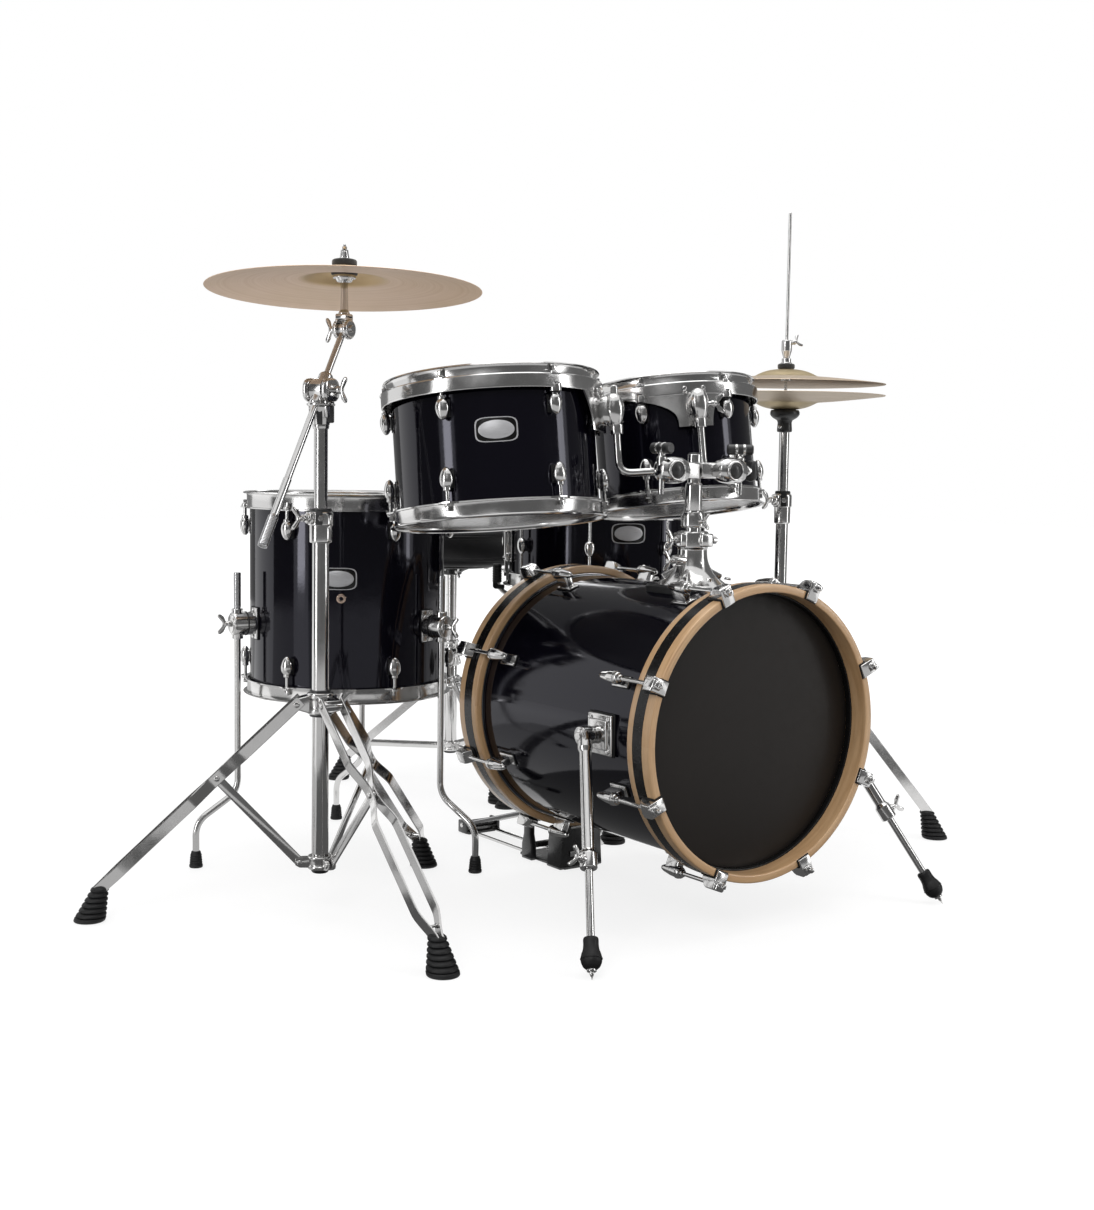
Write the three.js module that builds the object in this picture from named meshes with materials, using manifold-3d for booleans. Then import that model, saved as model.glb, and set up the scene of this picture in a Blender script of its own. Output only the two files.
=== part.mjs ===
// Acoustic drum kit: bass drum, two hung toms, floor tom, snare drum on its stand, hi-hat stand,
// boom stand with a crash cymbal, throne and bass pedal. Millimetres, +Z up.
// +X is the audience's right and +Y points to the player. The front of the bass drum faces -Y.
import * as THREE from "three";
import { mergeVertices } from "three/addons/utils/BufferGeometryUtils.js";
import Module from "manifold-3d";

const wasm = await Module();
wasm.setup();

// Driving sizes, in millimetres and degrees

const CLEARANCE = 0.3; // running gap between neighbouring pieces
const OVERRUN = 5; // how far a cutting tool runs past the face that it cuts
const WELD = 0.001; // vertices closer than this are one vertex

const sides = { tom: 18, drum: 24, cymbal: 20, seat: 20, tube: 8, small: 6, rod: 4, bendSteps: 2 };

const bass = {
  shellRadius: 203,
  shellDepth: 406,
  shellWall: 7,
  axisHeight: 291,
  hoopThickness: 12,
  hoopWidth: 50,
  hoopReach: 40,
  lugs: 8,
  lugSetback: 100,
  lugLength: 42,
  lugHeight: 31,
  lugWidth: 15,
  clawWidth: 24,
  clawLength: 26,
  clawPlate: 3.5,
  rodRadius: 3.5,
  rodSetout: 24,
  rodHead: 9,
};

const head = { ringGap: 0.4, ringWall: 2.3, ringDepth: 9, film: 1.3 };

const hoop = { wall: 2.3, lipReach: 6, earReach: 10, earRise: 5, rise: 8 };

const lug = { length: 28, width: 16, reach: 16.5, rodReach: 9.5, setback: 52, rodRadius: 3, rodHead: 9 };

const largeTom = { radius: 152.4, depth: 203, wall: 6, topHoop: 36, bottomHoop: 26, lugs: 6 };
const smallTom = { radius: 127, depth: 190, wall: 6, topHoop: 36, bottomHoop: 26, lugs: 6 };
const floorTom = { radius: 165, depth: 325, wall: 6, topHoop: 28, bottomHoop: 26, lugs: 6 };
const snare = { radius: 178, depth: 140, wall: 6, topHoop: 26, bottomHoop: 26, lugs: 8 };

const floorTomPlace = { x: -277, y: 510, z: 452 };
const floorLeg = {
  radius: 5.5,
  setout: 31,
  top: 488,
  bracketHeight: 404,
  bracketWidth: 30,
  bracketLength: 44,
  bracketDepth: 20,
  bendTop: 122,
  bendDrop: 47,
  stepOut: 72,
  bendRadius: 16,
  bootLength: 27,
  bootTop: 8,
  bootSole: 11,
  azimuths: [173.6, 293.6, 53.6],
  turns: [0, 0, 49],
};

const spur = {
  pivotSetout: 32.5,
  pivotSetback: 83,
  pivotRise: 1,
  tipSpread: 107.5,
  tipForward: 168,
  sleeveLength: 200,
  sleeveRadius: 8.5,
  sleeveBore: 6,
  rodRadius: 5.5,
  rodInside: 110,
  bootLength: 38,
  bootRadius: 13.5,
  bootGap: 14,
  spikeRadius: 3,
  collarRadius: 12,
  collarLength: 16,
  plateHeight: 62,
  plateLength: 60,
  plateThickness: 7,
  bossRadius: 13,
  eyeRadius: 14,
  eyeWidth: 9,
};

const tomMount = {
  y: -70,
  postRadius: 10.5,
  postBottom: 430,
  postTop: 692,
  flangeRadius: 50,
  flangeRise: 9,
  neckRadius: 19,
  neckTop: 578,
  ballX: 57,
  ballSetout: 27,
  ballZ: 670,
  ballRadius: 14.1,
  pocketRadius: 16.2,
  trunnionRadius: 4,
  trunnionReach: 19,
  windowRadius: 11.5,
  blockWidth: 46,
  blockDepth: 40,
  blockHeight: 40,
  bridgeHeight: 24,
  bridgeLap: 8,
  slotWidth: 15,
  slotHeight: 24,
  keyHeight: 20,
};

const arm = { radius: 5.2, bend: 16, top: 152 };
const tomBracket = {
  setout: 38,
  height: 70,
  blockWidth: 30,
  blockHeight: 42,
  blockWall: 9,
  plateWidth: 58,
  plateHeight: 80,
  plateThickness: 3.5,
  plateSetout: 17.5,
  webWidth: 42,
  webHeight: 22,
};
const leftArm = { elbowX: -71, elbowY: 47, tilt: 7.5, tomRise: 49, azimuth: -52 };
const rightArm = { elbowX: -17, elbowY: 49, tilt: 9, tomRise: 65, azimuth: -115 };

const strainer = { azimuth: -22.5, width: 26, height: 60, depth: 14, leverLength: 58, leverThickness: 5, pinRadius: 3 };
const wires = { width: 42, thickness: 2, inset: 14 };

const tripod = {
  strapWidth: 17,
  strapThickness: 3,
  strapSpread: 13,
  braceWidth: 13,
  braceThickness: 4,
  fixedBraceThickness: 8,
  collarRadius: 19,
  collarHeight: 30,
  bracketHeight: 20,
  bootLength: 50,
  bootTop: 15,
  bootSole: 21,
  earReach: 34,
  pinRadius: 3,
};

const crash = {
  x: -505,
  y: 171,
  footRadius: 332,
  azimuths: [151.5, 271.5, 31.5],
  collarZ: 321,
  bracketZ: 83,
  bracePivotRadius: 30,
  forkThickness: 4,
  legSpread: 36,
  pinchShares: [0.27, 0.4, 0.5, 0.9],
  lowerRadius: 12.5,
  lowerBore: 10.6,
  upperRadius: 10,
  lowerTop: 556,
  clampHeight: 46,
  screwAzimuth: 190,
  upperBottom: 420,
  upperTop: 742,
  tilterZ: 778,
  tilterWidth: 20,
  tilterRadius: 17,
  boomRadius: 5,
  boomTail: 300,
  boomHead: 108,
  boomTilt: 32,
  boomAzimuth: 27,
  cymbalTilt: 3.5,
  cymbalTiltAzimuth: 58,
  nutAzimuth: 54,
};

const crashCymbal = { radius: 203, bellRadius: 60, bellHeight: 18, bowDrop: 16, thickness: 1.8, hole: 6.5, seat: 90 };
const hatCymbal = { radius: 178, bellRadius: 58, bellHeight: 14, bowDrop: 12, thickness: 1.8, hole: 6.5 };
const cymbalRod = { radius: 4, feltRadius: 18, feltHeight: 9, washerRadius: 14, washerHeight: 3, nutRadius: 6, nutHeight: 16, seatDrop: 2 };

const hat = {
  x: 455,
  y: 213,
  footRadius: 292,
  azimuths: [-40, 80, 200],
  collarZ: 362,
  bracketZ: 130,
  braceShare: 0.5,
  lowerRadius: 11,
  lowerBore: 9.4,
  upperRadius: 9,
  upperBore: 4,
  lowerTop: 592,
  clampHeight: 34,
  upperBottom: 470,
  cupBottom: 739,
  cupRadius: 26,
  lowEdgeZ: 805,
  topEdgeZ: 826,
  rodRadius: 2.8,
  rodBottom: 98,
  rodTop: 1130,
  clutchZ: 868,
  footAzimuth: 115,
  frameWidth: 50,
  frameThickness: 8,
  yokeDepth: 26,
  yokeHeight: 24,
  screwAzimuth: 180,
};

const snareStand = {
  x: 252,
  y: 481,
  footRadius: 195,
  azimuths: [0, 120, 240],
  collarZ: 236,
  bracketZ: 60,
  braceShare: 0.52,
  screwAzimuth: -60,
  lowerRadius: 12.5,
  lowerBore: 10.6,
  upperRadius: 10,
  lowerTop: 300,
  clampHeight: 30,
  upperBottom: 180,
  upperTop: 362,
  drumZ: 526,
  basketZ: 396,
  armAzimuths: [148, 28, -92],
  armRadius: 4.5,
  tipRadius: 9,
  tipLength: 34,
  tipLift: 13,
};

const throne = {
  x: 198,
  y: 933,
  footRadius: 236,
  azimuths: [142.5, 262.5, 22.5],
  collarZ: 212,
  bracketZ: 77,
  braceShare: 0.62,
  screwAzimuth: -100,
  lowerRadius: 13,
  lowerBore: 11.2,
  upperRadius: 10.5,
  lowerTop: 282,
  clampHeight: 34,
  upperBottom: 150,
  upperTop: 447,
  seatBottom: 465,
  seatRadius: 152,
  seatThickness: 82,
  seatPull: 7,
  seatCrown: 9,
  plateRadius: 88,
  plateThickness: 8,
  hubRadius: 21,
  hubHeight: 17,
};

const pedal = {
  heelY: 514,
  plateWidth: 74,
  plateThickness: 5,
  toeY: 262,
  postX: 42,
  postWidth: 12,
  postDepth: 30,
  axleY: 292,
  axleZ: 196,
  axleRadius: 5,
  bearing: 11,
  camRadius: 26,
  camWidth: 12,
  beaterLength: 168,
  beaterRodRadius: 3.5,
  beaterLean: 36,
  beaterHeadRadius: 22,
  beaterHeadLength: 40,
  riserY: 218,
  riserWidth: 92,
  riserDepth: 44,
};

const footboard = { length: 232, width: 66, thickness: 6, slope: 17, hingeZ: 15, hingeRadius: 5, ribHeight: 3 };

// Materials

const finish = (color, roughness, metalness) => new THREE.MeshStandardMaterial({ color, roughness, metalness });

const paint = {
  lacquer: finish(0x17171b, 0.16, 0.05),
  chrome: finish(0xc9ccd2, 0.14, 1.0),
  maple: finish(0xc79a6c, 0.38, 0.0),
  blackHead: finish(0x141416, 0.45, 0.0),
  clearHead: finish(0xd9d9d6, 0.35, 0.0),
  brass: finish(0xb9a483, 0.3, 0.9),
  rubber: finish(0x17171a, 0.8, 0.0),
  felt: finish(0x101012, 0.95, 0.0),
  cushion: finish(0x161618, 0.6, 0.0),
  blackMetal: finish(0x1a1a1c, 0.4, 0.5),
};

// Small tools for making and joining shapes

const radians = THREE.MathUtils.degToRad;
const point = (x, y, z) => new THREE.Vector3(x, y, z);
const polar = (radius, degrees, z) =>
  point(radius * Math.cos(radians(degrees)), radius * Math.sin(radians(degrees)), z);
const half = (size) => size / 2;

// A bore's corner radius, so that its flats clear a round or many-sided pin of the given radius
const boreRadius = (radius, segments) => (radius + CLEARANCE) / Math.cos(Math.PI / segments);

function toSolid(geometry) {
  const loose = geometry.index ? geometry.toNonIndexed() : geometry.clone();
  loose.deleteAttribute("normal");
  loose.deleteAttribute("uv");
  const merged = mergeVertices(loose, WELD);
  const vertProperties = merged.attributes.position.array;
  const triVerts = new Uint32Array(merged.index.array);
  return new wasm.Manifold(new wasm.Mesh({ numProp: 3, vertProperties, triVerts }));
}

function toGeometry(solid) {
  const mesh = solid.getMesh();
  const geometry = new THREE.BufferGeometry();
  geometry.setAttribute("position", new THREE.BufferAttribute(mesh.vertProperties, mesh.numProp));
  geometry.setIndex(new THREE.BufferAttribute(mesh.triVerts, 1));
  return geometry;
}

const join = (shapes) => toGeometry(shapes.map(toSolid).reduce((whole, next) => whole.add(next)));
const cut = (body, tools) =>
  toGeometry(tools.map(toSolid).reduce((left, tool) => left.subtract(tool), toSolid(body)));

// A closed outline of [radius, z] pairs turned about the Z axis
function revolve(outline, segments) {
  const points = outline.map(([radius, z]) => new THREE.Vector2(radius, z));
  const solidToAxis = points[0].x === 0 && points[points.length - 1].x === 0;
  if (THREE.ShapeUtils.area(points) < 0) points.reverse();
  if (!solidToAxis) points.push(points[0].clone());
  return new THREE.LatheGeometry(points, segments).rotateX(half(Math.PI));
}

function disc(radius, bottom, top, segments) {
  return new THREE.CylinderGeometry(radius, radius, top - bottom, segments)
    .rotateX(half(Math.PI))
    .translate(0, 0, half(top + bottom));
}

function cone(bottomRadius, topRadius, bottom, top, segments) {
  return new THREE.CylinderGeometry(topRadius, bottomRadius, top - bottom, segments)
    .rotateX(half(Math.PI))
    .translate(0, 0, half(top + bottom));
}

const block = (width, depth, height) => new THREE.BoxGeometry(width, depth, height);

const pipe = (inner, outer, bottom, top, segments) =>
  revolve([[inner, bottom], [outer, bottom], [outer, top], [inner, top]], segments);

// A flat outline of [x, y] pairs, raised along +Z about the plane z = 0
function prism(outline, thickness) {
  const shape = new THREE.Shape(outline.map(([x, y]) => new THREE.Vector2(x, y)));
  const solid = new THREE.ExtrudeGeometry(shape, { depth: thickness, bevelEnabled: false });
  return solid.translate(0, 0, -half(thickness));
}

// A [radius, z] outline raised sideways, for plates that stand out from a drum's wall
const radialPrism = (outline, thickness) => prism(outline, thickness).rotateX(half(Math.PI));

// Turns a shape that lies along +Z so that it runs from one point towards another
function aim(geometry, from, to) {
  const direction = to.clone().sub(from).normalize();
  const side = Math.abs(direction.z) > 1 - WELD ? point(1, 0, 0) : point(-direction.y, direction.x, 0).normalize();
  const matrix = new THREE.Matrix4().makeBasis(side, direction.clone().cross(side), direction);
  return geometry.applyMatrix4(matrix.setPosition(from));
}

const rod = (from, to, radius, segments = sides.small) =>
  aim(disc(radius, 0, from.distanceTo(to), segments), from, to);

// A flat bar: width lies across the sloping plane of its run, thickness lies level beside it
const bar = (from, to, thickness, width) =>
  aim(block(thickness, width, from.distanceTo(to)).translate(0, 0, half(from.distanceTo(to))), from, to);

// A path through set points, with one step from each point to the next
class PointPath extends THREE.Curve {
  constructor(points) {
    super();
    this.points = points;
  }
  getPoint(share) {
    const place = share * (this.points.length - 1);
    const i = Math.min(Math.floor(place), this.points.length - 2);
    return this.points[i].clone().lerp(this.points[i + 1], place - i);
  }
  getUtoTmapping(share) {
    return share;
  }
}

// A round bar along points whose corners are rounded to the bend radius
function bentRod(points, radius, bend, segments) {
  const line = [points[0]];
  for (let i = 1; i < points.length - 1; i++) {
    const corner = points[i];
    const before = corner.clone().lerp(points[i - 1], bend / corner.distanceTo(points[i - 1]));
    const after = corner.clone().lerp(points[i + 1], bend / corner.distanceTo(points[i + 1]));
    line.push(...new THREE.QuadraticBezierCurve3(before, corner, after).getPoints(sides.bendSteps));
  }
  line.push(points[points.length - 1]);
  const section = new THREE.Shape(new THREE.EllipseCurve(0, 0, radius, radius).getPoints(segments).slice(1));
  const extrudePath = new PointPath(line);
  return new THREE.ExtrudeGeometry(section, { steps: line.length - 1, extrudePath, bevelEnabled: false });
}

const around = (count, start, make) =>
  Array.from({ length: count }, (_, i) => make(i).rotateZ(radians(start + (360 / count) * i)));

// A wing screw that starts inside a piece's wall and stands out from the wall's face at the second point
const wing = { stem: 9, stemWidth: 7, span: 30, height: 16, dip: 7, thickness: 5 };
function wingScrew(from, to) {
  const root = from.distanceTo(to) + wing.stem;
  const outline = [
    [-half(wing.stemWidth), 0],
    [half(wing.stemWidth), 0],
    [half(wing.stemWidth), root],
    [half(wing.span), root + wing.height],
    [0, root + wing.height - wing.dip],
    [-half(wing.span), root + wing.height],
    [-half(wing.stemWidth), root],
  ];
  return [aim(prism(outline, wing.thickness).rotateX(half(Math.PI)), from, to)];
}

function piece(name, geometry, material) {
  const shown = geometry.index ? geometry.toNonIndexed() : geometry;
  shown.computeVertexNormals();
  const mesh = new THREE.Mesh(shown, material);
  mesh.name = name;
  return mesh;
}

function group(name, place, ...children) {
  const made = new THREE.Group();
  made.name = name;
  made.position.copy(place);
  made.add(...children);
  return made;
}

// A group that turns about, or slides along, an axis of its own frame
function joint(name, place, axis, ...children) {
  const made = group(name, place, ...children);
  made.userData.axis = axis;
  return made;
}

const along = { x: point(1, 0, 0), y: point(0, 1, 0), z: point(0, 0, 1) };

// Drum parts. Each is made about its own axis, along +Z, with its batter side up.
// A drum's outline is turned so that each lug stands on the middle of a flat.

const onFlats = (geometry, segments, start) => geometry.rotateZ(radians(start + 90 + half(360 / segments)));

const shell = (drum, segments, start) =>
  onFlats(pipe(drum.radius - drum.wall, drum.radius, -half(drum.depth), half(drum.depth), segments), segments, start);

const hoopInner = (drum) => drum.radius + head.ringGap + head.ringWall + CLEARANCE;

// A drum head: the film over the shell's edge and the flesh ring that hangs round the shell
function drumHead(radius, edge, ringOuter, segments, start) {
  const under = edge + CLEARANCE;
  const over = under + head.film;
  const ringInner = radius + head.ringGap;
  const foot = edge - head.ringDepth;
  const outline = [[0, under], [ringInner, under], [ringInner, foot], [ringOuter, foot], [ringOuter, over], [0, over]];
  return onFlats(revolve(outline, segments), segments, start);
}

const batterHead = (drum, segments, start) =>
  drumHead(drum.radius, half(drum.depth), hoopInner(drum) - CLEARANCE, segments, start);

// A pressed steel hoop: rolled lip on top, plain wall, and the ear flange that takes the rods
function steelHoop(drum, height, segments, start) {
  const inner = hoopInner(drum);
  const outer = inner + hoop.wall;
  const top = half(drum.depth) + hoop.rise;
  const bottom = top - height;
  const outline = [
    [inner, bottom],
    [inner + hoop.earReach, bottom],
    [outer, bottom + hoop.earRise],
    [inner + hoop.lipReach, top],
    [inner, top],
  ];
  return onFlats(revolve(outline, segments), segments, start);
}

function lugBody(drum, z) {
  const foot = drum.radius + CLEARANCE;
  const nose = drum.radius + lug.reach;
  const wide = half(lug.width);
  const narrow = half(wide);
  const outline = [[foot, -wide], [nose, -narrow], [nose, narrow], [foot, wide]];
  return prism(outline, lug.length).translate(0, 0, z);
}

// A hoop with its tension rods and lugs: one rod and lug each sixth or eighth of the way round
function hoopAssembly(drum, height, segments, start, lugZ) {
  const hoopBottom = half(drum.depth) + hoop.rise - height;
  const reach = drum.radius + lug.rodReach;
  const lugs = around(drum.lugs, start, () => lugBody(drum, lugZ));
  const rods = around(drum.lugs, start, () =>
    rod(point(reach, 0, lugZ), point(reach, 0, hoopBottom + hoop.earRise + lug.rodHead), lug.rodRadius, sides.rod),
  );
  return join([steelHoop(drum, height, segments, start), ...rods, ...lugs]);
}

const topHoop = (drum, segments, start) =>
  hoopAssembly(drum, drum.topHoop, segments, start, half(drum.depth) - lug.setback);

// The bottom hoop is held the same way and carries the resonant head inside it
function bottomHoop(drum, segments, start, lugZ) {
  const made = hoopAssembly(drum, drum.bottomHoop, segments, -start, lugZ);
  const film = drumHead(drum.radius, half(drum.depth), hoopInner(drum) + half(hoop.wall), segments, -start);
  return join([made, film]).rotateX(Math.PI);
}

// Bass drum, made about +Z and then laid on its side with its front to the audience

const bassHoopInner = bass.shellRadius + head.ringGap + head.ringWall + CLEARANCE;
const bassHoopOuter = bassHoopInner + bass.hoopThickness;
const bassHoopFace = half(bass.shellDepth) + bass.hoopReach;
const bassRodRadius = bass.shellRadius + bass.rodSetout;
const bassLugStart = half(360 / bass.lugs);

function bassClaw() {
  const front = bassHoopFace + bass.clawPlate;
  const bite = half(CLEARANCE);
  const seat = bassHoopOuter + CLEARANCE;
  const nose = bassRodRadius + bass.rodRadius + bass.clawPlate;
  const lip = bassHoopOuter - bass.hoopThickness + bite;
  const back = bassHoopFace - bass.clawLength;
  return radialPrism(
    [
      [lip, front],
      [lip, bassHoopFace - bite],
      [seat, bassHoopFace - bite],
      [seat, back],
      [nose, bassHoopFace - bass.clawPlate],
      [nose, front],
    ],
    bass.clawWidth,
  );
}

function bassLug() {
  const foot = bass.shellRadius + CLEARANCE;
  const nose = bass.shellRadius + bass.lugHeight;
  const wide = half(bass.lugWidth);
  const narrow = half(wide);
  const outline = [[foot, -wide], [nose, -narrow], [nose, narrow], [foot, wide]];
  return prism(outline, bass.lugLength).translate(0, 0, bassHoopFace - bass.lugSetback);
}

function bassHoop() {
  const back = bassHoopFace - bass.hoopWidth;
  const wood = onFlats(pipe(bassHoopInner, bassHoopOuter, back, bassHoopFace, sides.drum), sides.drum, bassLugStart);
  const lugs = around(bass.lugs, bassLugStart, bassLug);
  const claws = around(bass.lugs, bassLugStart, bassClaw);
  const rods = around(bass.lugs, bassLugStart, () =>
    rod(
      point(bassRodRadius, 0, bassHoopFace - bass.lugSetback),
      point(bassRodRadius, 0, bassHoopFace + bass.clawPlate + bass.rodHead),
      bass.rodRadius,
      sides.rod,
    ),
  );
  return join([wood, ...rods, ...lugs, ...claws]);
}

const bassHead = () =>
  drumHead(bass.shellRadius, half(bass.shellDepth), bassHoopInner - CLEARANCE, sides.drum, bassLugStart);

const layDown = (geometry) => geometry.rotateX(half(Math.PI)).translate(0, 0, bass.axisHeight);
const layBack = (geometry) => geometry.rotateX(-half(Math.PI)).translate(0, 0, bass.axisHeight);

// A spur turns on the shell's side, behind the front edge, and its tip stands on the floor in front;
// side is -1 on the left and 1 on the right
const spurPivot = (side) =>
  point(
    side * (bass.shellRadius + spur.pivotSetout),
    spur.pivotSetback - half(bass.shellDepth),
    bass.axisHeight + spur.pivotRise,
  );
const spurTip = (side) => spurPivot(side).add(point(side * spur.tipSpread, -spur.tipForward, 0)).setZ(0);

// The plate and boss on the shell's side that carry a spur
function spurBracket(side) {
  const wallX = bass.shellRadius - half(bass.shellWall);
  const plateX = bass.shellRadius + spur.plateThickness;
  const pivot = spurPivot(side);
  const eyeInner = spur.pivotSetout + bass.shellRadius - spur.eyeWidth - CLEARANCE;
  const plate = block(plateX - wallX, spur.plateLength, spur.plateHeight);
  const placed = plate.translate(side * half(plateX + wallX), pivot.y, pivot.z);
  const boss = rod(pivot.clone().setX(side * wallX), pivot.clone().setX(side * eyeInner), spur.bossRadius);
  return [placed, boss];
}

// The cast tom mount on top of the shell, and the hole through it and the shell for the post
function tomMountBase() {
  const top = bass.axisHeight + bass.shellRadius;
  const sunk = top - bass.shellWall;
  const bore = tomMount.postRadius + CLEARANCE;
  const rim = top + tomMount.flangeRise;
  const outline = [
    [bore, sunk],
    [tomMount.flangeRadius, sunk],
    [tomMount.flangeRadius, rim - half(tomMount.flangeRise)],
    [half(tomMount.flangeRadius), rim + half(tomMount.flangeRise)],
    [tomMount.neckRadius, rim + tomMount.neckRadius],
    [tomMount.neckRadius, tomMount.neckTop],
    [bore, tomMount.neckTop],
  ];
  const cast = revolve(outline, sides.tube);
  const screwZ = tomMount.neckTop - tomMount.neckRadius;
  const screw = wingScrew(point(-half(tomMount.neckRadius + bore), 0, screwZ), point(-tomMount.neckRadius, 0, screwZ));
  return join([cast, ...screw]).translate(0, tomMount.y, 0);
}

function bassShell() {
  const drum = { radius: bass.shellRadius, wall: bass.shellWall, depth: bass.shellDepth };
  const tube = layDown(shell(drum, sides.drum, bassLugStart));
  const bore = disc(tomMount.postRadius + CLEARANCE, bass.axisHeight, tomMount.neckTop + OVERRUN, sides.tube);
  const body = join([tube, tomMountBase(), ...spurBracket(-1), ...spurBracket(1)]);
  return cut(body, [bore.translate(0, tomMount.y, 0)]);
}

// A folding spur: the sleeve turns on the bracket's boss and the pointed rod slides in the sleeve

function spurJoint(name, side) {
  const pivot = spurPivot(side);
  const tip = spurTip(side).sub(pivot);
  const direction = tip.clone().normalize();
  const reach = (distance) => direction.clone().multiplyScalar(distance);
  const length = tip.length();
  const eyeEnd = spur.eyeRadius - half(spur.eyeWidth);
  const eye = rod(point(-side * spur.eyeWidth, 0, 0), point(side * spur.eyeWidth, 0, 0), spur.eyeRadius);
  const tube = rod(reach(0), reach(spur.sleeveLength), spur.sleeveRadius);
  const collar = rod(reach(spur.sleeveLength - spur.collarLength), reach(spur.sleeveLength), spur.collarRadius);
  const screwAt = reach(spur.sleeveLength - half(spur.collarLength));
  const screwOut = screwAt.clone().add(point(side * spur.collarRadius, 0, 0));
  const screwIn = screwAt.clone().add(point(side * spur.sleeveRadius, 0, 0));
  const bore = rod(reach(eyeEnd + spur.eyeRadius), reach(spur.sleeveLength + OVERRUN), spur.sleeveBore);
  const sleeve = cut(join([eye, tube, collar, ...wingScrew(screwIn, screwOut)]), [bore]);
  const shaft = rod(reach(spur.sleeveLength - spur.rodInside), reach(length - spur.bootGap), spur.rodRadius);
  const boot = rod(reach(length - spur.bootGap - spur.bootLength), reach(length - spur.bootGap), spur.bootRadius);
  const spike = aim(
    cone(spur.spikeRadius, spur.spikeRadius / spur.bootRadius, 0, spur.bootGap + spur.spikeRadius, sides.small),
    reach(length - spur.bootGap - spur.spikeRadius),
    tip,
  );
  return joint(
    name + "_fold",
    pivot,
    along.x,
    piece(name + "_sleeve", sleeve, paint.chrome),
    joint(name + "_extension", point(0, 0, 0), direction, piece(name + "_rod", join([shaft, boot, spike]), paint.chrome)),
  );
}

const bassDrum = group(
  "bass_drum",
  point(0, 0, 0),
  piece("bass_drum_shell", bassShell(), paint.lacquer),
  piece("bass_drum_front_hoop", layDown(bassHoop()), paint.maple),
  piece("bass_drum_rear_hoop", layBack(bassHoop()), paint.maple),
  piece("bass_drum_front_head", layDown(bassHead()), paint.blackHead),
  piece("bass_drum_batter_head", layBack(bassHead()), paint.clearHead),
  spurJoint("left_spur", -1),
  spurJoint("right_spur", 1),
);

// Hung toms. The drum's bracket grips the upright end of its arm and can turn on it.

function tomShell(drum, azimuth) {
  const grip = drum.radius + tomBracket.setout;
  const inner = drum.radius + tomBracket.plateSetout;
  const outer = grip + tomBracket.blockWall;
  const plate = block(tomBracket.plateThickness, tomBracket.plateWidth, tomBracket.plateHeight);
  const clamp = block(outer - inner, tomBracket.blockWidth, tomBracket.blockHeight);
  const sunk = drum.radius - half(drum.wall);
  const web = block(inner + half(tomBracket.plateThickness) - sunk, tomBracket.webWidth, tomBracket.webHeight);
  const webZ = tomBracket.height - half(tomBracket.blockHeight);
  const screwFrom = point(grip, half(tomBracket.blockWidth) - tomBracket.plateThickness, tomBracket.height);
  const screwTo = point(grip, half(tomBracket.blockWidth), tomBracket.height);
  const bracket = [
    plate.translate(inner + half(tomBracket.plateThickness), 0, tomBracket.height),
    clamp.translate(half(inner + outer), 0, tomBracket.height),
    web.translate(half(inner + half(tomBracket.plateThickness) + sunk), 0, webZ),
    ...wingScrew(screwFrom, screwTo),
  ];
  const bore = disc(boreRadius(arm.radius, sides.small), 0, tomBracket.height + tomBracket.plateHeight, sides.small);
  const placed = bracket.map((shape) => shape.rotateZ(radians(azimuth)));
  const hole = bore.translate(grip, 0, 0).rotateZ(radians(azimuth));
  return cut(join([shell(drum, sides.tom, lugStart), ...placed]), [hole]);
}

const lugStart = 30;
const tomSwivelPlace = (side) => point(side.elbowX, side.elbowY, 0);

function tomDrum(name, drum, mount) {
  const grip = drum.radius + tomBracket.setout;
  const centre = polar(-grip, mount.azimuth, mount.tomRise);
  const lowLug = half(drum.depth) - lug.setback;
  const parts = group(
    name,
    centre,
    piece(name + "_shell", tomShell(drum, mount.azimuth), paint.lacquer),
    piece(name + "_top_hoop", topHoop(drum, sides.tom, lugStart), paint.chrome),
    piece(name + "_batter_head", batterHead(drum, sides.tom, lugStart), paint.clearHead),
    piece(name + "_bottom_hoop", bottomHoop(drum, sides.tom, lugStart, lowLug), paint.chrome),
  );
  return joint(name + "_swivel", tomSwivelPlace(mount), along.z, parts);
}

// An L-rod whose ball sits in the post's socket and turns on a trunnion at its inner side
function tomArm(name, mount, drumJoint, side) {
  const elbow = tomSwivelPlace(mount);
  const top = elbow.clone().setZ(arm.top);
  const ball = new THREE.SphereGeometry(tomMount.ballRadius, sides.tube, sides.small);
  const bent = bentRod([point(0, 0, 0), elbow, top], arm.radius, arm.bend, sides.small);
  const trunnion = rod(point(0, 0, 0), point(-side * tomMount.trunnionReach, 0, 0), tomMount.trunnionRadius, sides.tube);
  const place = point(side * tomMount.ballX, -tomMount.ballSetout, tomMount.ballZ);
  const made = joint(name + "_tilt", place, along.x, piece(name, join([ball, bent, trunnion]), paint.chrome), drumJoint);
  made.rotation.x = -radians(mount.tilt);
  return made;
}

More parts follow.
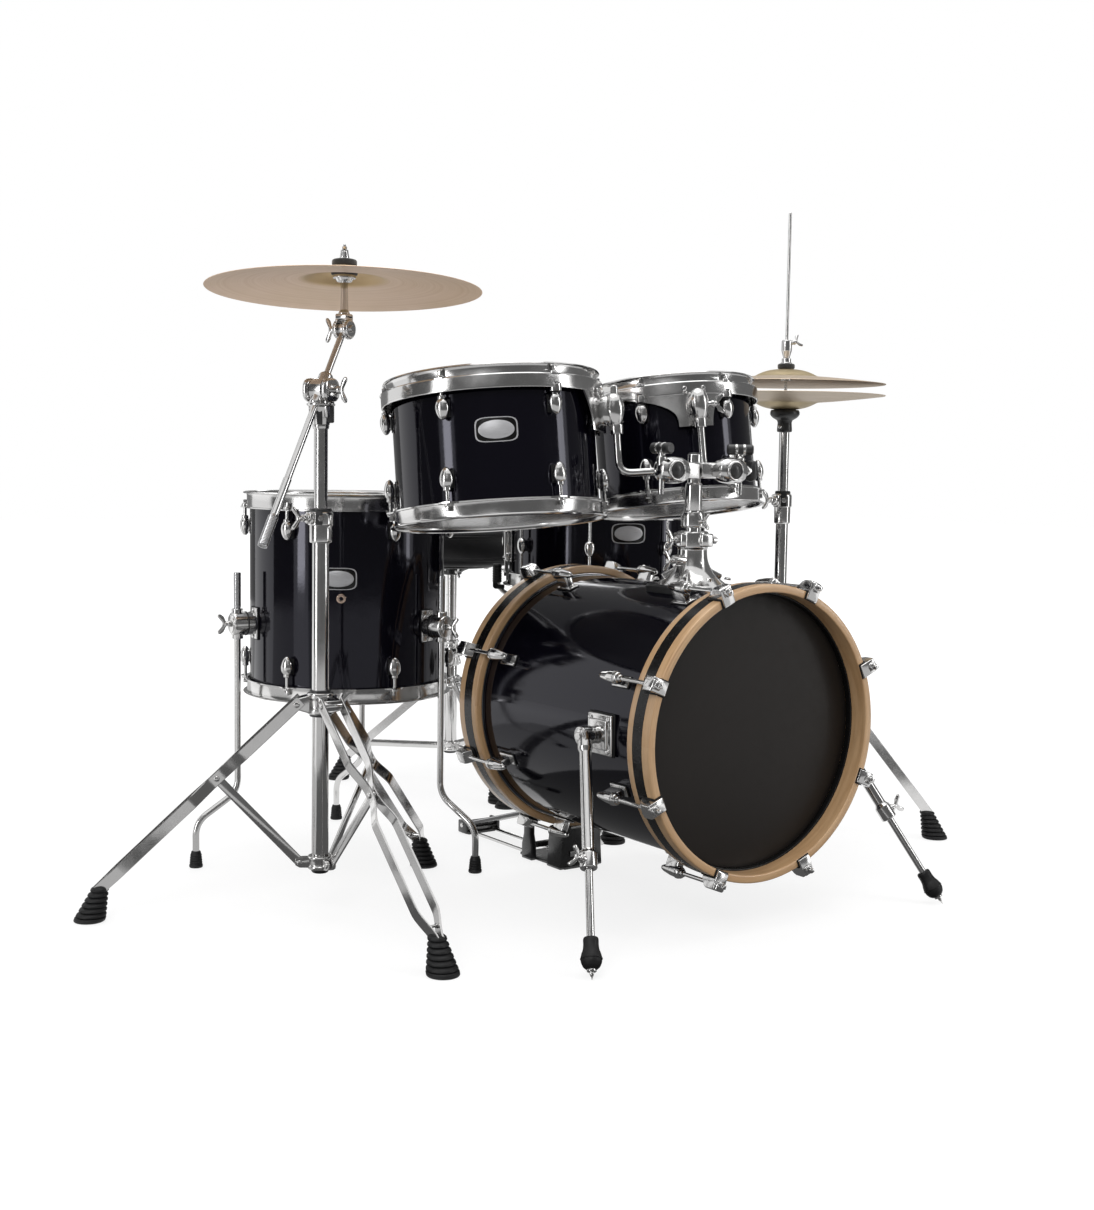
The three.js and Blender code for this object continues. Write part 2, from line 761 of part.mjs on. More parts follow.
// The post's head: two ball clamps joined by a bridge, each with a front window and a slot for its arm
function tomPost() {
  const z = tomMount.ballZ;
  const y = -tomMount.ballSetout;
  const tube = disc(tomMount.postRadius, tomMount.postBottom, tomMount.postTop, sides.tube);
  const bridgeWidth = 2 * tomMount.ballX - tomMount.blockWidth + tomMount.bridgeLap;
  const bridge = block(bridgeWidth, tomMount.blockDepth + tomMount.ballSetout, tomMount.bridgeHeight);
  const clamps = [-1, 1].map((side) =>
    block(tomMount.blockWidth, tomMount.blockDepth, tomMount.blockHeight).translate(side * tomMount.ballX, y, z),
  );
  const keys = [-1, 1].flatMap((side) => {
    const from = point(side * tomMount.ballX, y, z + half(tomMount.blockHeight) - half(wing.thickness));
    return wingScrew(from, point(side * tomMount.ballX, y, z + half(tomMount.blockHeight)));
  });
  const body = join([tube, bridge.translate(0, half(y), z), ...clamps, ...keys]);
  const hollows = [[-1, leftArm], [1, rightArm]].flatMap(([side, mount]) => {
    const x = side * tomMount.ballX;
    const pocket = new THREE.SphereGeometry(tomMount.pocketRadius, sides.tube, sides.small);
    const window = rod(point(x, y, z), point(x, y - tomMount.blockDepth, z), tomMount.windowRadius);
    const run = tomMount.blockWidth + tomMount.blockDepth;
    const slot = block(run, tomMount.slotWidth, tomMount.slotHeight).translate(half(run), 0, 0);
    slot.rotateZ(Math.atan2(mount.elbowY, mount.elbowX)).translate(x, y, z);
    const inner = x - side * (tomMount.trunnionReach + CLEARANCE);
    const bore = rod(point(x, y, z), point(inner, y, z), boreRadius(tomMount.trunnionRadius, sides.tube), sides.tube);
    return [pocket.translate(x, y, z), window, slot, bore];
  });
  return cut(body, hollows);
}

const tomMounting = joint(
  "tom_post_height",
  point(0, tomMount.y, 0),
  along.z,
  piece("tom_mount_post", tomPost(), paint.chrome),
  tomArm("left_tom_arm", leftArm, tomDrum("large_tom", largeTom, leftArm), -1),
  tomArm("right_tom_arm", rightArm, tomDrum("small_tom", smallTom, rightArm), 1),
);

// Floor tom on three legs that slide in brackets on its shell

const floorLugStart = 27.6;
const floorLegPlace = (i) => polar(floorTom.radius + floorLeg.setout, floorLeg.azimuths[i], 0);

function floorBracket(i) {
  const outer = floorTom.radius + floorLeg.setout + half(floorLeg.bracketDepth);
  const inner = floorTom.radius - half(floorTom.wall);
  const z = floorLeg.bracketHeight - floorTomPlace.z;
  const body = block(outer - inner, floorLeg.bracketWidth, floorLeg.bracketLength).translate(half(outer + inner), 0, z);
  const wall = half(floorLeg.bracketWidth);
  const grip = floorTom.radius + floorLeg.setout;
  const screw = wingScrew(point(grip, wall - wing.thickness, z), point(grip, wall, z));
  return [body, ...screw].map((shape) => shape.rotateZ(radians(floorLeg.azimuths[i])));
}

function floorShell() {
  const brackets = floorLeg.azimuths.flatMap((_, i) => floorBracket(i));
  const bores = floorLeg.azimuths.map((_, i) => {
    const place = floorLegPlace(i);
    const bore = disc(floorLeg.radius + CLEARANCE, -floorTom.depth, floorTom.depth, sides.small);
    return bore.translate(place.x, place.y, 0);
  });
  return cut(join([shell(floorTom, sides.tom, floorLugStart), ...brackets]), bores);
}

// The leg steps outwards below its bend, then drops into a rubber boot
function floorLegShape(i) {
  const out = (distance, z) => polar(distance, floorLeg.azimuths[i] + floorLeg.turns[i], z);
  const low = floorLeg.bendTop - floorLeg.bendDrop;
  const bent = bentRod(
    [point(0, 0, floorLeg.top), point(0, 0, floorLeg.bendTop), out(floorLeg.stepOut, low), out(floorLeg.stepOut, half(floorLeg.bootLength))],
    floorLeg.radius,
    floorLeg.bendRadius,
    sides.small,
  );
  const sole = out(floorLeg.stepOut, 0);
  const boot = cone(floorLeg.bootSole, floorLeg.bootTop, 0, floorLeg.bootLength, sides.small);
  return join([bent, boot.translate(sole.x, sole.y, 0)]);
}

const floorTomGroup = group(
  "floor_tom",
  point(floorTomPlace.x, floorTomPlace.y, 0),
  group(
    "floor_tom_drum",
    point(0, 0, floorTomPlace.z),
    piece("floor_tom_shell", floorShell(), paint.lacquer),
    piece("floor_tom_top_hoop", topHoop(floorTom, sides.tom, floorLugStart), paint.chrome),
    piece("floor_tom_batter_head", batterHead(floorTom, sides.tom, floorLugStart), paint.clearHead),
    piece(
      "floor_tom_bottom_hoop",
      bottomHoop(floorTom, sides.tom, floorLugStart, half(floorTom.depth) - lug.setback),
      paint.chrome,
    ),
  ),
  ...floorLeg.azimuths.map((_, i) =>
    joint("floor_tom_leg_" + (i + 1) + "_height", floorLegPlace(i), along.z, piece("floor_tom_leg_" + (i + 1), floorLegShape(i), paint.chrome)),
  ),
);

// Stand parts

const clampRadius = (stand) => stand.lowerRadius + half(stand.lowerRadius);

const boot = (place) => cone(tripod.bootSole, tripod.bootTop, 0, tripod.bootLength, sides.small).translate(place.x, place.y, 0);

// A point on a tripod leg's centre line, in the leg's own upright plane
function legPoint(stand, share) {
  const top = { r: tripod.earReach, z: stand.collarZ };
  const low = { r: stand.footRadius - half(tripod.bootTop), z: tripod.bootLength - half(tripod.bootTop) };
  return { r: THREE.MathUtils.lerp(top.r, low.r, share), z: THREE.MathUtils.lerp(top.z, low.z, share) };
}

// Two flat straps side by side, from the collar's ear down into a rubber boot, in the +X half plane
function legShape(stand) {
  const top = legPoint(stand, 0);
  const low = legPoint(stand, 1);
  const offset = half(tripod.strapSpread - tripod.strapThickness);
  const straps = [-1, 1].map((side) =>
    bar(point(top.r, side * offset, top.z), point(low.r, side * half(offset), low.z), tripod.strapThickness, tripod.strapWidth),
  );
  return [...straps, boot(point(stand.footRadius, 0, 0))];
}

function crossRod(place, length, radius) {
  const reach = point(0, half(length), 0);
  return rod(place.clone().sub(reach), place.clone().add(reach), radius, sides.small);
}

const pinBore = (place, width) => crossRod(place, width + OVERRUN, boreRadius(tripod.pinRadius, sides.small));

function collarEar(z, width) {
  const outline = [
    [tripod.collarRadius - tripod.pinRadius, z - half(tripod.collarHeight)],
    [tripod.earReach, z - tripod.pinRadius - tripod.pinRadius],
    [tripod.earReach + tripod.pinRadius + tripod.pinRadius, z],
    [tripod.earReach, z + tripod.pinRadius + tripod.pinRadius],
    [tripod.collarRadius - tripod.pinRadius, z + half(tripod.collarHeight)],
  ];
  return radialPrism(outline, width);
}

// A stand's lower tube, turned in one piece with its bracket, its collar and, at its mouth, its clamp
function baseTube(stand, collarHeights) {
  const bracketRise = half(tripod.bracketHeight);
  const rings = [[stand.bracketZ, bracketRise], ...collarHeights.map((z) => [z, half(tripod.collarHeight)])];
  const collars = rings.flatMap(([z, rise]) => [
    [stand.lowerRadius, z - rise],
    [tripod.collarRadius, z - rise],
    [tripod.collarRadius, z + rise],
    [stand.lowerRadius, z + rise],
  ]);
  const clampLow = stand.lowerTop - stand.clampHeight;
  return revolve(
    [
      [stand.lowerBore, stand.bracketZ - bracketRise],
      ...collars.slice(1),
      [stand.lowerRadius, clampLow],
      [clampRadius(stand), clampLow],
      [clampRadius(stand), stand.lowerTop],
      [stand.lowerBore, stand.lowerTop],
    ],
    sides.tube,
  );
}

// The wing screw of the clamp at the mouth of a lower tube
function clampScrew(stand, azimuth) {
  const middle = stand.lowerTop - half(stand.clampHeight);
  const screw = wingScrew(point(stand.lowerRadius, 0, middle), point(clampRadius(stand), 0, middle));
  return screw.map((shape) => shape.rotateZ(radians(azimuth)));
}

// A tripod that is one piece: its lower tube, collar, straps, braces and boots
function fixedTripod(stand, braceShare, screwAzimuth) {
  const pin = legPoint(stand, braceShare);
  const legs = stand.azimuths.flatMap((azimuth) => {
    const brace = bar(
      point(half(tripod.collarRadius + stand.lowerRadius), 0, stand.bracketZ),
      point(pin.r, 0, pin.z),
      tripod.fixedBraceThickness,
      tripod.braceWidth,
    );
    const shapes = [...legShape(stand), collarEar(stand.collarZ, tripod.fixedBraceThickness), brace];
    return shapes.map((shape) => shape.rotateZ(radians(azimuth)));
  });
  const tube = baseTube(stand, [stand.collarZ]);
  return [tube, ...clampScrew(stand, screwAzimuth), ...legs];
}

// A cymbal: a domed bell and a gently falling bow, of even thickness, with its edge at z = 0
function cymbalShape(cymbal) {
  const bell = cymbal.bellRadius;
  const bowTop = cymbal.bowDrop;
  const top = bowTop + cymbal.bellHeight;
  const bellShares = [[0.62, 0.74]];
  const bowShares = [[0.5, 0.58]];
  const upper = [
    [cymbal.hole, top],
    ...bellShares.map(([out, up]) => [bell * out, bowTop + cymbal.bellHeight * up]),
    [bell, bowTop],
    ...bowShares.map(([out, up]) => [THREE.MathUtils.lerp(bell, cymbal.radius, out), bowTop * up]),
    [cymbal.radius, 0],
  ];
  const lower = upper.map(([r, z]) => [r, z - cymbal.thickness]).reverse();
  return revolve([...upper, ...lower], sides.cymbal);
}

const cymbalTop = (cymbal) => cymbal.bowDrop + cymbal.bellHeight;

// Crash stand: a tripod that folds, a sliding upper tube, and a boom that tilts and slides

const crashLegTop = { r: tripod.earReach, z: crash.collarZ };
const crashBracePivot = { r: crash.bracePivotRadius, z: crash.bracketZ };
const crashForkSpread = tripod.braceThickness + 2 * (crash.forkThickness + CLEARANCE);

// A joint whose shapes are made in the +X half plane and turn about a pin across a leg's plane
function legJoint(name, i, pivot, shapes) {
  const azimuth = crash.azimuths[i];
  const placed = shapes.map((shape) => shape.translate(-pivot.r, 0, -pivot.z).rotateZ(radians(azimuth)));
  const axis = polar(1, azimuth - 90, 0);
  const made = piece(name + "_" + (i + 1), join(placed), paint.chrome);
  return joint(name + "_" + (i + 1) + "_fold", polar(pivot.r, azimuth, pivot.z), axis, made);
}

// One of a leg's two straps: apart at the collar, pinched together on the brace, apart again, and
// pinched once more where both enter the boot; side is -1 or 1
function pinchedStrap(side) {
  const top = legPoint(crash, 0);
  const low = legPoint(crash, 1);
  const run = Math.hypot(low.r - top.r, top.z - low.z);
  const wide = half(crash.legSpread - tripod.strapThickness);
  const narrow = half(tripod.braceThickness + tripod.strapThickness) + CLEARANCE;
  const [part, meet, apart, close] = crash.pinchShares;
  const line = [[0, wide], [part, wide], [meet, narrow], [apart, wide], [close, wide], [1, narrow]];
  const grip = half(tripod.strapThickness);
  const outer = line.map(([share, offset]) => [share * run, side * (offset + grip)]);
  const inner = line.map(([share, offset]) => [share * run, side * (offset - grip)]).reverse();
  const slope = Math.atan2(top.z - low.z, low.r - top.r);
  return prism([...outer, ...inner], tripod.strapWidth).rotateY(slope).translate(top.r, 0, top.z);
}

function crashLeg(i) {
  const pin = crossRod(point(crashLegTop.r, 0, crashLegTop.z), crash.legSpread, tripod.pinRadius);
  const shapes = [pinchedStrap(-1), pinchedStrap(1), boot(point(crash.footRadius, 0, 0)), pin];
  return legJoint("crash_stand_leg", i, crashLegTop, shapes);
}

// The brace runs up between the leg's two straps and ends in an eye where they pinch it
function crashBrace(i) {
  const from = point(crashBracePivot.r, 0, crashBracePivot.z);
  const { r, z } = legPoint(crash, crash.pinchShares[1]);
  const to = point(r, 0, z);
  const eye = crossRod(to, tripod.braceThickness, half(tripod.braceWidth));
  const strap = bar(from, to, tripod.braceThickness, tripod.braceWidth);
  const pin = crossRod(from, crashForkSpread, tripod.pinRadius);
  return legJoint("crash_stand_brace", i, crashBracePivot, [eye, strap, pin]);
}

function crashCollar() {
  const low = crash.collarZ - half(tripod.collarHeight);
  const high = crash.collarZ + half(tripod.collarHeight);
  const bore = crash.lowerRadius + CLEARANCE;
  const ring = pipe(bore, tripod.collarRadius, low, high, sides.tube);
  const earWidth = crash.legSpread - 2 * (tripod.strapThickness + CLEARANCE);
  const ears = crash.azimuths.map((azimuth) => collarEar(crash.collarZ, earWidth).rotateZ(radians(azimuth)));
  const turned = (shape, azimuth) => shape.rotateZ(radians(azimuth));
  const holes = crash.azimuths.map((azimuth) =>
    turned(pinBore(point(crashLegTop.r, 0, crashLegTop.z), crash.legSpread), azimuth),
  );
  const tube = disc(bore, low - OVERRUN, high + OVERRUN, sides.tube);
  const screw = wingScrew(point(half(bore + tripod.collarRadius), 0, crash.collarZ), point(tripod.collarRadius, 0, crash.collarZ));
  const placedScrew = screw.map((shape) => shape.rotateZ(radians(crash.azimuths[1] + half(360 / crash.azimuths.length))));
  return cut(join([ring, ...ears, ...placedScrew]), [...holes, tube]);
}

// The lower tube with its clamp on top and, near the floor, the forked bracket for the braces
function crashBase() {
  const forkOffset = half(crashForkSpread - crash.forkThickness);
  const forkReach = crash.bracePivotRadius + tripod.pinRadius + tripod.pinRadius;
  const forks = crash.azimuths.flatMap((azimuth) =>
    [-1, 1].map((side) =>
      block(forkReach - crash.lowerRadius, crash.forkThickness, tripod.braceWidth)
        .translate(half(forkReach + crash.lowerRadius), side * forkOffset, crash.bracketZ)
        .rotateZ(radians(azimuth)),
    ),
  );
  const holes = crash.azimuths.map((azimuth) =>
    pinBore(point(crashBracePivot.r, 0, crashBracePivot.z), crashForkSpread).rotateZ(radians(azimuth)),
  );
  return cut(join([baseTube(crash, []), ...forks, ...clampScrew(crash, crash.screwAzimuth)]), holes);
}

const boomDirection = polar(Math.sin(radians(crash.boomTilt)), crash.boomAzimuth, Math.cos(radians(crash.boomTilt)));
const boomHinge = point(-Math.sin(radians(crash.boomAzimuth)), Math.cos(radians(crash.boomAzimuth)), 0);
const boomAt = (distance) => boomDirection.clone().multiplyScalar(distance);

// The upper tube ends in a fork whose cheeks hold the boom clamp
function crashUpper() {
  const tube = disc(crash.upperRadius, crash.upperBottom, crash.upperTop, sides.tube);
  const cheekWidth = half(crash.tilterRadius);
  const inner = half(crash.tilterWidth) + CLEARANCE;
  const low = crash.upperTop - crash.upperRadius;
  const seat = block(crash.tilterRadius, 2 * (inner + cheekWidth), crash.upperRadius).translate(0, 0, low);
  const high = crash.tilterZ + half(crash.tilterRadius);
  const cheeks = [-1, 1].map((side) =>
    block(crash.tilterRadius, cheekWidth, high - low).translate(0, side * (inner + half(cheekWidth)), half(high + low)),
  );
  const screw = wingScrew(point(0, -inner, crash.tilterZ), point(0, -inner - cheekWidth, crash.tilterZ));
  const shapes = [seat, ...cheeks, ...screw].map((shape) => shape.rotateZ(radians(crash.boomAzimuth)));
  return join([tube, ...shapes]);
}

function boomClamp() {
  const width = half(crash.tilterWidth);
  const hub = rod(point(0, -width, 0), point(0, width, 0), crash.tilterRadius).rotateZ(radians(crash.boomAzimuth));
  const sleeve = rod(boomAt(-crash.tilterRadius - width), boomAt(crash.tilterRadius + width), width);
  const bore = rod(boomAt(-crash.boomTail), boomAt(crash.boomTail), crash.boomRadius + CLEARANCE);
  return cut(join([hub, sleeve]), [bore]);
}

const cymbalTilterLength = 26;
const tilterFork = { width: 10, radius: 9 };

function boomRod() {
  const bar = rod(boomAt(-crash.boomTail), boomAt(crash.boomHead - tilterFork.radius), crash.boomRadius);
  const width = half(tilterFork.width);
  const end = boomAt(crash.boomHead);
  const eye = rod(point(0, -width, 0), point(0, width, 0), tilterFork.radius).rotateZ(radians(crash.boomAzimuth));
  return join([bar, rod(boomAt(crash.boomHead - tilterFork.radius - crash.boomRadius), end, crash.boomRadius), eye.translate(end.x, end.y, end.z)]);
}

// The tilter's two cheeks hold the boom's eye, and its stud carries the felts, the cymbal and the nut
function cymbalTilter() {
  const cheek = half(tilterFork.width);
  const inner = half(tilterFork.width) + CLEARANCE;
  const cheeks = [-1, 1].map((side) =>
    block(2 * tilterFork.radius, cheek, cymbalTilterLength).translate(0, side * (inner + half(cheek)), half(cymbalTilterLength) - tilterFork.radius),
  );
  const bridgeZ = cymbalTilterLength - tilterFork.radius;
  const bridge = block(2 * tilterFork.radius, 2 * (inner + cheek), tilterFork.width).translate(0, 0, bridgeZ);
  const screw = wingScrew(point(0, inner, 0), point(0, inner + cheek, 0));
  const yoke = [...cheeks, bridge, ...screw].map((shape) => shape.rotateZ(radians(crash.boomAzimuth)));
  const seat = crashCymbal.seat;
  const underFelt = seat - cymbalRod.seatDrop;
  const overFelt = seat + crashCymbal.thickness + CLEARANCE;
  const nutLow = overFelt + cymbalRod.feltHeight;
  const nutHigh = nutLow + cymbalRod.nutHeight;
  const shapes = [
    ...yoke,
    disc(cymbalRod.radius, bridgeZ, nutHigh + cymbalRod.nutRadius, sides.small),
    disc(cymbalRod.washerRadius, underFelt - cymbalRod.feltHeight - cymbalRod.washerHeight, underFelt - cymbalRod.feltHeight, sides.small),
    disc(cymbalRod.feltRadius, underFelt - cymbalRod.feltHeight, underFelt, sides.tube),
    disc(cymbalRod.feltRadius, overFelt, nutLow, sides.tube),
    disc(cymbalRod.nutRadius, nutLow, nutHigh, sides.small),
    block(wing.span, wing.thickness, wing.height).translate(0, 0, nutHigh).rotateZ(radians(crash.nutAzimuth)),
  ];
  return join(shapes);
}

const crashCymbalPiece = piece("crash_cymbal", cymbalShape(crashCymbal).translate(0, 0, crashCymbal.seat + crashCymbal.thickness - cymbalTop(crashCymbal)), paint.brass);
const crashTilterJoint = joint(
  "cymbal_tilt",
  boomAt(crash.boomHead),
  boomHinge,
  piece("crash_cymbal_tilter", cymbalTilter(), paint.chrome),
  joint("crash_cymbal_spin", point(0, 0, 0), along.z, crashCymbalPiece),
);
crashTilterJoint.quaternion.setFromAxisAngle(
  polar(1, crash.cymbalTiltAzimuth + 90, 0),
  radians(crash.cymbalTilt),
);
crashTilterJoint.userData.axis = boomHinge.clone().applyQuaternion(crashTilterJoint.quaternion.clone().invert());

const crashStand = group(
  "crash_stand",
  point(crash.x, crash.y, 0),
  piece("crash_stand_base_tube", crashBase(), paint.chrome),
  joint("crash_collar_slide", point(0, 0, 0), along.z, piece("crash_stand_collar", crashCollar(), paint.chrome), ...crash.azimuths.map((_, i) => crashLeg(i))),
  ...crash.azimuths.map((_, i) => crashBrace(i)),
  joint(
    "crash_height",
    point(0, 0, 0),
    along.z,
    piece("crash_stand_upper_tube", crashUpper(), paint.chrome),
    joint(
      "boom_tilt",
      point(0, 0, crash.tilterZ),
      boomHinge,
      piece("crash_boom_clamp", boomClamp(), paint.chrome),
      joint("boom_slide", point(0, 0, 0), boomDirection, piece("crash_boom_rod", boomRod(), paint.chrome), crashTilterJoint),
    ),
  ),
);

// Hi-hat stand: the footboard pulls a rod down through the tubes, and the rod carries the top cymbal

const hatFoot = {
  heel: 318,
  toe: 46,
  hingeZ: 17,
  boardWidth: 72,
  boardThickness: 6,
  boardLength: 270,
  slope: 16,
  strapWidth: 26,
};

// The tripod's tube stands in a stirrup, and two flat bars run along the floor from it to the heel
function hatBase() {
  const bars = [-1, 1].map((side) =>
    block(hatFoot.heel, hat.frameThickness, hat.frameThickness)
      .translate(half(hatFoot.heel), side * half(hat.frameWidth), half(hat.frameThickness)),
  );
  const cheeks = [-1, 1].map((side) =>
    block(hat.yokeDepth, hat.frameThickness, hat.bracketZ).translate(0, side * half(hat.frameWidth), half(hat.bracketZ)),
  );
  const arms = [...bars, ...cheeks];
  const yoke = block(hat.yokeDepth, hat.frameWidth + hat.frameThickness, hat.yokeHeight).translate(0, 0, hat.bracketZ);
  const heel = block(hat.frameWidth, hatFoot.boardWidth, hat.frameThickness).translate(hatFoot.heel, 0, half(hat.frameThickness));
  const ears = [-1, 1].map((side) =>
    block(hat.frameThickness + hat.frameThickness, hat.frameThickness, hatFoot.hingeZ + hat.frameThickness)
      .translate(hatFoot.heel, side * half(hatFoot.boardWidth - hat.frameThickness), half(hatFoot.hingeZ + hat.frameThickness)),
  );
  const frame = [yoke, ...arms, heel, ...ears].map((shape) => shape.rotateZ(radians(hat.footAzimuth)));
  const pinHole = rod(
    point(hatFoot.heel, -hatFoot.boardWidth, hatFoot.hingeZ),
    point(hatFoot.heel, hatFoot.boardWidth, hatFoot.hingeZ),
    boreRadius(footboard.hingeRadius, sides.small),
  ).rotateZ(radians(hat.footAzimuth));
  const bore = disc(hat.lowerBore, 0, hat.lowerTop + OVERRUN, sides.tube);
  const shapes = [...fixedTripod(hat, hat.braceShare, hat.screwAzimuth), ...frame];
  return cut(join(shapes), [bore, pinHole]);
}

// The board is hinged on a pin at its heel and carries the strap that draws the rod down
function hatBoard() {
  const pinLength = hatFoot.boardWidth - hat.frameThickness;
  const innerWidth = hatFoot.boardWidth - 2 * (hat.frameThickness + CLEARANCE);
  const pin = rod(point(0, -half(pinLength), 0), point(0, half(pinLength), 0), footboard.hingeRadius);
  const outline = [
    [0, -half(innerWidth)],
    [hatFoot.boardLength, -half(innerWidth)],
    [hatFoot.boardLength, half(innerWidth)],
    [0, half(innerWidth)],
  ];
  const board = prism(outline, hatFoot.boardThickness);
  const rib = block(hatFoot.boardLength, hatFoot.strapWidth, hatFoot.boardThickness + footboard.ribHeight).translate(half(hatFoot.boardLength), 0, 0);
  const sloped = [board, rib].map((shape) => shape.rotateY(-radians(hatFoot.slope)).rotateZ(Math.PI));
  const made = [pin, ...sloped.map((shape) => shape.rotateY(0))];
  return join(made.map((shape) => shape.rotateZ(radians(hat.footAzimuth))));
}

function hatUpper() {
  const low = hat.cupBottom;
  const cupTop = hat.lowEdgeZ - cymbalTop(hatCymbal) - CLEARANCE;
  const tube = pipe(hat.upperBore, hat.upperRadius, hat.upperBottom, cupTop - cymbalRod.feltHeight, sides.tube);
  const cup = revolve(
    [
      [half(hat.upperRadius + hat.upperBore), low],
      [hat.upperRadius + cymbalRod.washerHeight, low],
      [hat.upperRadius + cymbalRod.washerHeight, half(low + cupTop)],
      [hat.cupRadius, cupTop - cymbalRod.feltHeight],
      [hat.cupRadius, cupTop],
      [hat.upperBore + CLEARANCE, cupTop],
      [hat.upperBore + CLEARANCE, cupTop - cymbalRod.feltHeight - CLEARANCE],
    ],
    sides.tube,
  );
  return join([tube, cup]);
}

function hatRod() {
  const cymbalAt = hat.topEdgeZ + cymbalTop(hatCymbal);
  const feltLow = cymbalAt + CLEARANCE;
  const feltHigh = feltLow + cymbalRod.feltHeight;
  const under = cymbalAt - hatCymbal.thickness - cymbalRod.seatDrop;
  const barrel = hat.clutchZ;
  const shapes = [
    disc(hat.rodRadius, hat.rodBottom, hat.rodTop, sides.small),
    disc(cymbalRod.feltRadius, feltLow, feltHigh, sides.tube),
    disc(hatCymbal.hole - 2 * CLEARANCE, under - cymbalRod.feltHeight, barrel, sides.small),
    disc(cymbalRod.feltRadius, under - cymbalRod.feltHeight, under, sides.tube),
    disc(cymbalRod.nutRadius + cymbalRod.washerHeight, feltHigh, barrel + cymbalRod.nutHeight, sides.small),
    ...wingScrew(point(0, 0, barrel + half(cymbalRod.nutHeight)), point(cymbalRod.nutRadius + cymbalRod.washerHeight, 0, barrel + half(cymbalRod.nutHeight))),
  ];
  return join(shapes);
}

const hatStand = group(
  "hi_hat_stand",
  point(hat.x, hat.y, 0),
  piece("hi_hat_base", hatBase(), paint.chrome),
  joint(
    "hi_hat_footboard_hinge",
    polar(hatFoot.heel, hat.footAzimuth, hatFoot.hingeZ),
    polar(1, hat.footAzimuth - 90, 0),
    piece("hi_hat_footboard", hatBoard(), paint.blackMetal),
  ),
  joint(
    "hi_hat_height",
    point(0, 0, 0),
    along.z,
    piece("hi_hat_upper_tube", hatUpper(), paint.chrome),
    piece("hi_hat_bottom_cymbal", cymbalShape(hatCymbal).rotateX(Math.PI).translate(0, 0, hat.lowEdgeZ), paint.brass),
    joint(
      "hi_hat_rod_slide",
      point(0, 0, 0),
      along.z,
      piece("hi_hat_pull_rod", hatRod(), paint.chrome),
      piece("hi_hat_top_cymbal", cymbalShape(hatCymbal).translate(0, 0, hat.topEdgeZ), paint.brass),
    ),
  ),
);

// Snare drum, held in a basket that tilts on top of its stand

function snareShell() {
  const outer = snare.radius + strainer.depth;
  const inner = snare.radius - half(snare.wall);
  const bodies = [strainer.azimuth, strainer.azimuth + 180].map((azimuth) =>
    block(outer - inner, strainer.width, strainer.height).translate(half(outer + inner), 0, 0).rotateZ(radians(azimuth)),
  );
  return join([shell(snare, sides.drum, 0), ...bodies]);
}

// The lever folds down from the strainer, turning on a pin across its face
function strainerLever() {
  const pin = rod(point(0, -half(strainer.width), 0), point(0, half(strainer.width), 0), strainer.pinRadius);
  const blade = block(strainer.leverThickness, half(strainer.width), strainer.leverLength).translate(0, 0, half(strainer.leverLength));
  return join([pin, blade]).rotateZ(radians(strainer.azimuth));
}

function snareBottom() {
  const hoopAndHead = bottomHoop(snare, sides.drum, 0, half(snare.depth) - lug.setback);
  const level = -half(snare.depth) - CLEARANCE - head.film;
  const strip = block(2 * (snare.radius - wires.inset), wires.width, wires.thickness).rotateZ(radians(strainer.azimuth));
  return join([hoopAndHead, strip.translate(0, 0, level - half(wires.thickness) + half(head.film))]);
}

function snareLugRing() {
  const made = hoopAssembly(snare, snare.topHoop, sides.drum, 0, half(snare.depth) - lug.setback);
  return made;
}

const snareStandBase = () => join(fixedTripod(snareStand, snareStand.braceShare, snareStand.screwAzimuth));

function snarePost() {
  const tube = disc(snareStand.upperRadius, snareStand.upperBottom, snareStand.upperTop, sides.tube);
  const width = half(crash.tilterWidth);
  const inner = width + CLEARANCE;
  const cheek = half(width);
  const low = snareStand.upperTop - snareStand.upperRadius;
  const seat = block(crash.tilterRadius, 2 * (inner + cheek), snareStand.upperRadius).translate(0, 0, low);
  const high = snareStand.basketZ + half(crash.tilterRadius);
  const cheeks = [-1, 1].map((side) =>
    block(crash.tilterRadius, cheek, high - low).translate(0, side * (inner + half(cheek)), half(high + low)),
  );
  return join([tube, seat, ...cheeks]);
}

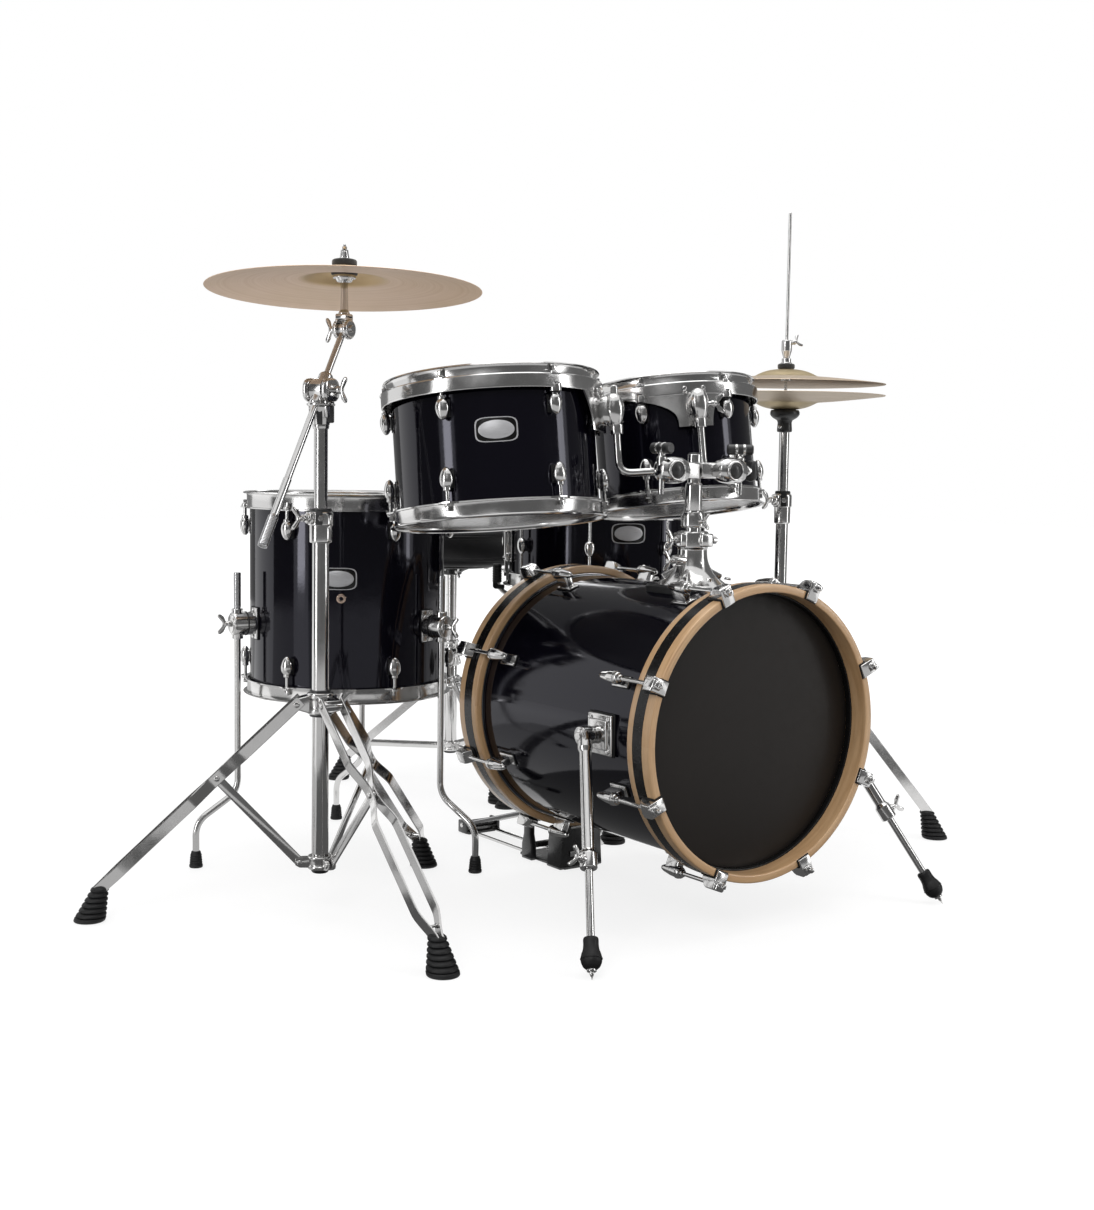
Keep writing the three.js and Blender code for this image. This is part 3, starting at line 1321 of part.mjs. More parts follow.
// Three arms rise from the hub to rubber grips that hold the bottom hoop
function snareBasket() {
  const hub = rod(point(0, -half(crash.tilterWidth), 0), point(0, half(crash.tilterWidth), 0), crash.tilterRadius);
  const plateLow = half(crash.tilterRadius);
  const plateHigh = crash.tilterRadius + crash.tilterWidth;
  const neck = disc(half(crash.tilterWidth), 0, plateHigh, sides.small);
  const plate = disc(crash.tilterRadius + half(crash.tilterWidth), plateLow + crash.tilterRadius, plateHigh, sides.small);
  const gripRadius = hoopInner(snare) + hoop.earReach + snareStand.tipRadius + CLEARANCE;
  const hoopBottom = snareStand.drumZ - half(snare.depth) - hoop.rise - snareStand.basketZ;
  const gripLow = hoopBottom - snareStand.tipRadius;
  const tipLow = gripLow + snareStand.tipLift;
  const riser = half(plateLow + crash.tilterRadius + plateHigh);
  const arms = snareStand.armAzimuths.flatMap((azimuth) => {
    const bent = bentRod(
      [point(0, 0, riser), point(gripRadius, 0, riser), point(gripRadius, 0, tipLow + half(snareStand.tipLength))],
      snareStand.armRadius,
      2 * tripod.strapWidth,
      sides.small,
    );
    const tip = disc(snareStand.tipRadius, tipLow, tipLow + snareStand.tipLength, sides.small).translate(gripRadius, 0, 0);
    const shelf = block(2 * snareStand.tipRadius, snareStand.tipRadius, snareStand.tipRadius - CLEARANCE);
    const ledge = shelf.translate(gripRadius - snareStand.tipRadius, 0, gripLow + half(snareStand.tipRadius - CLEARANCE));
    return [bent, tip, ledge].map((shape) => shape.rotateZ(radians(azimuth)));
  });
  return join([hub, neck, plate, ...arms]);
}

const snareDrum = group(
  "snare_drum",
  point(0, 0, snareStand.drumZ - snareStand.basketZ),
  piece("snare_shell", snareShell(), paint.lacquer),
  piece("snare_top_hoop", snareLugRing(), paint.chrome),
  piece("snare_batter_head", batterHead(snare, sides.drum, 0), paint.clearHead),
  piece("snare_bottom_hoop", snareBottom(), paint.chrome),
  joint(
    "throw_off",
    polar(snare.radius + strainer.depth + strainer.pinRadius + CLEARANCE, strainer.azimuth, 0),
    polar(1, strainer.azimuth + 90, 0),
    piece("snare_throw_off_lever", strainerLever(), paint.chrome),
  ),
);

const snareStandGroup = group(
  "snare_stand",
  point(snareStand.x, snareStand.y, 0),
  piece("snare_stand_base", snareStandBase(), paint.chrome),
  joint(
    "snare_height",
    point(0, 0, 0),
    along.z,
    piece("snare_stand_post", snarePost(), paint.chrome),
    joint("basket_tilt", point(0, 0, snareStand.basketZ), along.y, piece("snare_stand_basket", snareBasket(), paint.chrome), snareDrum),
  ),
);

// Throne: a tripod, a sliding post and a round padded seat

const throneBase = () => join(fixedTripod(throne, throne.braceShare, throne.screwAzimuth));

const thronePost = () => disc(throne.upperRadius, throne.upperBottom, throne.upperTop, sides.tube);

// The cushion's top is crowned, its side is drawn in at the seam, and its plate and hub lie under it
function throneSeat() {
  const low = throne.seatBottom;
  const high = low + throne.seatThickness;
  const round = throne.seatThickness / 5;
  const outline = [
    [0, low - throne.plateThickness],
    [throne.plateRadius, low - throne.plateThickness],
    [throne.plateRadius, low],
    [throne.seatRadius - round, low],
    [throne.seatRadius, low + round],
    [throne.seatRadius - throne.seatPull, half(low + high)],
    [throne.seatRadius, high - throne.seatCrown - round],
    [throne.seatRadius - round, high - throne.seatCrown],
    [half(throne.seatRadius), high - throne.seatCrown / 4],
    [0, high],
  ];
  const cushion = revolve(outline, sides.seat);
  const hubLow = low - throne.plateThickness - throne.hubHeight;
  const hub = disc(throne.hubRadius, hubLow, low, sides.tube);
  const socket = disc(boreRadius(throne.upperRadius, sides.tube), hubLow - OVERRUN, throne.upperTop + CLEARANCE, sides.tube);
  return cut(join([cushion, hub]), [socket]);
}

const throneGroup = group(
  "throne",
  point(throne.x, throne.y, 0),
  piece("throne_base", throneBase(), paint.chrome),
  joint(
    "throne_height",
    point(0, 0, 0),
    along.z,
    piece("throne_post", thronePost(), paint.chrome),
    joint("seat_spin", point(0, 0, 0), along.z, piece("throne_seat", throneSeat(), paint.cushion)),
  ),
);

// Bass pedal: a hinged footboard turns the axle, and the axle swings the beater at the drum

function pedalFrame() {
  const frontY = pedal.riserY - half(pedal.riserDepth);
  const backY = pedal.heelY + half(pedal.postDepth);
  const plate = block(pedal.plateWidth, backY - frontY, pedal.plateThickness).translate(0, half(frontY + backY), half(pedal.plateThickness));
  const hoopBottom = bass.axisHeight - bassHoopOuter;
  const riserTop = hoopBottom - CLEARANCE;
  const riser = block(pedal.riserWidth, pedal.riserDepth, riserTop).translate(0, pedal.riserY, half(riserTop));
  const postTop = pedal.axleZ + pedal.bearing;
  const posts = [-1, 1].map((side) =>
    block(pedal.postWidth, pedal.postDepth, postTop).translate(side * pedal.postX, pedal.axleY, half(postTop)),
  );
  const earHeight = footboard.hingeZ + footboard.hingeRadius + footboard.ribHeight;
  const ears = [-1, 1].map((side) =>
    block(footboard.thickness, pedal.postDepth, earHeight)
      .translate(side * half(pedal.plateWidth - footboard.thickness), pedal.heelY, half(earHeight)),
  );
  const axleHole = rod(
    point(-pedal.plateWidth, pedal.axleY, pedal.axleZ),
    point(pedal.plateWidth, pedal.axleY, pedal.axleZ),
    boreRadius(pedal.axleRadius, sides.small),
  );
  const pinHole = rod(
    point(-pedal.plateWidth, pedal.heelY, footboard.hingeZ),
    point(pedal.plateWidth, pedal.heelY, footboard.hingeZ),
    boreRadius(footboard.hingeRadius, sides.small),
  );
  return cut(join([plate, riser, ...posts, ...ears]), [axleHole, pinHole]);
}

function pedalBoard() {
  const pinHalf = half(pedal.plateWidth - footboard.thickness);
  const pin = rod(point(-pinHalf, 0, 0), point(pinHalf, 0, 0), footboard.hingeRadius);
  const heelHalf = half(pedal.plateWidth) - footboard.thickness - CLEARANCE;
  const outline = [
    [-heelHalf, 0],
    [-half(footboard.width), -footboard.length],
    [half(footboard.width), -footboard.length],
    [heelHalf, 0],
  ];
  const board = prism(outline, footboard.thickness);
  const rib = block(half(footboard.width), footboard.length, footboard.thickness + footboard.ribHeight).translate(0, -half(footboard.length), 0);
  return join([pin, ...[board, rib].map((shape) => shape.rotateX(-radians(footboard.slope)))]);
}

// The beater leans back at rest; its rod and the cam are fixed to the axle
function pedalBeater() {
  const axleHalf = pedal.postX + half(pedal.postWidth);
  const axle = rod(point(-axleHalf, 0, 0), point(axleHalf, 0, 0), pedal.axleRadius);
  const camHalf = half(pedal.camWidth);
  const cam = rod(point(-camHalf, 0, 0), point(camHalf, 0, 0), pedal.camRadius, sides.tube);
  const lean = radians(pedal.beaterLean);
  const reach = (distance) => point(0, distance * Math.sin(lean), distance * Math.cos(lean));
  const shaft = rod(reach(0), reach(pedal.beaterLength), pedal.beaterRodRadius);
  const across = point(0, Math.cos(lean), -Math.sin(lean)).multiplyScalar(half(pedal.beaterHeadLength));
  const middle = reach(pedal.beaterLength - pedal.beaterHeadRadius);
  const felt = rod(middle.clone().sub(across), middle.clone().add(across), pedal.beaterHeadRadius);
  return join([axle, cam, shaft, felt]);
}

const pedalGroup = group(
  "bass_pedal",
  point(0, 0, 0),
  piece("bass_pedal_frame", pedalFrame(), paint.blackMetal),
  joint("bass_footboard_hinge", point(0, pedal.heelY, footboard.hingeZ), along.x, piece("bass_pedal_footboard", pedalBoard(), paint.blackMetal)),
  joint("beater_swing", point(0, pedal.axleY, pedal.axleZ), along.x, piece("bass_pedal_beater", pedalBeater(), paint.felt)),
);

// The whole kit, moved so that its box stands centred on the origin

const kit = new THREE.Group();
kit.name = "acoustic_drum_kit";
kit.add(bassDrum, tomMounting, floorTomGroup, crashStand, hatStand, snareStandGroup, throneGroup, pedalGroup);
const box = new THREE.Box3().setFromObject(kit);
kit.position.set(-half(box.min.x + box.max.x), -half(box.min.y + box.max.y), -box.min.z);

export default kit;
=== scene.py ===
"""Looks of the acoustic drum kit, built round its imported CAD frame.
"""

import math

import bmesh
import bpy
from mathutils import Matrix, Vector


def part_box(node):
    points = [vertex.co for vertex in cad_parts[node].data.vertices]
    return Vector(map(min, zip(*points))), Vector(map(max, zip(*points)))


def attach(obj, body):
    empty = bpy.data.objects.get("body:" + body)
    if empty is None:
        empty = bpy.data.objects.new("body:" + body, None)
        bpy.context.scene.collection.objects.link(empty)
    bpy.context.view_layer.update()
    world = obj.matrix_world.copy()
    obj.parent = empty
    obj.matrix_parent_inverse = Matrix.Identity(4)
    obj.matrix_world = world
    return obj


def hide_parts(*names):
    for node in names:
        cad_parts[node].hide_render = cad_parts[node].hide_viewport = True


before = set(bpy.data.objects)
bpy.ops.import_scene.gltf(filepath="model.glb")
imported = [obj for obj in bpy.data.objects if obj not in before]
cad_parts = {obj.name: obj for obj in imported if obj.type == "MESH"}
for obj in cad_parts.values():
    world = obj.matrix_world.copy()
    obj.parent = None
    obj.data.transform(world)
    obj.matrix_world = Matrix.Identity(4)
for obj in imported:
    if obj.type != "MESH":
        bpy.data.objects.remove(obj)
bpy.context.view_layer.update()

MM = 0.001
FINE, MIDDLE, COARSE = 128, 48, 20

# Each cymbal's radius, bell radius, bell height, bow height and hole radius
CRASH_CYMBAL, HAT_CYMBAL = (203, 60, 18, 16, 6.5), (178, 58, 14, 12, 6.5)

THRONE = {"x": 198, "y": 933, "post_bottom": 150}
low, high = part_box("throne_post")
ORIGIN = Vector(
    (
        (low.x + high.x) / 2 / MM - THRONE["x"], (low.y + high.y) / 2 / MM - THRONE["y"],
        low.z / MM - THRONE["post_bottom"]
    )
)


# Shapes
def vec(x, y, z):
    return Vector((x, y, z))


def polar(radius, degrees, z=0.0):
    a = math.radians(degrees)
    return vec(radius * math.cos(a), radius * math.sin(a), z)


def shift(x, y, z):
    return Matrix.Translation((x, y, z))


def turn(degrees, axis="Z"):
    return Matrix.Rotation(math.radians(degrees), 4, axis)


def place(form, matrix):
    verts, faces = form
    return [matrix @ v for v in verts], faces


def merge(*forms):
    verts, faces = [], []
    for v, f in forms:
        n = len(verts)
        verts += v
        faces += [tuple(i + n for i in face) for face in f]
    return verts, faces


def aimed(form, start, end):
    """Turns a form that lies along +Z so that it runs from start towards end."""
    d = (end - start).normalized()
    side = vec(1, 0, 0) if abs(d.z) > 0.999999 else vec(-d.y, d.x, 0).normalized()
    other = d.cross(side)
    m = Matrix((side, other, d)).transposed().to_4x4()
    m.translation = start
    return place(form, m)


def turned(profile, count=MIDDLE, loop=None):
    """Turns (r, z) points about Z. A profile that starts and ends off the axis closes on itself."""
    if loop is None:
        loop = profile[0][0] > 0 and profile[-1][0] > 0
    verts, rings = [], []
    for r, z in profile:
        if r <= 0:
            rings.append([len(verts)])
            verts.append(vec(0, 0, z))
        else:
            n = len(verts)
            verts += [polar(r, 360 * i / count, z) for i in range(count)]
            rings.append(list(range(n, n + count)))
    faces = []
    pairs = list(zip(rings, rings[1:])) + ([(rings[-1], rings[0])] if loop else [])
    for a, b in pairs:
        for i in range(count):
            j = (i + 1) % count
            if len(a) == 1 and len(b) == 1:
                continue
            if len(a) == 1:
                faces.append((a[0], b[j], b[i]))
            elif len(b) == 1:
                faces.append((a[i], a[j], b[0]))
            else:
                faces.append((a[i], a[j], b[j], b[i]))
    return verts, faces


def rounded(points, radius, steps=3):
    """An open or closed (r, z) outline with its inner corners rounded."""
    out = [points[0]]
    for a, b, c in zip(points, points[1:], points[2:]):
        a, b, c = Vector(a), Vector(b), Vector(c)
        reach = min(radius, (a - b).length * 0.45, (c - b).length * 0.45)
        if reach < 0.02:
            out.append(tuple(b))
            continue
        p, q = b + (a - b).normalized() * reach, b + (c - b).normalized() * reach
        for k in range(steps + 1):
            t = k / steps
            out.append(tuple(p * (1 - t) ** 2 + b * 2 * t * (1 - t) + q * t * t))
    out.append(points[-1])
    return out


def solid_turn(profile, radius=0.8, count=MIDDLE):
    """A turned solid whose profile runs from axis to axis, with eased corners."""
    return turned(rounded(profile, radius), count)


def closed_ring(outline, ease, count, steps=3):
    """A turned ring: its (r, z) outline closes on itself, with eased corners."""
    return turned(rounded(outline, ease, steps), count, loop=True)


def disc(radius, low, high, ease=0.8, count=MIDDLE):
    """A turned solid with straight sides, from low to high."""
    return solid_turn([(0, low), (radius, low), (radius, high), (0, high)], ease, count)


def ribbon(points, thickness):
    """A closed outline of even thickness about an open line of (r, z) points."""
    pts = [Vector(p) for p in points]
    left, right = [], []
    for i, p in enumerate(pts):
        d = (pts[min(i + 1, len(pts) - 1)] - pts[max(i - 1, 0)]).normalized()
        n = Vector((-d.y, d.x)) * thickness / 2
        left.append(tuple(p + n))
        right.append(tuple(p - n))
    return left + right[::-1]


def tube(points, radius, count=COARSE):
    """A round bar along points; radius is one number or one for each point."""
    pts = [Vector(p) for p in points]
    radii = radius if isinstance(radius, (list, tuple)) else [radius] * len(pts)
    tangents = []
    for i in range(len(pts)):
        a = (pts[i] - pts[i - 1]).normalized() if i else None
        b = (pts[i + 1] - pts[i]).normalized() if i + 1 < len(pts) else None
        tangents.append(((a or b) + (b or a)).normalized())
    side = tangents[0].orthogonal().normalized()
    verts, faces = [], []
    for i, (p, t) in enumerate(zip(pts, tangents)):
        if i:
            side = (side - t * side.dot(t)).normalized()
        up = t.cross(side)
        for k in range(count):
            a = 2 * math.pi * k / count
            verts.append(p + (side * math.cos(a) + up * math.sin(a)) * radii[i])
    for i in range(len(pts) - 1):
        for k in range(count):
            j = (k + 1) % count
            a, b = i * count, (i + 1) * count
            faces.append((a + k, a + j, b + j, b + k))
    faces.append(tuple(reversed(range(count))))
    faces.append(tuple(range((len(pts) - 1) * count, len(pts) * count)))
    return verts, faces


def rod(start, end, radius, ease=0.6, count=COARSE):
    """A straight round bar with eased ends."""
    length = (end - start).length
    e = min(ease, radius * 0.5, length * 0.3)
    profile = [(0, 0), (radius - e, 0), (radius, e), (radius, length - e), (radius - e, length), (0, length)]
    return aimed(turned(profile, count), start, end)


def bent(points, bend, steps=7):
    """A path whose corners are rounded to the bend length."""
    line = [points[0]]
    for a, b, c in zip(points, points[1:], points[2:]):
        p, q = b + (a - b).normalized() * bend, b + (c - b).normalized() * bend
        for k in range(steps + 1):
            t = k / steps
            line.append(p * (1 - t) ** 2 + b * 2 * t * (1 - t) + q * t * t)
    return line + [points[-1]]


def bevelled(verts, faces, bevel, segments=2):
    bm = bmesh.new()
    made = [bm.verts.new(v) for v in verts]
    for f in faces:
        bm.faces.new([made[i] for i in f])
    bmesh.ops.recalc_face_normals(bm, faces=bm.faces)
    if bevel > 0:
        edges = [e for e in bm.edges if len(e.link_faces) == 2 and e.calc_face_angle(0) > 0.5]
        bmesh.ops.bevel(
            bm, geom=edges, offset=bevel, segments=segments, profile=0.5, affect="EDGES", clamp_overlap=True
        )
    bm.verts.ensure_lookup_table()
    bm.verts.index_update()
    out = [v.co.copy() for v in bm.verts], [tuple(v.index for v in f.verts) for f in bm.faces]
    bm.free()
    return out


def slab(outline, thickness, bevel=0.8, segments=2):
    """A flat outline of (x, y) points, raised along Z about z = 0."""
    n = len(outline)
    verts = [vec(x, y, -thickness / 2) for x, y in outline] + [vec(x, y, thickness / 2) for x, y in outline]
    faces = [tuple(reversed(range(n))), tuple(range(n, 2 * n))]
    faces += [(i, (i + 1) % n, (i + 1) % n + n, i + n) for i in range(n)]
    return bevelled(verts, faces, bevel, segments)


def brick(x, y, z, bevel=0.8, segments=2):
    h = [(-x / 2, -y / 2), (x / 2, -y / 2), (x / 2, y / 2), (-x / 2, y / 2)]
    return slab(h, z, bevel, segments)


def puff(x, y, z, power=3.0, taper=0.0, count=20):
    """A rounded block: half sizes x, y, z, the higher the power the squarer, narrowing towards +Z."""
    e = 2 / power
    verts, rows = [], count // 2

    def signed(v):
        return math.copysign(abs(v) ** e, v)

    for i in range(1, rows):
        lat = -math.pi / 2 + math.pi * i / rows
        for k in range(count):
            lon = 2 * math.pi * k / count
            t = signed(math.sin(lat))
            s = 1 - taper * (t + 1) / 2
            verts.append(
                vec(
                    x * s * signed(math.cos(lat)) * signed(math.cos(lon)),
                    y * s * signed(math.cos(lat)) * signed(math.sin(lon)), z * t
                )
            )
    bottom, top = len(verts), len(verts) + 1
    verts += [vec(0, 0, -z), vec(0, 0, z)]
    faces = []
    for i in range(rows - 2):
        for k in range(count):
            j = (k + 1) % count
            a, b = i * count, (i + 1) * count
            faces.append((a + k, a + j, b + j, b + k))
    last = (rows - 2) * count
    for k in range(count):
        j = (k + 1) % count
        faces.append((bottom, j, k))
        faces.append((last + k, last + j, top))
    return verts, faces


def hexagon(start, end, across):
    """A six-sided nut or bolt head, given across its flats."""
    length = (end - start).length
    r = across / math.sqrt(3)
    outline = [(r * math.cos(math.radians(60 * i)), r * math.sin(math.radians(60 * i))) for i in range(6)]
    return aimed(place(slab(outline, length, 0.5, 1), shift(0, 0, length / 2)), start, end)


def screw_head(at, out, radius=4.0, height=2.4):
    """A domed screw head that stands out from a face."""
    d = out.normalized()
    profile = [
        (0, -0.4), (radius, -0.4), (radius, height * 0.4), (radius * 0.75, height * 0.85),
        (radius * 0.3, height), (0, height)
    ]
    return aimed(solid_turn(profile, 0.4, COARSE), at, at + d)


def wing(start, end, span=30, height=25, stem=4.5, thick=4.2, roll=90):
    """A wing screw whose stem starts in a wall at start and leaves the wall's face at end."""
    root = (end - start).length
    s, h = span / 2, height
    outline = [
        (-stem * 0.7, root + 3), (-stem * 0.85, root + h * 0.36), (-s * 0.72, root + h * 0.52),
        (-s, root + h * 0.8), (-s * 0.95, root + h * 0.96), (-s * 0.72, root + h),
        (-s * 0.45, root + h * 0.82), (-s * 0.16, root + h * 0.62), (s * 0.16, root + h * 0.62),
        (s * 0.45, root + h * 0.82), (s * 0.72, root + h), (s * 0.95, root + h * 0.96), (s, root + h * 0.8),
        (s * 0.72, root + h * 0.52), (stem * 0.85, root + h * 0.36), (stem * 0.7, root + 3),
    ]
    blade = place(slab(outline, thick, 1.4, 2), turn(90, "X"))
    profile = [
        (0, 0), (stem * 0.8, 0), (stem * 0.8, root), (stem * 1.15, root + 0.3), (stem * 1.15, root + 4),
        (stem * 0.8, root + 5), (stem * 0.75, root + h * 0.45), (0, root + h * 0.5)
    ]
    return aimed(place(merge(blade, solid_turn(profile, 0.5, COARSE)), turn(roll)), start, end)


# Materials
def tree_of(name):
    material = bpy.data.materials.new(name)
    material.use_nodes = True
    tree = material.node_tree
    return material, tree, tree.nodes["Principled BSDF"]


def add(tree, kind, **values):
    node = tree.nodes.new(kind)
    for key, value in values.items():
        if hasattr(node, key):
            setattr(node, key, value)
        else:
            node.inputs[key.replace("_", " ")].default_value = value
    return node


def coords(tree, stretch=(1, 1, 1)):
    source = add(tree, "ShaderNodeTexCoord")
    mapping = add(tree, "ShaderNodeMapping")
    mapping.inputs["Scale"].default_value = stretch
    tree.links.new(source.outputs["Object"], mapping.inputs["Vector"])
    return mapping.outputs["Vector"]


def noise(tree, scale, detail=3.0, roughness=0.55, stretch=(1, 1, 1), vector=None):
    node = add(tree, "ShaderNodeTexNoise", Scale=scale, Detail=detail, Roughness=roughness)
    tree.links.new(vector or coords(tree, stretch), node.inputs["Vector"])
    return node.outputs["Fac"]


def ramp(tree, value, stops):
    node = add(tree, "ShaderNodeValToRGB")
    while len(node.color_ramp.elements) < len(stops):
        node.color_ramp.elements.new(0.5)
    for element, (at, colour) in zip(node.color_ramp.elements, stops):
        element.position = at
        element.color = (*colour, 1) if len(colour) == 3 else colour
    tree.links.new(value, node.inputs["Fac"])
    return node.outputs["Color"]


def between(tree, value, source, target, kind="LINEAR"):
    """Maps the source range onto the target range, each a (from, to) pair."""
    node = add(tree, "ShaderNodeMapRange", interpolation_type=kind)
    for name, limit in zip(("From Min", "From Max", "To Min", "To Max"), (*source, *target)):
        node.inputs[name].default_value = limit
    tree.links.new(value, node.inputs["Value"])
    return node.outputs["Result"]


def spread(tree, value, low, high):
    """Spreads the middle of a noise, where nearly all of it lies, from low to high."""
    return between(tree, value, (0.3, 0.7), (low, high))


def bump(tree, shader, value, strength, distance, below=None):
    node = add(tree, "ShaderNodeBump", Strength=strength, Distance=distance)
    tree.links.new(value, node.inputs["Height"])
    if below is not None:
        tree.links.new(below, node.inputs["Normal"])
    tree.links.new(node.outputs["Normal"], shader.inputs["Normal"])
    return node.outputs["Normal"]


def mixed(tree, share, a, b):
    node = add(tree, "ShaderNodeMix", data_type="RGBA")
    for name, value in (("Factor", share), ("A", a), ("B", b)):
        socket = [s for s in node.inputs if s.name == name and s.enabled][0]
        if isinstance(value, (tuple, list)):
            socket.default_value = (*value, 1) if len(value) == 3 else value
        elif isinstance(value, (int, float)):
            socket.default_value = value
        else:
            tree.links.new(value, socket)
    return [s for s in node.outputs if s.enabled][0]


def arithmetic(tree, operation, a, b=None):
    node = add(tree, "ShaderNodeMath", operation=operation)
    for socket, value in zip(node.inputs, (a, b)):
        if value is None:
            continue
        if isinstance(value, (int, float)):
            socket.default_value = value
        else:
            tree.links.new(value, socket)
    return node.outputs[0]


def axis_radius(tree):
    """Distance from the object's own Z axis, in metres, and its height along it and angle about it."""
    split = add(tree, "ShaderNodeSeparateXYZ")
    source = add(tree, "ShaderNodeTexCoord")
    tree.links.new(source.outputs["Object"], split.inputs[0])
    x, y, z = split.outputs
    square = arithmetic(tree, "ADD", arithmetic(tree, "MULTIPLY", x, x), arithmetic(tree, "MULTIPLY", y, y))
    return arithmetic(tree, "SQRT", square), z, arithmetic(tree, "ARCTAN2", y, x)


def lacquer_material():
    material, tree, shader = tree_of("gloss_black_lacquer")
    cloud = noise(tree, 3.0, 2.0)
    colour = mixed(tree, cloud, (0.0016, 0.0014, 0.0032), (0.0030, 0.0026, 0.0056))
    tree.links.new(colour, shader.inputs["Base Color"])
    shader.inputs["IOR"].default_value = 1.42
    shader.inputs["Specular Tint"].default_value = (0.86, 0.86, 1.0, 1)
    tree.links.new(spread(tree, noise(tree, 55.0, 6.0), 0.05, 0.10), shader.inputs["Roughness"])
    bump(tree, shader, noise(tree, 260.0, 2.0), 0.05, 0.0003)
    return material


def metal_material(name, colour, rough, wear=0.05):
    material, tree, shader = tree_of(name)
    shader.inputs["Metallic"].default_value = 1.0
    dull = tuple(c * 0.9 for c in colour)
    tree.links.new(mixed(tree, noise(tree, 14.0, 4.0), dull, colour), shader.inputs["Base Color"])
    tree.links.new(spread(tree, noise(tree, 60.0, 5.0), rough, rough + wear), shader.inputs["Roughness"])
    bump(tree, shader, noise(tree, 420.0, 3.0), 0.04, 0.0002)
    return material


def wood_material():
    material, tree, shader = tree_of("maple_hoop")
    radius, height, angle = axis_radius(tree)
    vector = add(tree, "ShaderNodeCombineXYZ")
    tree.links.new(arithmetic(tree, "MULTIPLY", angle, 0.55), vector.inputs[0])
    tree.links.new(arithmetic(tree, "MULTIPLY", height, 26.0), vector.inputs[1])
    tree.links.new(arithmetic(tree, "MULTIPLY", radius, 42.0), vector.inputs[2])
    grain = noise(tree, 5.0, 8.0, 0.62, vector=vector.outputs[0])
    fine = noise(tree, 42.0, 4.0, 0.6, vector=vector.outputs[0])
    flame = noise(tree, 3.0, 2.0, 0.5, vector=vector.outputs[0])
    tone = ramp(
        tree, grain, [(0.25, (0.36, 0.20, 0.09)), (0.5, (0.52, 0.315, 0.155)), (0.75, (0.62, 0.40, 0.215))]
    )
    tone = mixed(tree, spread(tree, fine, 0.0, 0.35), tone, (0.36, 0.20, 0.09))
    tone = mixed(tree, spread(tree, flame, 0.0, 0.3), tone, (0.74, 0.53, 0.32))
    tree.links.new(tone, shader.inputs["Base Color"])
    shader.inputs["Coat Weight"].default_value = 0.5
    shader.inputs["Coat Roughness"].default_value = 0.12
    tree.links.new(spread(tree, fine, 0.34, 0.48), shader.inputs["Roughness"])
    bump(tree, shader, fine, 0.12, 0.0003)
    return material


def film_material(name, dark, light, rough, coat=0.0, scale=900.0, strength=0.15, level=0.5):
    """A drum head's film or a satin plastic: a fine even grain over a soft cloud."""
    material, tree, shader = tree_of(name)
    tree.links.new(mixed(tree, noise(tree, 6.0, 4.0), dark, light), shader.inputs["Base Color"])
    tree.links.new(
        spread(tree, noise(tree, 90.0, 4.0), rough - 0.05, rough + 0.06), shader.inputs["Roughness"]
    )
    shader.inputs["Coat Weight"].default_value = coat
    shader.inputs["Coat Roughness"].default_value = 0.2
    shader.inputs["Specular IOR Level"].default_value = level
    bump(tree, shader, noise(tree, scale, 3.0), strength, 0.0003)
    return material


def cymbal_material(name, bell, tints):
    """Lathed bronze: rings round the cymbal's own axis, golden on the bell and paler on the bow."""
    material, tree, shader = tree_of(name)
    radius, _, _ = axis_radius(tree)
    golden, pale, deep = tints
    shader.inputs["Metallic"].default_value = 0.6
    rings = arithmetic(tree, "SINE", arithmetic(tree, "MULTIPLY", radius, 2 * math.pi / 0.0016))
    vector = add(tree, "ShaderNodeCombineXYZ")
    tree.links.new(arithmetic(tree, "MULTIPLY", radius, 1.0), vector.inputs[0])
    band = noise(tree, 130.0, 5.0, 0.7, vector=vector.outputs[0])
    cloud = noise(tree, 9.0, 4.0)
    tone = mixed(tree, spread(tree, band, 0.0, 1.0), pale, deep)
    tone = mixed(tree, spread(tree, cloud, 0.0, 0.35), tone, golden)
    inside = between(tree, radius, ((bell - 3) * MM, (bell + 10) * MM), (0.85, 0.0), "SMOOTHSTEP")
    tree.links.new(mixed(tree, inside, tone, golden), shader.inputs["Base Color"])
    tree.links.new(spread(tree, band, 0.32, 0.44), shader.inputs["Roughness"])
    shader.inputs["Anisotropic"].default_value = 0.4
    tangent = add(tree, "ShaderNodeTangent", direction_type="RADIAL", axis="Z")
    tree.links.new(tangent.outputs[0], shader.inputs["Tangent"])
    bump(tree, shader, arithmetic(tree, "ADD", arithmetic(tree, "MULTIPLY", rings, 0.5), band), 0.22, 0.00025)
    return material


def rubber_material():
    material, tree, shader = tree_of("black_rubber")
    tree.links.new(
        mixed(tree, noise(tree, 30.0, 4.0), (0.004, 0.004, 0.0045), (0.011, 0.011, 0.0115)),
        shader.inputs["Base Color"]
    )
    shader.inputs["Specular IOR Level"].default_value = 0.3
    tree.links.new(spread(tree, noise(tree, 120.0, 4.0), 0.45, 0.65), shader.inputs["Roughness"])
    bump(tree, shader, noise(tree, 600.0, 4.0), 0.25, 0.0004)
    return material


def felt_material(name, dark, light):
    material, tree, shader = tree_of(name)
    tree.links.new(mixed(tree, noise(tree, 220.0, 5.0), dark, light), shader.inputs["Base Color"])
    shader.inputs["Roughness"].default_value = 0.95
    shader.inputs["Sheen Weight"].default_value = 0.4
    shader.inputs["Sheen Roughness"].default_value = 0.5
    bump(tree, shader, noise(tree, 700.0, 6.0, 0.7), 0.6, 0.0008)
    return material


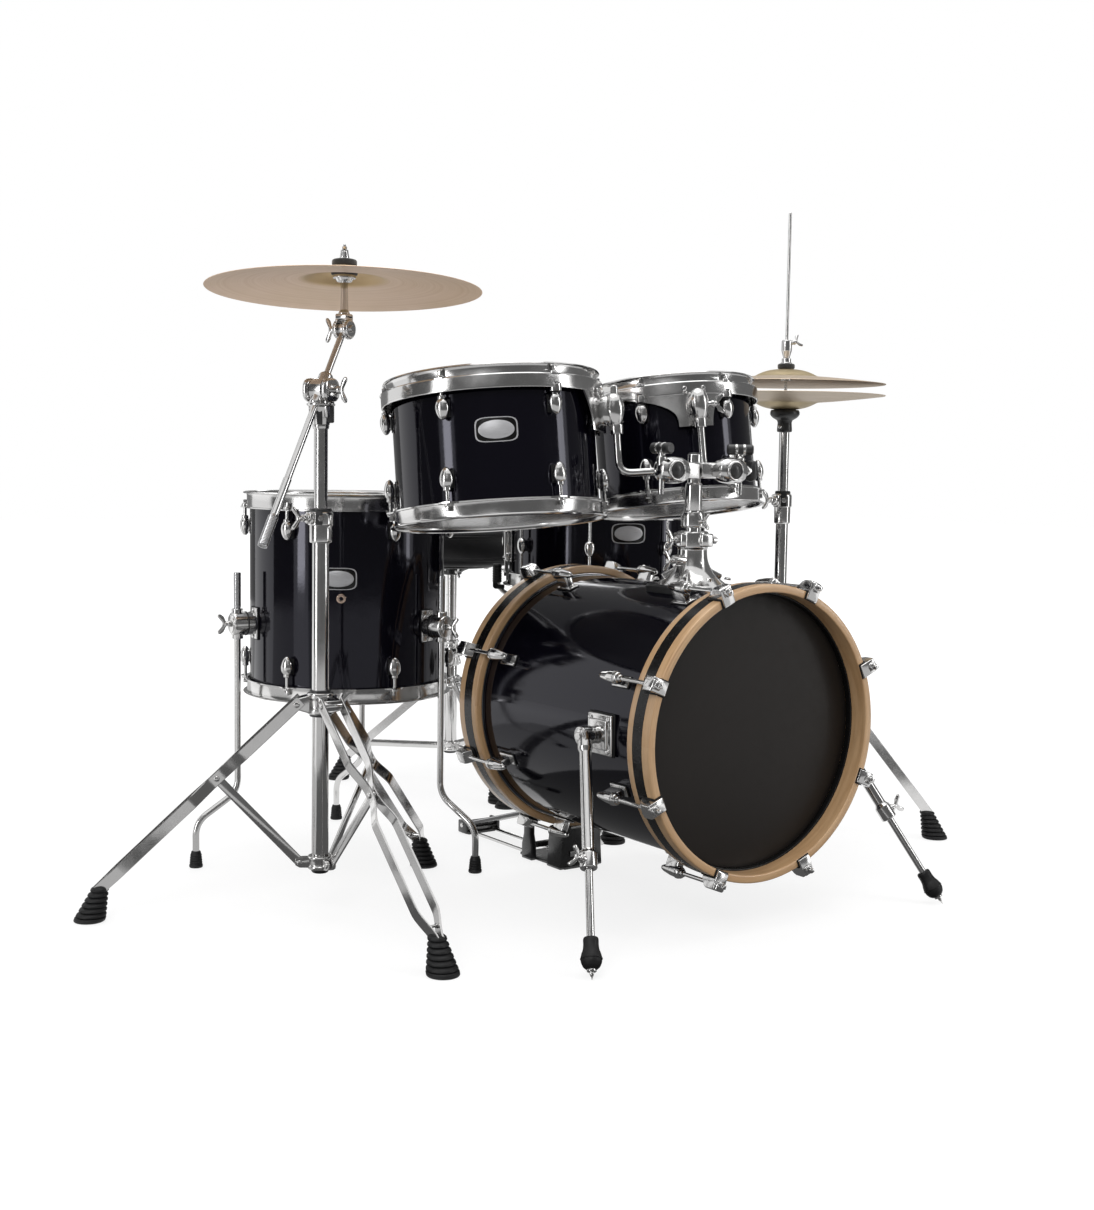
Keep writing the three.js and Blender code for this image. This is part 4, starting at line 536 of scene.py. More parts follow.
def vinyl_material():
    material, tree, shader = tree_of("black_vinyl")
    tree.links.new(
        mixed(tree, noise(tree, 12.0, 4.0), (0.006, 0.006, 0.0065), (0.012, 0.012, 0.013)),
        shader.inputs["Base Color"]
    )
    shader.inputs["Specular IOR Level"].default_value = 0.2
    cells = add(tree, "ShaderNodeTexVoronoi", Scale=520.0, feature="F1")
    tree.links.new(coords(tree), cells.inputs["Vector"])
    tree.links.new(spread(tree, noise(tree, 60.0, 4.0), 0.38, 0.52), shader.inputs["Roughness"])
    below = bump(tree, shader, noise(tree, 24.0, 3.0), 0.15, 0.002)
    bump(tree, shader, cells.outputs["Distance"], 0.35, 0.0006, below)
    return material


def brushed_material():
    material, tree, shader = tree_of("badge_silver")
    shader.inputs["Metallic"].default_value = 0.35
    streaks = noise(tree, 60.0, 4.0, 0.6, stretch=(1, 1, 30))
    tree.links.new(mixed(tree, streaks, (0.40, 0.40, 0.41), (0.58, 0.58, 0.60)), shader.inputs["Base Color"])
    tree.links.new(spread(tree, streaks, 0.26, 0.4), shader.inputs["Roughness"])
    bump(tree, shader, streaks, 0.08, 0.0002)
    return material


LACQUER = lacquer_material()
CHROME = metal_material("polished_chrome", (0.68, 0.675, 0.67), 0.11, 0.07)
STEEL = metal_material("bright_steel", (0.50, 0.50, 0.51), 0.18, 0.1)
MAPLE = wood_material()
INLAY = film_material(
    "black_inlay", (0.003, 0.003, 0.003), (0.006, 0.0055, 0.0055), 0.24, 0.0, 300.0, 0.05, 0.35
)
BLACK_FILM = film_material(
    "black_head_film", (0.0100, 0.0078, 0.0066), (0.0140, 0.0112, 0.0096), 0.40, level=0.22
)
WHITE_FILM = film_material("coated_head_film", (0.60, 0.60, 0.58), (0.72, 0.72, 0.70), 0.5, 0.0, 1500.0, 0.35)
CLEAR_FILM = film_material(
    "resonant_head_film", (0.34, 0.34, 0.33), (0.46, 0.46, 0.45), 0.2, 0.6, 200.0, 0.05
)
RUBBER = rubber_material()
PLASTIC = film_material("black_nylon", (0.010, 0.010, 0.011), (0.018, 0.018, 0.019), 0.36, 0.2, 500.0, 0.1)
BLACK_PAINT = film_material(
    "satin_black_paint", (0.010, 0.010, 0.011), (0.019, 0.019, 0.020), 0.3, 0.35, 420.0, 0.12
)
FELT = felt_material("black_felt", (0.006, 0.006, 0.006), (0.022, 0.022, 0.022))
GREY_FELT = felt_material("beater_felt", (0.20, 0.20, 0.19), (0.42, 0.41, 0.39))
VINYL = vinyl_material()
BADGE = brushed_material()
CRASH_METAL = cymbal_material(
    "crash_bronze", CRASH_CYMBAL[1], ((0.62, 0.44, 0.22), (0.93, 0.71, 0.55), (0.74, 0.53, 0.38))
)
HAT_METAL = cymbal_material(
    "hat_bronze", HAT_CYMBAL[1], ((0.42, 0.33, 0.17), (0.82, 0.68, 0.54), (0.62, 0.50, 0.37))
)
VENT = metal_material("vent_brass", (0.72, 0.55, 0.45), 0.2)
THREAD = film_material("black_thread", (0.03, 0.03, 0.031), (0.05, 0.05, 0.052), 0.7)


# Pieces
def piece(node, body, parts, matrix=None, crease=32):
    """Makes the looks of one CAD node from (form, material) parts, in their own frame, riding on a body."""
    name = node + "_form"
    verts, faces, owners, materials = [], [], [], []
    for (v, f), material in parts:
        if material not in materials:
            materials.append(material)
        n = len(verts)
        verts += [p * MM for p in v]
        faces += [tuple(i + n for i in face) for face in f]
        owners += [materials.index(material)] * len(f)
    mesh = bpy.data.meshes.new(name)
    mesh.from_pydata(verts, [], faces)
    for material in materials:
        mesh.materials.append(material)
    mesh.polygons.foreach_set("material_index", owners)
    mesh.update()
    bm = bmesh.new()
    bm.from_mesh(mesh)
    bmesh.ops.recalc_face_normals(bm, faces=bm.faces)
    bm.to_mesh(mesh)
    bm.free()
    mesh.shade_smooth()
    mesh.set_sharp_from_angle(angle=math.radians(crease))
    made = bpy.data.objects.new(name, mesh)
    bpy.context.scene.collection.objects.link(made)
    world = (matrix or Matrix.Identity(4)).copy()
    world.translation = (world.translation + ORIGIN) * MM
    made.matrix_world = world
    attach(made, body)
    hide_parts(node)
    return made


# Drums
# Lays an (x, y) outline out as (radius, z), with its thickness round the drum
UPRIGHT = turn(90, "X")
# The side that the photograph shows, as an angle about Z
SEEN_FROM = -125.5


def wrapped(form, radius, azimuth, height):
    """Bends a flat form (x across, y up, z outwards) onto a drum's wall."""
    verts, faces = form
    return [polar(radius + v.z, azimuth + math.degrees(v.x / radius), height + v.y) for v in verts], faces


def button(width, height, profile, power=2.0, count=40):
    """A raised plate: profile lists (share of the outline, height) from its middle out to its rim."""
    e = 2 / power
    verts, faces = [vec(0, 0, profile[0][1])], []
    for s, z in profile[1:]:
        for k in range(count):
            a = 2 * math.pi * k / count
            c, d = math.cos(a), math.sin(a)
            verts.append(
                vec(
                    math.copysign(abs(c) ** e, c) * width / 2 * s,
                    math.copysign(abs(d) ** e, d) * height / 2 * s, z
                )
            )
    for k in range(count):
        faces.append((0, 1 + k, 1 + (k + 1) % count))
    for ring in range(len(profile) - 2):
        a, b = 1 + ring * count, 1 + (ring + 1) * count
        faces += [(a + k, b + k, b + (k + 1) % count, a + (k + 1) % count) for k in range(count)]
    last = 1 + (len(profile) - 2) * count
    faces.append(tuple(last + k for k in reversed(range(count))))
    return verts, faces


def swept(outline_at, count=144):
    """A ring whose closed (r, z) outline may change on its way round."""
    rows = [outline_at(360 * i / count) for i in range(count)]
    m = len(rows[0])
    verts = [polar(r, 360 * i / count, z) for i, row in enumerate(rows) for r, z in row]
    faces = []
    for i in range(count):
        a, b = i * m, (i + 1) % count * m
        faces += [(a + k, b + k, b + (k + 1) % m, a + (k + 1) % m) for k in range(m)]
    return verts, faces


def panel(at, columns, rows, thickness):
    """A curved plate of even thickness: at(u, v) gives a point of its face and the outward normal."""
    front, back = [], []
    for j in range(rows + 1):
        for i in range(columns + 1):
            p, n = at(i / columns, j / rows)
            front.append(p + n * thickness / 2)
            back.append(p - n * thickness / 2)
    wide, size = columns + 1, len(front)
    faces = []
    for j in range(rows):
        for i in range(columns):
            a, b, c, d = j * wide + i, j * wide + i + 1, (j + 1) * wide + i + 1, (j + 1) * wide + i
            faces += [(a, b, c, d), (size + d, size + c, size + b, size + a)]
    rim = list(range(columns)) + [j * wide + columns for j in range(rows)]
    rim += [rows * wide + i for i in range(columns, 0, -1)] + [j * wide for j in range(rows, 0, -1)]
    faces += [(a, a + size, b + size, b) for a, b in zip(rim, rim[1:] + rim[:1])]
    return front + back, faces


def drum_shell(radius, depth, wall):
    """The lacquered outside and the maple inside, each a closed ring."""
    top, skin = depth / 2, wall / 2
    outside = turned(
        [
            (radius - skin, -top), (radius - 0.8, -top), (radius, 0.8 - top), (radius, top - 0.8),
            (radius - 0.8, top), (radius - skin, top)
        ],
        FINE
    )
    inside = turned(
        [
            (radius - wall, skin - top), (radius - skin, -top), (radius - skin, top),
            (radius - wall, top - skin)
        ],
        FINE
    )
    return [(outside, LACQUER), (inside, MAPLE)]


def badge(radius, azimuth, height):
    """A bare badge: a thin silver line round a black field with a plain silver oval."""
    width, tall = 62, 36
    line = button(
        width, tall, [(0, 0.4), (0.93, 0.4), (0.935, 1.0), (0.985, 1.0), (1.0, 0.6), (1.0, -0.4)], 4.5, 56
    )
    field = button(width * 0.93, tall * 0.92, [(0, 0.75), (0.97, 0.75), (1.0, 0.5)], 4.5, 56)
    oval = button(width * 0.84, tall * 0.76, [(0, 1.5), (0.55, 1.48), (0.9, 1.3), (1.0, 0.5)], 2.0, 56)
    inner = button(width * 0.60, tall * 0.50, [(0, 1.85), (0.8, 1.8), (1.0, 1.35)], 2.0, 48)
    at = (radius, azimuth, height)
    return [
        (wrapped(line, *at), BADGE), (wrapped(field, *at), INLAY), (wrapped(oval, *at), BADGE),
        (wrapped(inner, *at), BADGE)
    ]


def vent(radius, azimuth, height):
    eyelet = turned(rounded([(3.4, -2), (3.4, 1.4), (7.2, 1.4), (8.0, 0.2), (8.0, -2)], 0.6), 32)
    return [(wrapped(eyelet, radius, azimuth, height), VENT)]


HOOP = {"gap": 3, "rise": 8, "thickness": 2.1, "ear": 13.5, "flange": 6.0, "ear_arc": 10}
LUG = {"setback": 52, "reach": 9.5, "wide": 10.5, "deep": 8.6, "half": 16, "rod": 2.8}


def smooth(t):
    t = min(1.0, max(0.0, t))
    return t * t * (3 - 2 * t)


def flanged_hoop(radius, depth, height, azimuths):
    """A triple-flanged steel hoop with an ear at each rod."""
    inner, top = radius + HOOP["gap"], depth / 2 + HOOP["rise"]
    low = top - height

    def at(angle):
        near = min(abs((angle - a + 180) % 360 - 180) for a in azimuths)
        share = smooth(1.6 - math.radians(near) * inner / HOOP["ear_arc"])
        ear = HOOP["flange"] + (HOOP["ear"] - HOOP["flange"]) * share
        line = [
            (inner + ear, low + 1.4 - 0.5 * share), (inner + ear - 1.5, low + 1.1), (inner + 3.6, low + 1.1),
            (inner + 1.9, low + 2.2), (inner + 1.2, low + 4.2), (inner + 1.1, low + height * 0.5),
            (inner + 1.1, top - 7), (inner + 1.5, top - 4.2), (inner + 2.9, top - 1.9),
            (inner + 5.2, top - 1.05), (inner + 7.0, top - 1.5), (inner + 7.7, top - 2.8),
        ]
        return ribbon(line, HOOP["thickness"])

    return swept(at, 180)


def egg(deep, wide, half, count=28):
    """A lug's casting: an egg that is fullest above its middle, flattened a little from front to back."""
    line = [(0, -half)] + [
        (
            math.sin(math.radians(a)) * (1 - 0.16 * math.cos(math.radians(a))),
            -half * math.cos(math.radians(a))
        )
        for a in range(12, 170, 12)
    ] + [(0.25, half * 0.985), (0, half)]
    verts, faces = turned(line, count)
    return [vec(v.x * deep, v.y * wide, v.z) for v in verts], faces


def mirrored(parts):
    """Parts of a drum's upper edge, turned over for its lower one."""
    mirror = Matrix.Scale(-1, 4, (0, 0, 1))
    return [(place(form, mirror), material) for form, material in parts]


def lug_parts(radius, rod_top, lug_z, ear_z):
    """A bullet lug on the wall with its key rod, in the half plane of +X; the rod points up."""
    reach, h = radius + LUG["reach"], LUG["half"]
    bullet = egg(LUG["deep"], LUG["wide"], h)
    collar = solid_turn([(0, h - 4), (5.6, h - 4), (5.6, h + 1.6), (4.4, h + 2.6), (0, h + 2.6)], 0.5, 20)
    foot = place(brick(LUG["reach"] + 1, 12, 20, 2.2, 3), shift(radius + LUG["reach"] / 2, 0, 1))
    gasket = place(brick(1.4, 16, 26, 0.5), shift(radius + 0.6, 0, 1))
    chrome = [
        place(merge(bullet, collar), shift(reach, 0, lug_z)), place(foot, shift(0, 0, lug_z)),
        key_rod(radius, rod_top, lug_z + h, ear_z)
    ]
    return merge(*chrome), place(gasket, shift(0, 0, lug_z))


def key_rod(radius, rod_top, low, ear_z):
    """A tension rod from its lug up to the ear, with washer, flange and square head."""
    reach = radius + LUG["reach"]
    shaft = rod(vec(reach, 0, low), vec(reach, 0, ear_z + 2), LUG["rod"], 0.4, 12)
    washer = disc(6.4, 0, 1.5, 0.4, 20)
    flange = solid_turn([(0, 1.5), (5.8, 1.5), (5.8, 3.4), (4.4, 4.4), (0, 4.4)], 0.4, 20)
    key = place(brick(6.4, 6.4, rod_top - ear_z - 3.8, 0.8), shift(0, 0, (rod_top - ear_z + 3.8) / 2))
    return merge(shaft, place(merge(washer, flange, key), shift(reach, 0, ear_z)))


def hoop_parts(radius, depth, height, azimuths, flip=False, band=0, lugs=True):
    """A hoop with its lugs and rods, and below it a smooth band if that has a height; flip turns all over."""
    height -= band
    low = depth / 2 + HOOP["rise"] - height
    chrome, black = [flanged_hoop(radius, depth, height, azimuths)], []
    if band:
        top, wide = low + 2.6, radius + 15.2
        chrome.append(
            closed_ring(
                [
                    (wide - 2.2, top - band - 4), (wide - 0.4, top - band - 4), (wide, top - band - 2),
                    (wide, top - 2), (wide - 1.2, top), (wide - 3.4, top), (wide - 2.2, top - 3),
                    (wide - 2.2, top - band - 3.9)
                ],
                0.8, FINE
            )
        )
    if lugs:
        metal, gasket = lug_parts(radius, low + 13.5, depth / 2 - LUG["setback"], low + 2.2)
    else:
        metal, gasket = key_rod(radius, low + 13.5, 9, low + 2.2), None
    for a in azimuths:
        chrome.append(place(metal, turn(a)))
        black += [place(gasket, turn(a))] if gasket else []
    parts = [(merge(*chrome), CHROME)] + ([(merge(*black), RUBBER)] if black else [])
    return mirrored(parts) if flip else parts


def head_parts(radius, edge, ring, film, flip=False):
    """A head: the film drawn over the edge, its collar, and the metal ring that holds it."""
    top = edge + 1.5
    skin = turned(
        [
            (0, top), (radius * 0.5, top), (radius - 9, top), (radius - 3.5, top - 0.05),
            (radius - 0.6, top - 0.5), (radius + 1.0, top - 2.0), (radius + 1.5, top - 5),
            (radius + 0.9, top - 5), (radius + 0.3, edge - 1.2), (radius - 1.0, edge + 0.3),
            (radius * 0.5, edge + 0.4), (0, edge + 0.4)
        ],
        FINE
    )
    hold = turned(
        rounded(
            [(radius + 0.6, edge - 8.5), (ring, edge - 8.5), (ring, edge - 2.5), (radius + 1.2, edge - 2.5)],
            0.8
        ),
        FINE
    )
    parts = [(skin, film), (hold, STEEL)]
    return mirrored(parts) if flip else parts


def lugs_at(count, start):
    return [start + 360 / count * i for i in range(count)]


# Bass drum
BASS = {
    "radius": 203, "depth": 406, "wall": 7, "axis": 291, "inner": 206, "outer": 218, "face": 243, "hoop": 50,
    "lug": 143, "rod": 227
}
BASS_LUGS = lugs_at(8, 22.5)
FRONT = shift(0, 0, BASS["axis"]) @ turn(90, "X")
BACK = shift(0, 0, BASS["axis"]) @ turn(-90, "X")


def bass_hoop_parts():
    """A maple hoop with its black stripe, and eight claws with their rods and bullet lugs."""
    inner, outer, face, back = BASS["inner"], BASS["outer"], BASS["face"], BASS["face"] - BASS["hoop"]
    mid = (face + back) / 2
    radius, lug_z, rod_r = BASS["radius"], BASS["lug"], BASS["rod"]
    wood = closed_ring(
        [(inner, mid), (inner, back), (outer, back), (outer, face), (inner, face), (inner, mid + 0.1)], 2.6,
        FINE, 4
    )
    stripe = turned(
        [(outer - 0.6, mid - 12), (outer + 0.25, mid - 12), (outer + 0.25, mid + 9), (outer - 0.6, mid + 9)],
        FINE
    )
    claw_line = [
        (206.4, 246.8), (206.4, 244.4), (219.2, 244.2), (219.2, 219), (222.5, 218), (233, 226.5),
        (235.5, 231), (235.5, 246), (233.5, 248.4), (209, 248.2)
    ]
    claw = place(slab(claw_line, 21, 2.0, 3), UPRIGHT)
    ridge = place(
        slab([(221, 248), (221, 250.2), (234.5, 249.6), (235.6, 247), (235.6, 229), (233, 226)], 13, 1.6, 3),
        UPRIGHT
    )
    gasket = merge(
        place(brick(13.4, 24.5, 1.3, 0.5), shift(212.4, 0, 243.8)),
        place(brick(1.3, 24.5, 28, 0.5), shift(218.8, 0, 230.2))
    )
    rod_line = rod(vec(rod_r, 0, lug_z + 18), vec(rod_r, 0, 252), 3.1, 0.5, 16)
    washer = place(
        solid_turn([(0, 0), (6.6, 0), (6.6, 1.8), (5, 3.4), (0, 3.4)], 0.5, 24), shift(rod_r, 0, 249.4)
    )
    key = place(brick(6.4, 6.4, 7, 0.9), shift(rod_r, 0, 255.2))
    bullet = turned(
        rounded(
            [(0, -24), (3.0, -23), (5.4, -17), (8.2, 0), (9.0, 14), (9.0, 19), (7.6, 21.5), (0, 21.5)], 2.0, 4
        ),
        32
    )
    nut = solid_turn([(0, 20.5), (5.6, 20.5), (5.6, 25), (4.4, 26.4), (0, 26.4)], 0.6, 24)
    band = disc(9.7, 12.2, 15.4, 0.6, 32)
    foot = place(brick(24, 12.5, 28, 3.0, 3), shift(radius + 11, 0, lug_z + 1))
    base = place(brick(3.2, 17, 36, 1.3, 3), shift(radius + 1.9, 0, lug_z))
    seat = place(brick(1.6, 18.6, 38, 0.6), shift(radius + 0.7, 0, lug_z))
    metal = merge(
        claw, ridge, rod_line, washer, key, foot, base,
        place(merge(bullet, nut, band), shift(rod_r, 0, lug_z))
    )
    chrome = [place(metal, turn(a)) for a in BASS_LUGS]
    black = [place(merge(gasket, seat), turn(a)) for a in BASS_LUGS]
    return [(wood, MAPLE), (stripe, INLAY), (merge(*chrome), CHROME), (merge(*black), RUBBER)]


def spur_plate(side):
    """The chrome plate, boss and screws that carry a spur."""
    x = side * BASS["radius"]
    y, z = SPUR["y"], SPUR["z"]
    out = vec(side, 0, 0)
    plate = place(brick(6, 56, 60, 2.4, 3), shift(x + side * 4.4, y, z))
    pad = place(brick(2.4, 59, 63, 0.9), shift(x + side * 1.0, y, z))
    step = place(brick(5, 40, 44, 2.2, 3), shift(x + side * 8.4, y, z))
    boss = aimed(
        solid_turn([(0, 0), (14, 0), (14, 9), (12.4, 17), (12.4, 22.8), (0, 22.8)], 0.8, 36), vec(x, y, z),
        vec(x, y, z) + out
    )
    heads = [
        screw_head(vec(x + side * 7.2, y + dy, z + dz), out, 4.2, 2.6) for dy in (-21, 21) for dz in (-23, 23)
    ]
    return [(merge(plate, step, boss, *heads), CHROME), (pad, RUBBER)]


SPUR = {"x": 235.5, "y": -120, "z": 292, "tip_x": 343, "tip_y": -288, "sleeve": 200, "inside": 110}


def spur(side, name):
    pivot = vec(side * SPUR["x"], SPUR["y"], SPUR["z"])
    tip = vec(side * SPUR["tip_x"], SPUR["tip_y"], 0)
    length = (tip - pivot).length
    axis = (tip - pivot).normalized()
    at = lambda d: pivot + axis * d
    cheek = aimed(disc(14, 0, 18, 1.6, 40), pivot - vec(side * 9, 0, 0), pivot + vec(side * 9, 0, 0))
    bolt = hexagon(pivot + vec(side * 9, 0, 0), pivot + vec(side * 13.5, 0, 0), 11)
    ring = aimed(disc(10.5, 0, 1.6, 0.5, 32), pivot + vec(side * 8.8, 0, 0), pivot + vec(side * 12, 0, 0))
    s = SPUR["sleeve"]
    sleeve = [
        (10, 0), (10.8, 3), (10.8, 20), (8.6, 26), (8.6, s - 28), (9.4, s - 26), (12.2, s - 22),
        (12.2, s - 2), (11, s), (6.2, s), (6.2, s - 60), (0, s - 60)
    ]
    pipe = aimed(turned(rounded([(0, 0)] + sleeve, 0.8), 40), pivot, tip)
    clamp_at = at(s - 12)
    out = (vec(side, -0.25, 0.1) - axis * vec(side, -0.25, 0.1).dot(axis)).normalized()
    screw = wing(clamp_at + out * 8, clamp_at + out * 13.5, 30, 22, 4.2, 4)
    lug = aimed(disc(6.4, 0, 15, 1.0, 24), clamp_at, clamp_at + out * 15)
    piece(
        name + "_sleeve", name + "_sleeve", [(merge(cheek, bolt, ring, pipe, screw, lug), CHROME)],
    )
    shaft = rod(at(s - SPUR["inside"]), at(length - 14), 5.5, 0.5, 28)
    boot_low, boot_high = length - 14, length - 54
    shape = [
        (0, 0), (7, 0), (11.6, 4), (14.2, 10), (14.6, 16), (13.2, 22), (11.2, 27), (10.4, 34), (10.6, 41),
        (9.6, 44), (0, 44)
    ]
    seam = [(14.2, 13.6), (15.2, 14.2), (15.2, 15.4), (14.2, 16)]
    boot = aimed(
        merge(turned(rounded(shape, 2.0, 4), 44), turned(seam, 44, loop=True)), at(boot_high + 40),
        at(boot_high)
    )
    spike = aimed(
        turned(rounded([(0, 0), (3.0, 0), (3.0, 4), (2.8, 6), (0.25, 14), (0, 14.2)], 0.3), 24),
        at(boot_low - 0.2), tip
    )
    nut = aimed(disc(6.5, 0, 3, 0.5, 28), at(boot_low - 0.4), tip)
    piece(name + "_rod", name + "_rod", [(merge(shaft, spike, nut), CHROME), (boot, RUBBER)])


def bass_drum():
    shell_parts = [
        (place(form, FRONT), m) for form, m in drum_shell(BASS["radius"], BASS["depth"], BASS["wall"])
    ]
    parts = shell_parts + tom_mount_parts() + spur_plate(-1) + spur_plate(1)
    # The shell's own axis lies along Y, so that its grain runs round it
    back = FRONT.inverted()
    piece("bass_drum_shell", "kit_base", [(place(form, back), m) for form, m in parts], FRONT)
    piece("bass_drum_front_hoop", "kit_base", bass_hoop_parts(), FRONT)
    piece("bass_drum_rear_hoop", "kit_base", bass_hoop_parts(), BACK)
    edge = BASS["depth"] / 2
    collar = closed_ring(
        [(202.8, edge + 1), (205.6, edge + 1), (205.6, edge + 11), (203.6, edge + 11), (202.8, edge + 9)],
        0.6, FINE
    )
    front_head = head_parts(BASS["radius"], edge, BASS["inner"] - 0.4, BLACK_FILM) + [(collar, INLAY)]
    piece("bass_drum_front_head", "kit_base", front_head, FRONT)
    batter_head = head_parts(BASS["radius"], edge, BASS["inner"] - 0.4, CLEAR_FILM)
    piece("bass_drum_batter_head", "kit_base", batter_head, BACK)
    for side, name in ((-1, "left_spur"), (1, "right_spur")):
        spur(side, name)


# Tom mount and hung toms
MOUNT = {
    "y": -70, "top": 494, "neck": 578, "post": 10.5, "post_low": 430, "post_top": 692, "ball_x": 57,
    "ball_y": -27, "ball_z": 670
}


def tom_mount_parts():
    """The cast seat on the bass drum: a wide foot, a neck, a split clamp, its bolts and wing screws."""
    y, top, neck, bore = MOUNT["y"], MOUNT["top"], MOUNT["neck"], MOUNT["post"] + 0.4
    foot = place(puff(58, 50, 9, 3.2, 0.12, 40), shift(0, y, top - 1))
    gasket = place(puff(60.5, 52.5, 9, 5.0, 0.0, 36), shift(0, y, top - 4))
    flare = [(22.6 + 33.4 * (1 - t) ** 2.4, top + 2 + 52 * t) for t in [k / 12 for k in range(13)]]
    body = turned(
        rounded(
            [(bore, top - 6), (56, top - 6)] + flare + [
                (22.6, neck - 27), (24, neck - 24), (24, neck - 2), (22, neck), (bore, neck)
            ],
            2.4, 3
        ),
        72, loop=True
    )
    body = place(body, shift(0, y, 0))
    ear = place(brick(16, 22, 22, 3, 3), shift(-22, y, neck - 13))
    split = wing(vec(-18, y, neck - 13), vec(-31, y, neck - 13), 34, 22, 4.8, 4.6)
    lower_boss = aimed(disc(8.5, 0, 24, 1.2, 28), vec(-16, y - 4, neck - 44), vec(-40, y - 4, neck - 44))
    second = wing(vec(-30, y - 4, neck - 44), vec(-40, y - 4, neck - 44), 32, 20, 4.4, 4.4)
    front_ear = place(brick(22, 16, 20, 2.6, 3), shift(5, y - 23, neck - 13))
    bolt = aimed(disc(4.2, 0, 34, 0.5, 20), vec(-8, y - 25, neck - 13), vec(26, y - 25, neck - 13))
    nut = hexagon(vec(16.5, y - 25, neck - 13), vec(23.5, y - 25, neck - 13), 11)
    heads = [
        screw_head(vec(dx, y + dy, top + 10.5), vec(dx * 0.004, 0, 1), 5.2, 4) for dx in (-46, 46)
        for dy in (-30, 30)
    ]
    heads += [hexagon(vec(0, y + dy, top + 8), vec(0, y + dy, top + 15), 9) for dy in (-41, 41)]
    ribs = [
        place(brick(30, 6, 16, 2, 3), shift(0, y, top + 18) @ turn(a) @ shift(30, 0, 0) @ turn(28, "Y"))
        for a in (35, 145, 215, 325)
    ]
    # the stop collar stays on the seat, so that the post's sleeve can slide down into it
    stop = place(
        closed_ring([(13.8, 583), (17, 583), (18.5, 586), (18.5, 602), (17, 607), (13.8, 607)], 1.0, 40),
        shift(0, y, 0)
    )
    stop_screw = wing(vec(0, y - 16, 594), vec(0, y - 19, 594), 26, 18, 4, 4)
    parts = [foot, body, ear, split, lower_boss, second, front_ear, bolt, nut, stop, stop_screw]
    return [(merge(*parts, *heads, *ribs), CHROME), (gasket, RUBBER)]


def tom_post():
    y, post = MOUNT["y"], MOUNT["post"]
    ball_x, ball_y, ball_z = MOUNT["ball_x"], MOUNT["ball_y"], MOUNT["ball_z"]
    tube_form = place(disc(post, MOUNT["post_low"], MOUNT["post_top"] + 2, 1.0, 48), shift(0, y, 0))
    cap = place(
        solid_turn([(0, 0), (post - 1, 0), (post - 1.5, 3), (0, 4)], 0.8, 40),
        shift(0, y, MOUNT["post_top"] + 1)
    )
    sleeve = place(
        turned(rounded([(post, 609), (13.4, 609), (13.4, 648), (12, 651), (post, 651)], 1.2), 40),
        shift(0, y, 0)
    )
    chrome, black = [tube_form, sleeve], [cap]
    for side in (-1, 1):
        # The housings reach past the balls, towards -X as the photograph shows them
        x, by, z = side * ball_x - 9, y + ball_y, ball_z
        window_x = x - 8
        block = place(puff(28, 21.5, 20, 2.5, 0, 40), shift(x, by, z))
        split = place(puff(28.4, 21.9, 1.0, 2.5, 0, 40), shift(x, by, z))
        window = aimed(
            closed_ring([(12, 0), (15.6, 0), (15.6, 3.4), (14.4, 5.0), (12.8, 5.0), (12, 3.6)], 1.0, 48),
            vec(window_x, by - 19.5, z), vec(window_x, by - 27, z)
        )
        well = aimed(disc(13, 0, 3.2, 0.3, 40), vec(window_x, by - 19.5, z), vec(window_x, by - 27, z))
        eye = aimed(
            turned(
                [(0, 0)] + [
                    (11.2 * math.cos(math.radians(t)), 5.6 * math.sin(math.radians(t)))
                    for t in range(0, 90, 15)
                ] + [(0, 5.6)],
                40
            ),
            vec(window_x, by - 21, z), vec(window_x, by - 27, z)
        )
        bridge = place(brick(46, 26, 24, 3.0, 3), shift(window_x * 0.44, y + ball_y * 0.5, z))
        post_at = shift(x + side * 20, by, z)
        spindle = place(
            solid_turn([(0, 0), (7.5, 0), (7.5, 19), (5, 22), (5, 27), (0, 27)], 0.8, 32), post_at
        )
        across = SEEN_FROM + 38 if side < 0 else SEEN_FROM + 90
        handle_at = vec(x + side * 20, by, z + 32)
        stud = rod(vec(x + side * 20, by, z - 36), vec(x + side * 20, by, z), 4.2, 0.6, 20)
        handle = rod(handle_at - polar(20, across), handle_at + polar(20, across), 8.2, 2.0, 32)
        bands = [
            rod(handle_at + polar(d - 2, across), handle_at + polar(d + 2, across), 8.7, 0.4, 32)
            for d in (-6, 6)
        ]
        chrome += [block, window, bridge, spindle, stud, *bands]
        black += [well, eye, handle, split]
    knob_at = vec(ball_x + 22, y + ball_y, ball_z)
    knob = aimed(disc(8, 0, 8, 0.8, 32), knob_at, knob_at + vec(1, 0, 0))
    grip = place(puff(17, 11, 7, 3.0, 0.1, 24), shift(knob_at.x + 13, knob_at.y, knob_at.z) @ turn(90, "Y"))
    left_at = vec(-ball_x - 22, y + ball_y, ball_z)
    left_bolt = hexagon(left_at, left_at - vec(7, 0, 0), 12)
    piece(
        "tom_mount_post", "tom_post",
        [(merge(*chrome, knob, left_bolt), CHROME), (merge(*black, grip), PLASTIC)]
    )


TOMS = {
    "large_tom": {
        "radius": 152.4, "depth": 203, "side": -1, "elbow": (-71, 47), "tilt": 7.5, "rise": 49,
        "azimuth": -52, "middle": -60, "badge": -122.5, "arm": "left_tom_arm"
    },
    "small_tom": {
        "radius": 127, "depth": 190, "side": 1, "elbow": (-17, 49), "tilt": 9, "rise": 65, "azimuth": -115,
        "middle": -120, "badge": -20, "arm": "right_tom_arm"
    },
}
CLAMP = {"setout": 38, "z": 45, "arm": 5.6, "arm_top": 128}


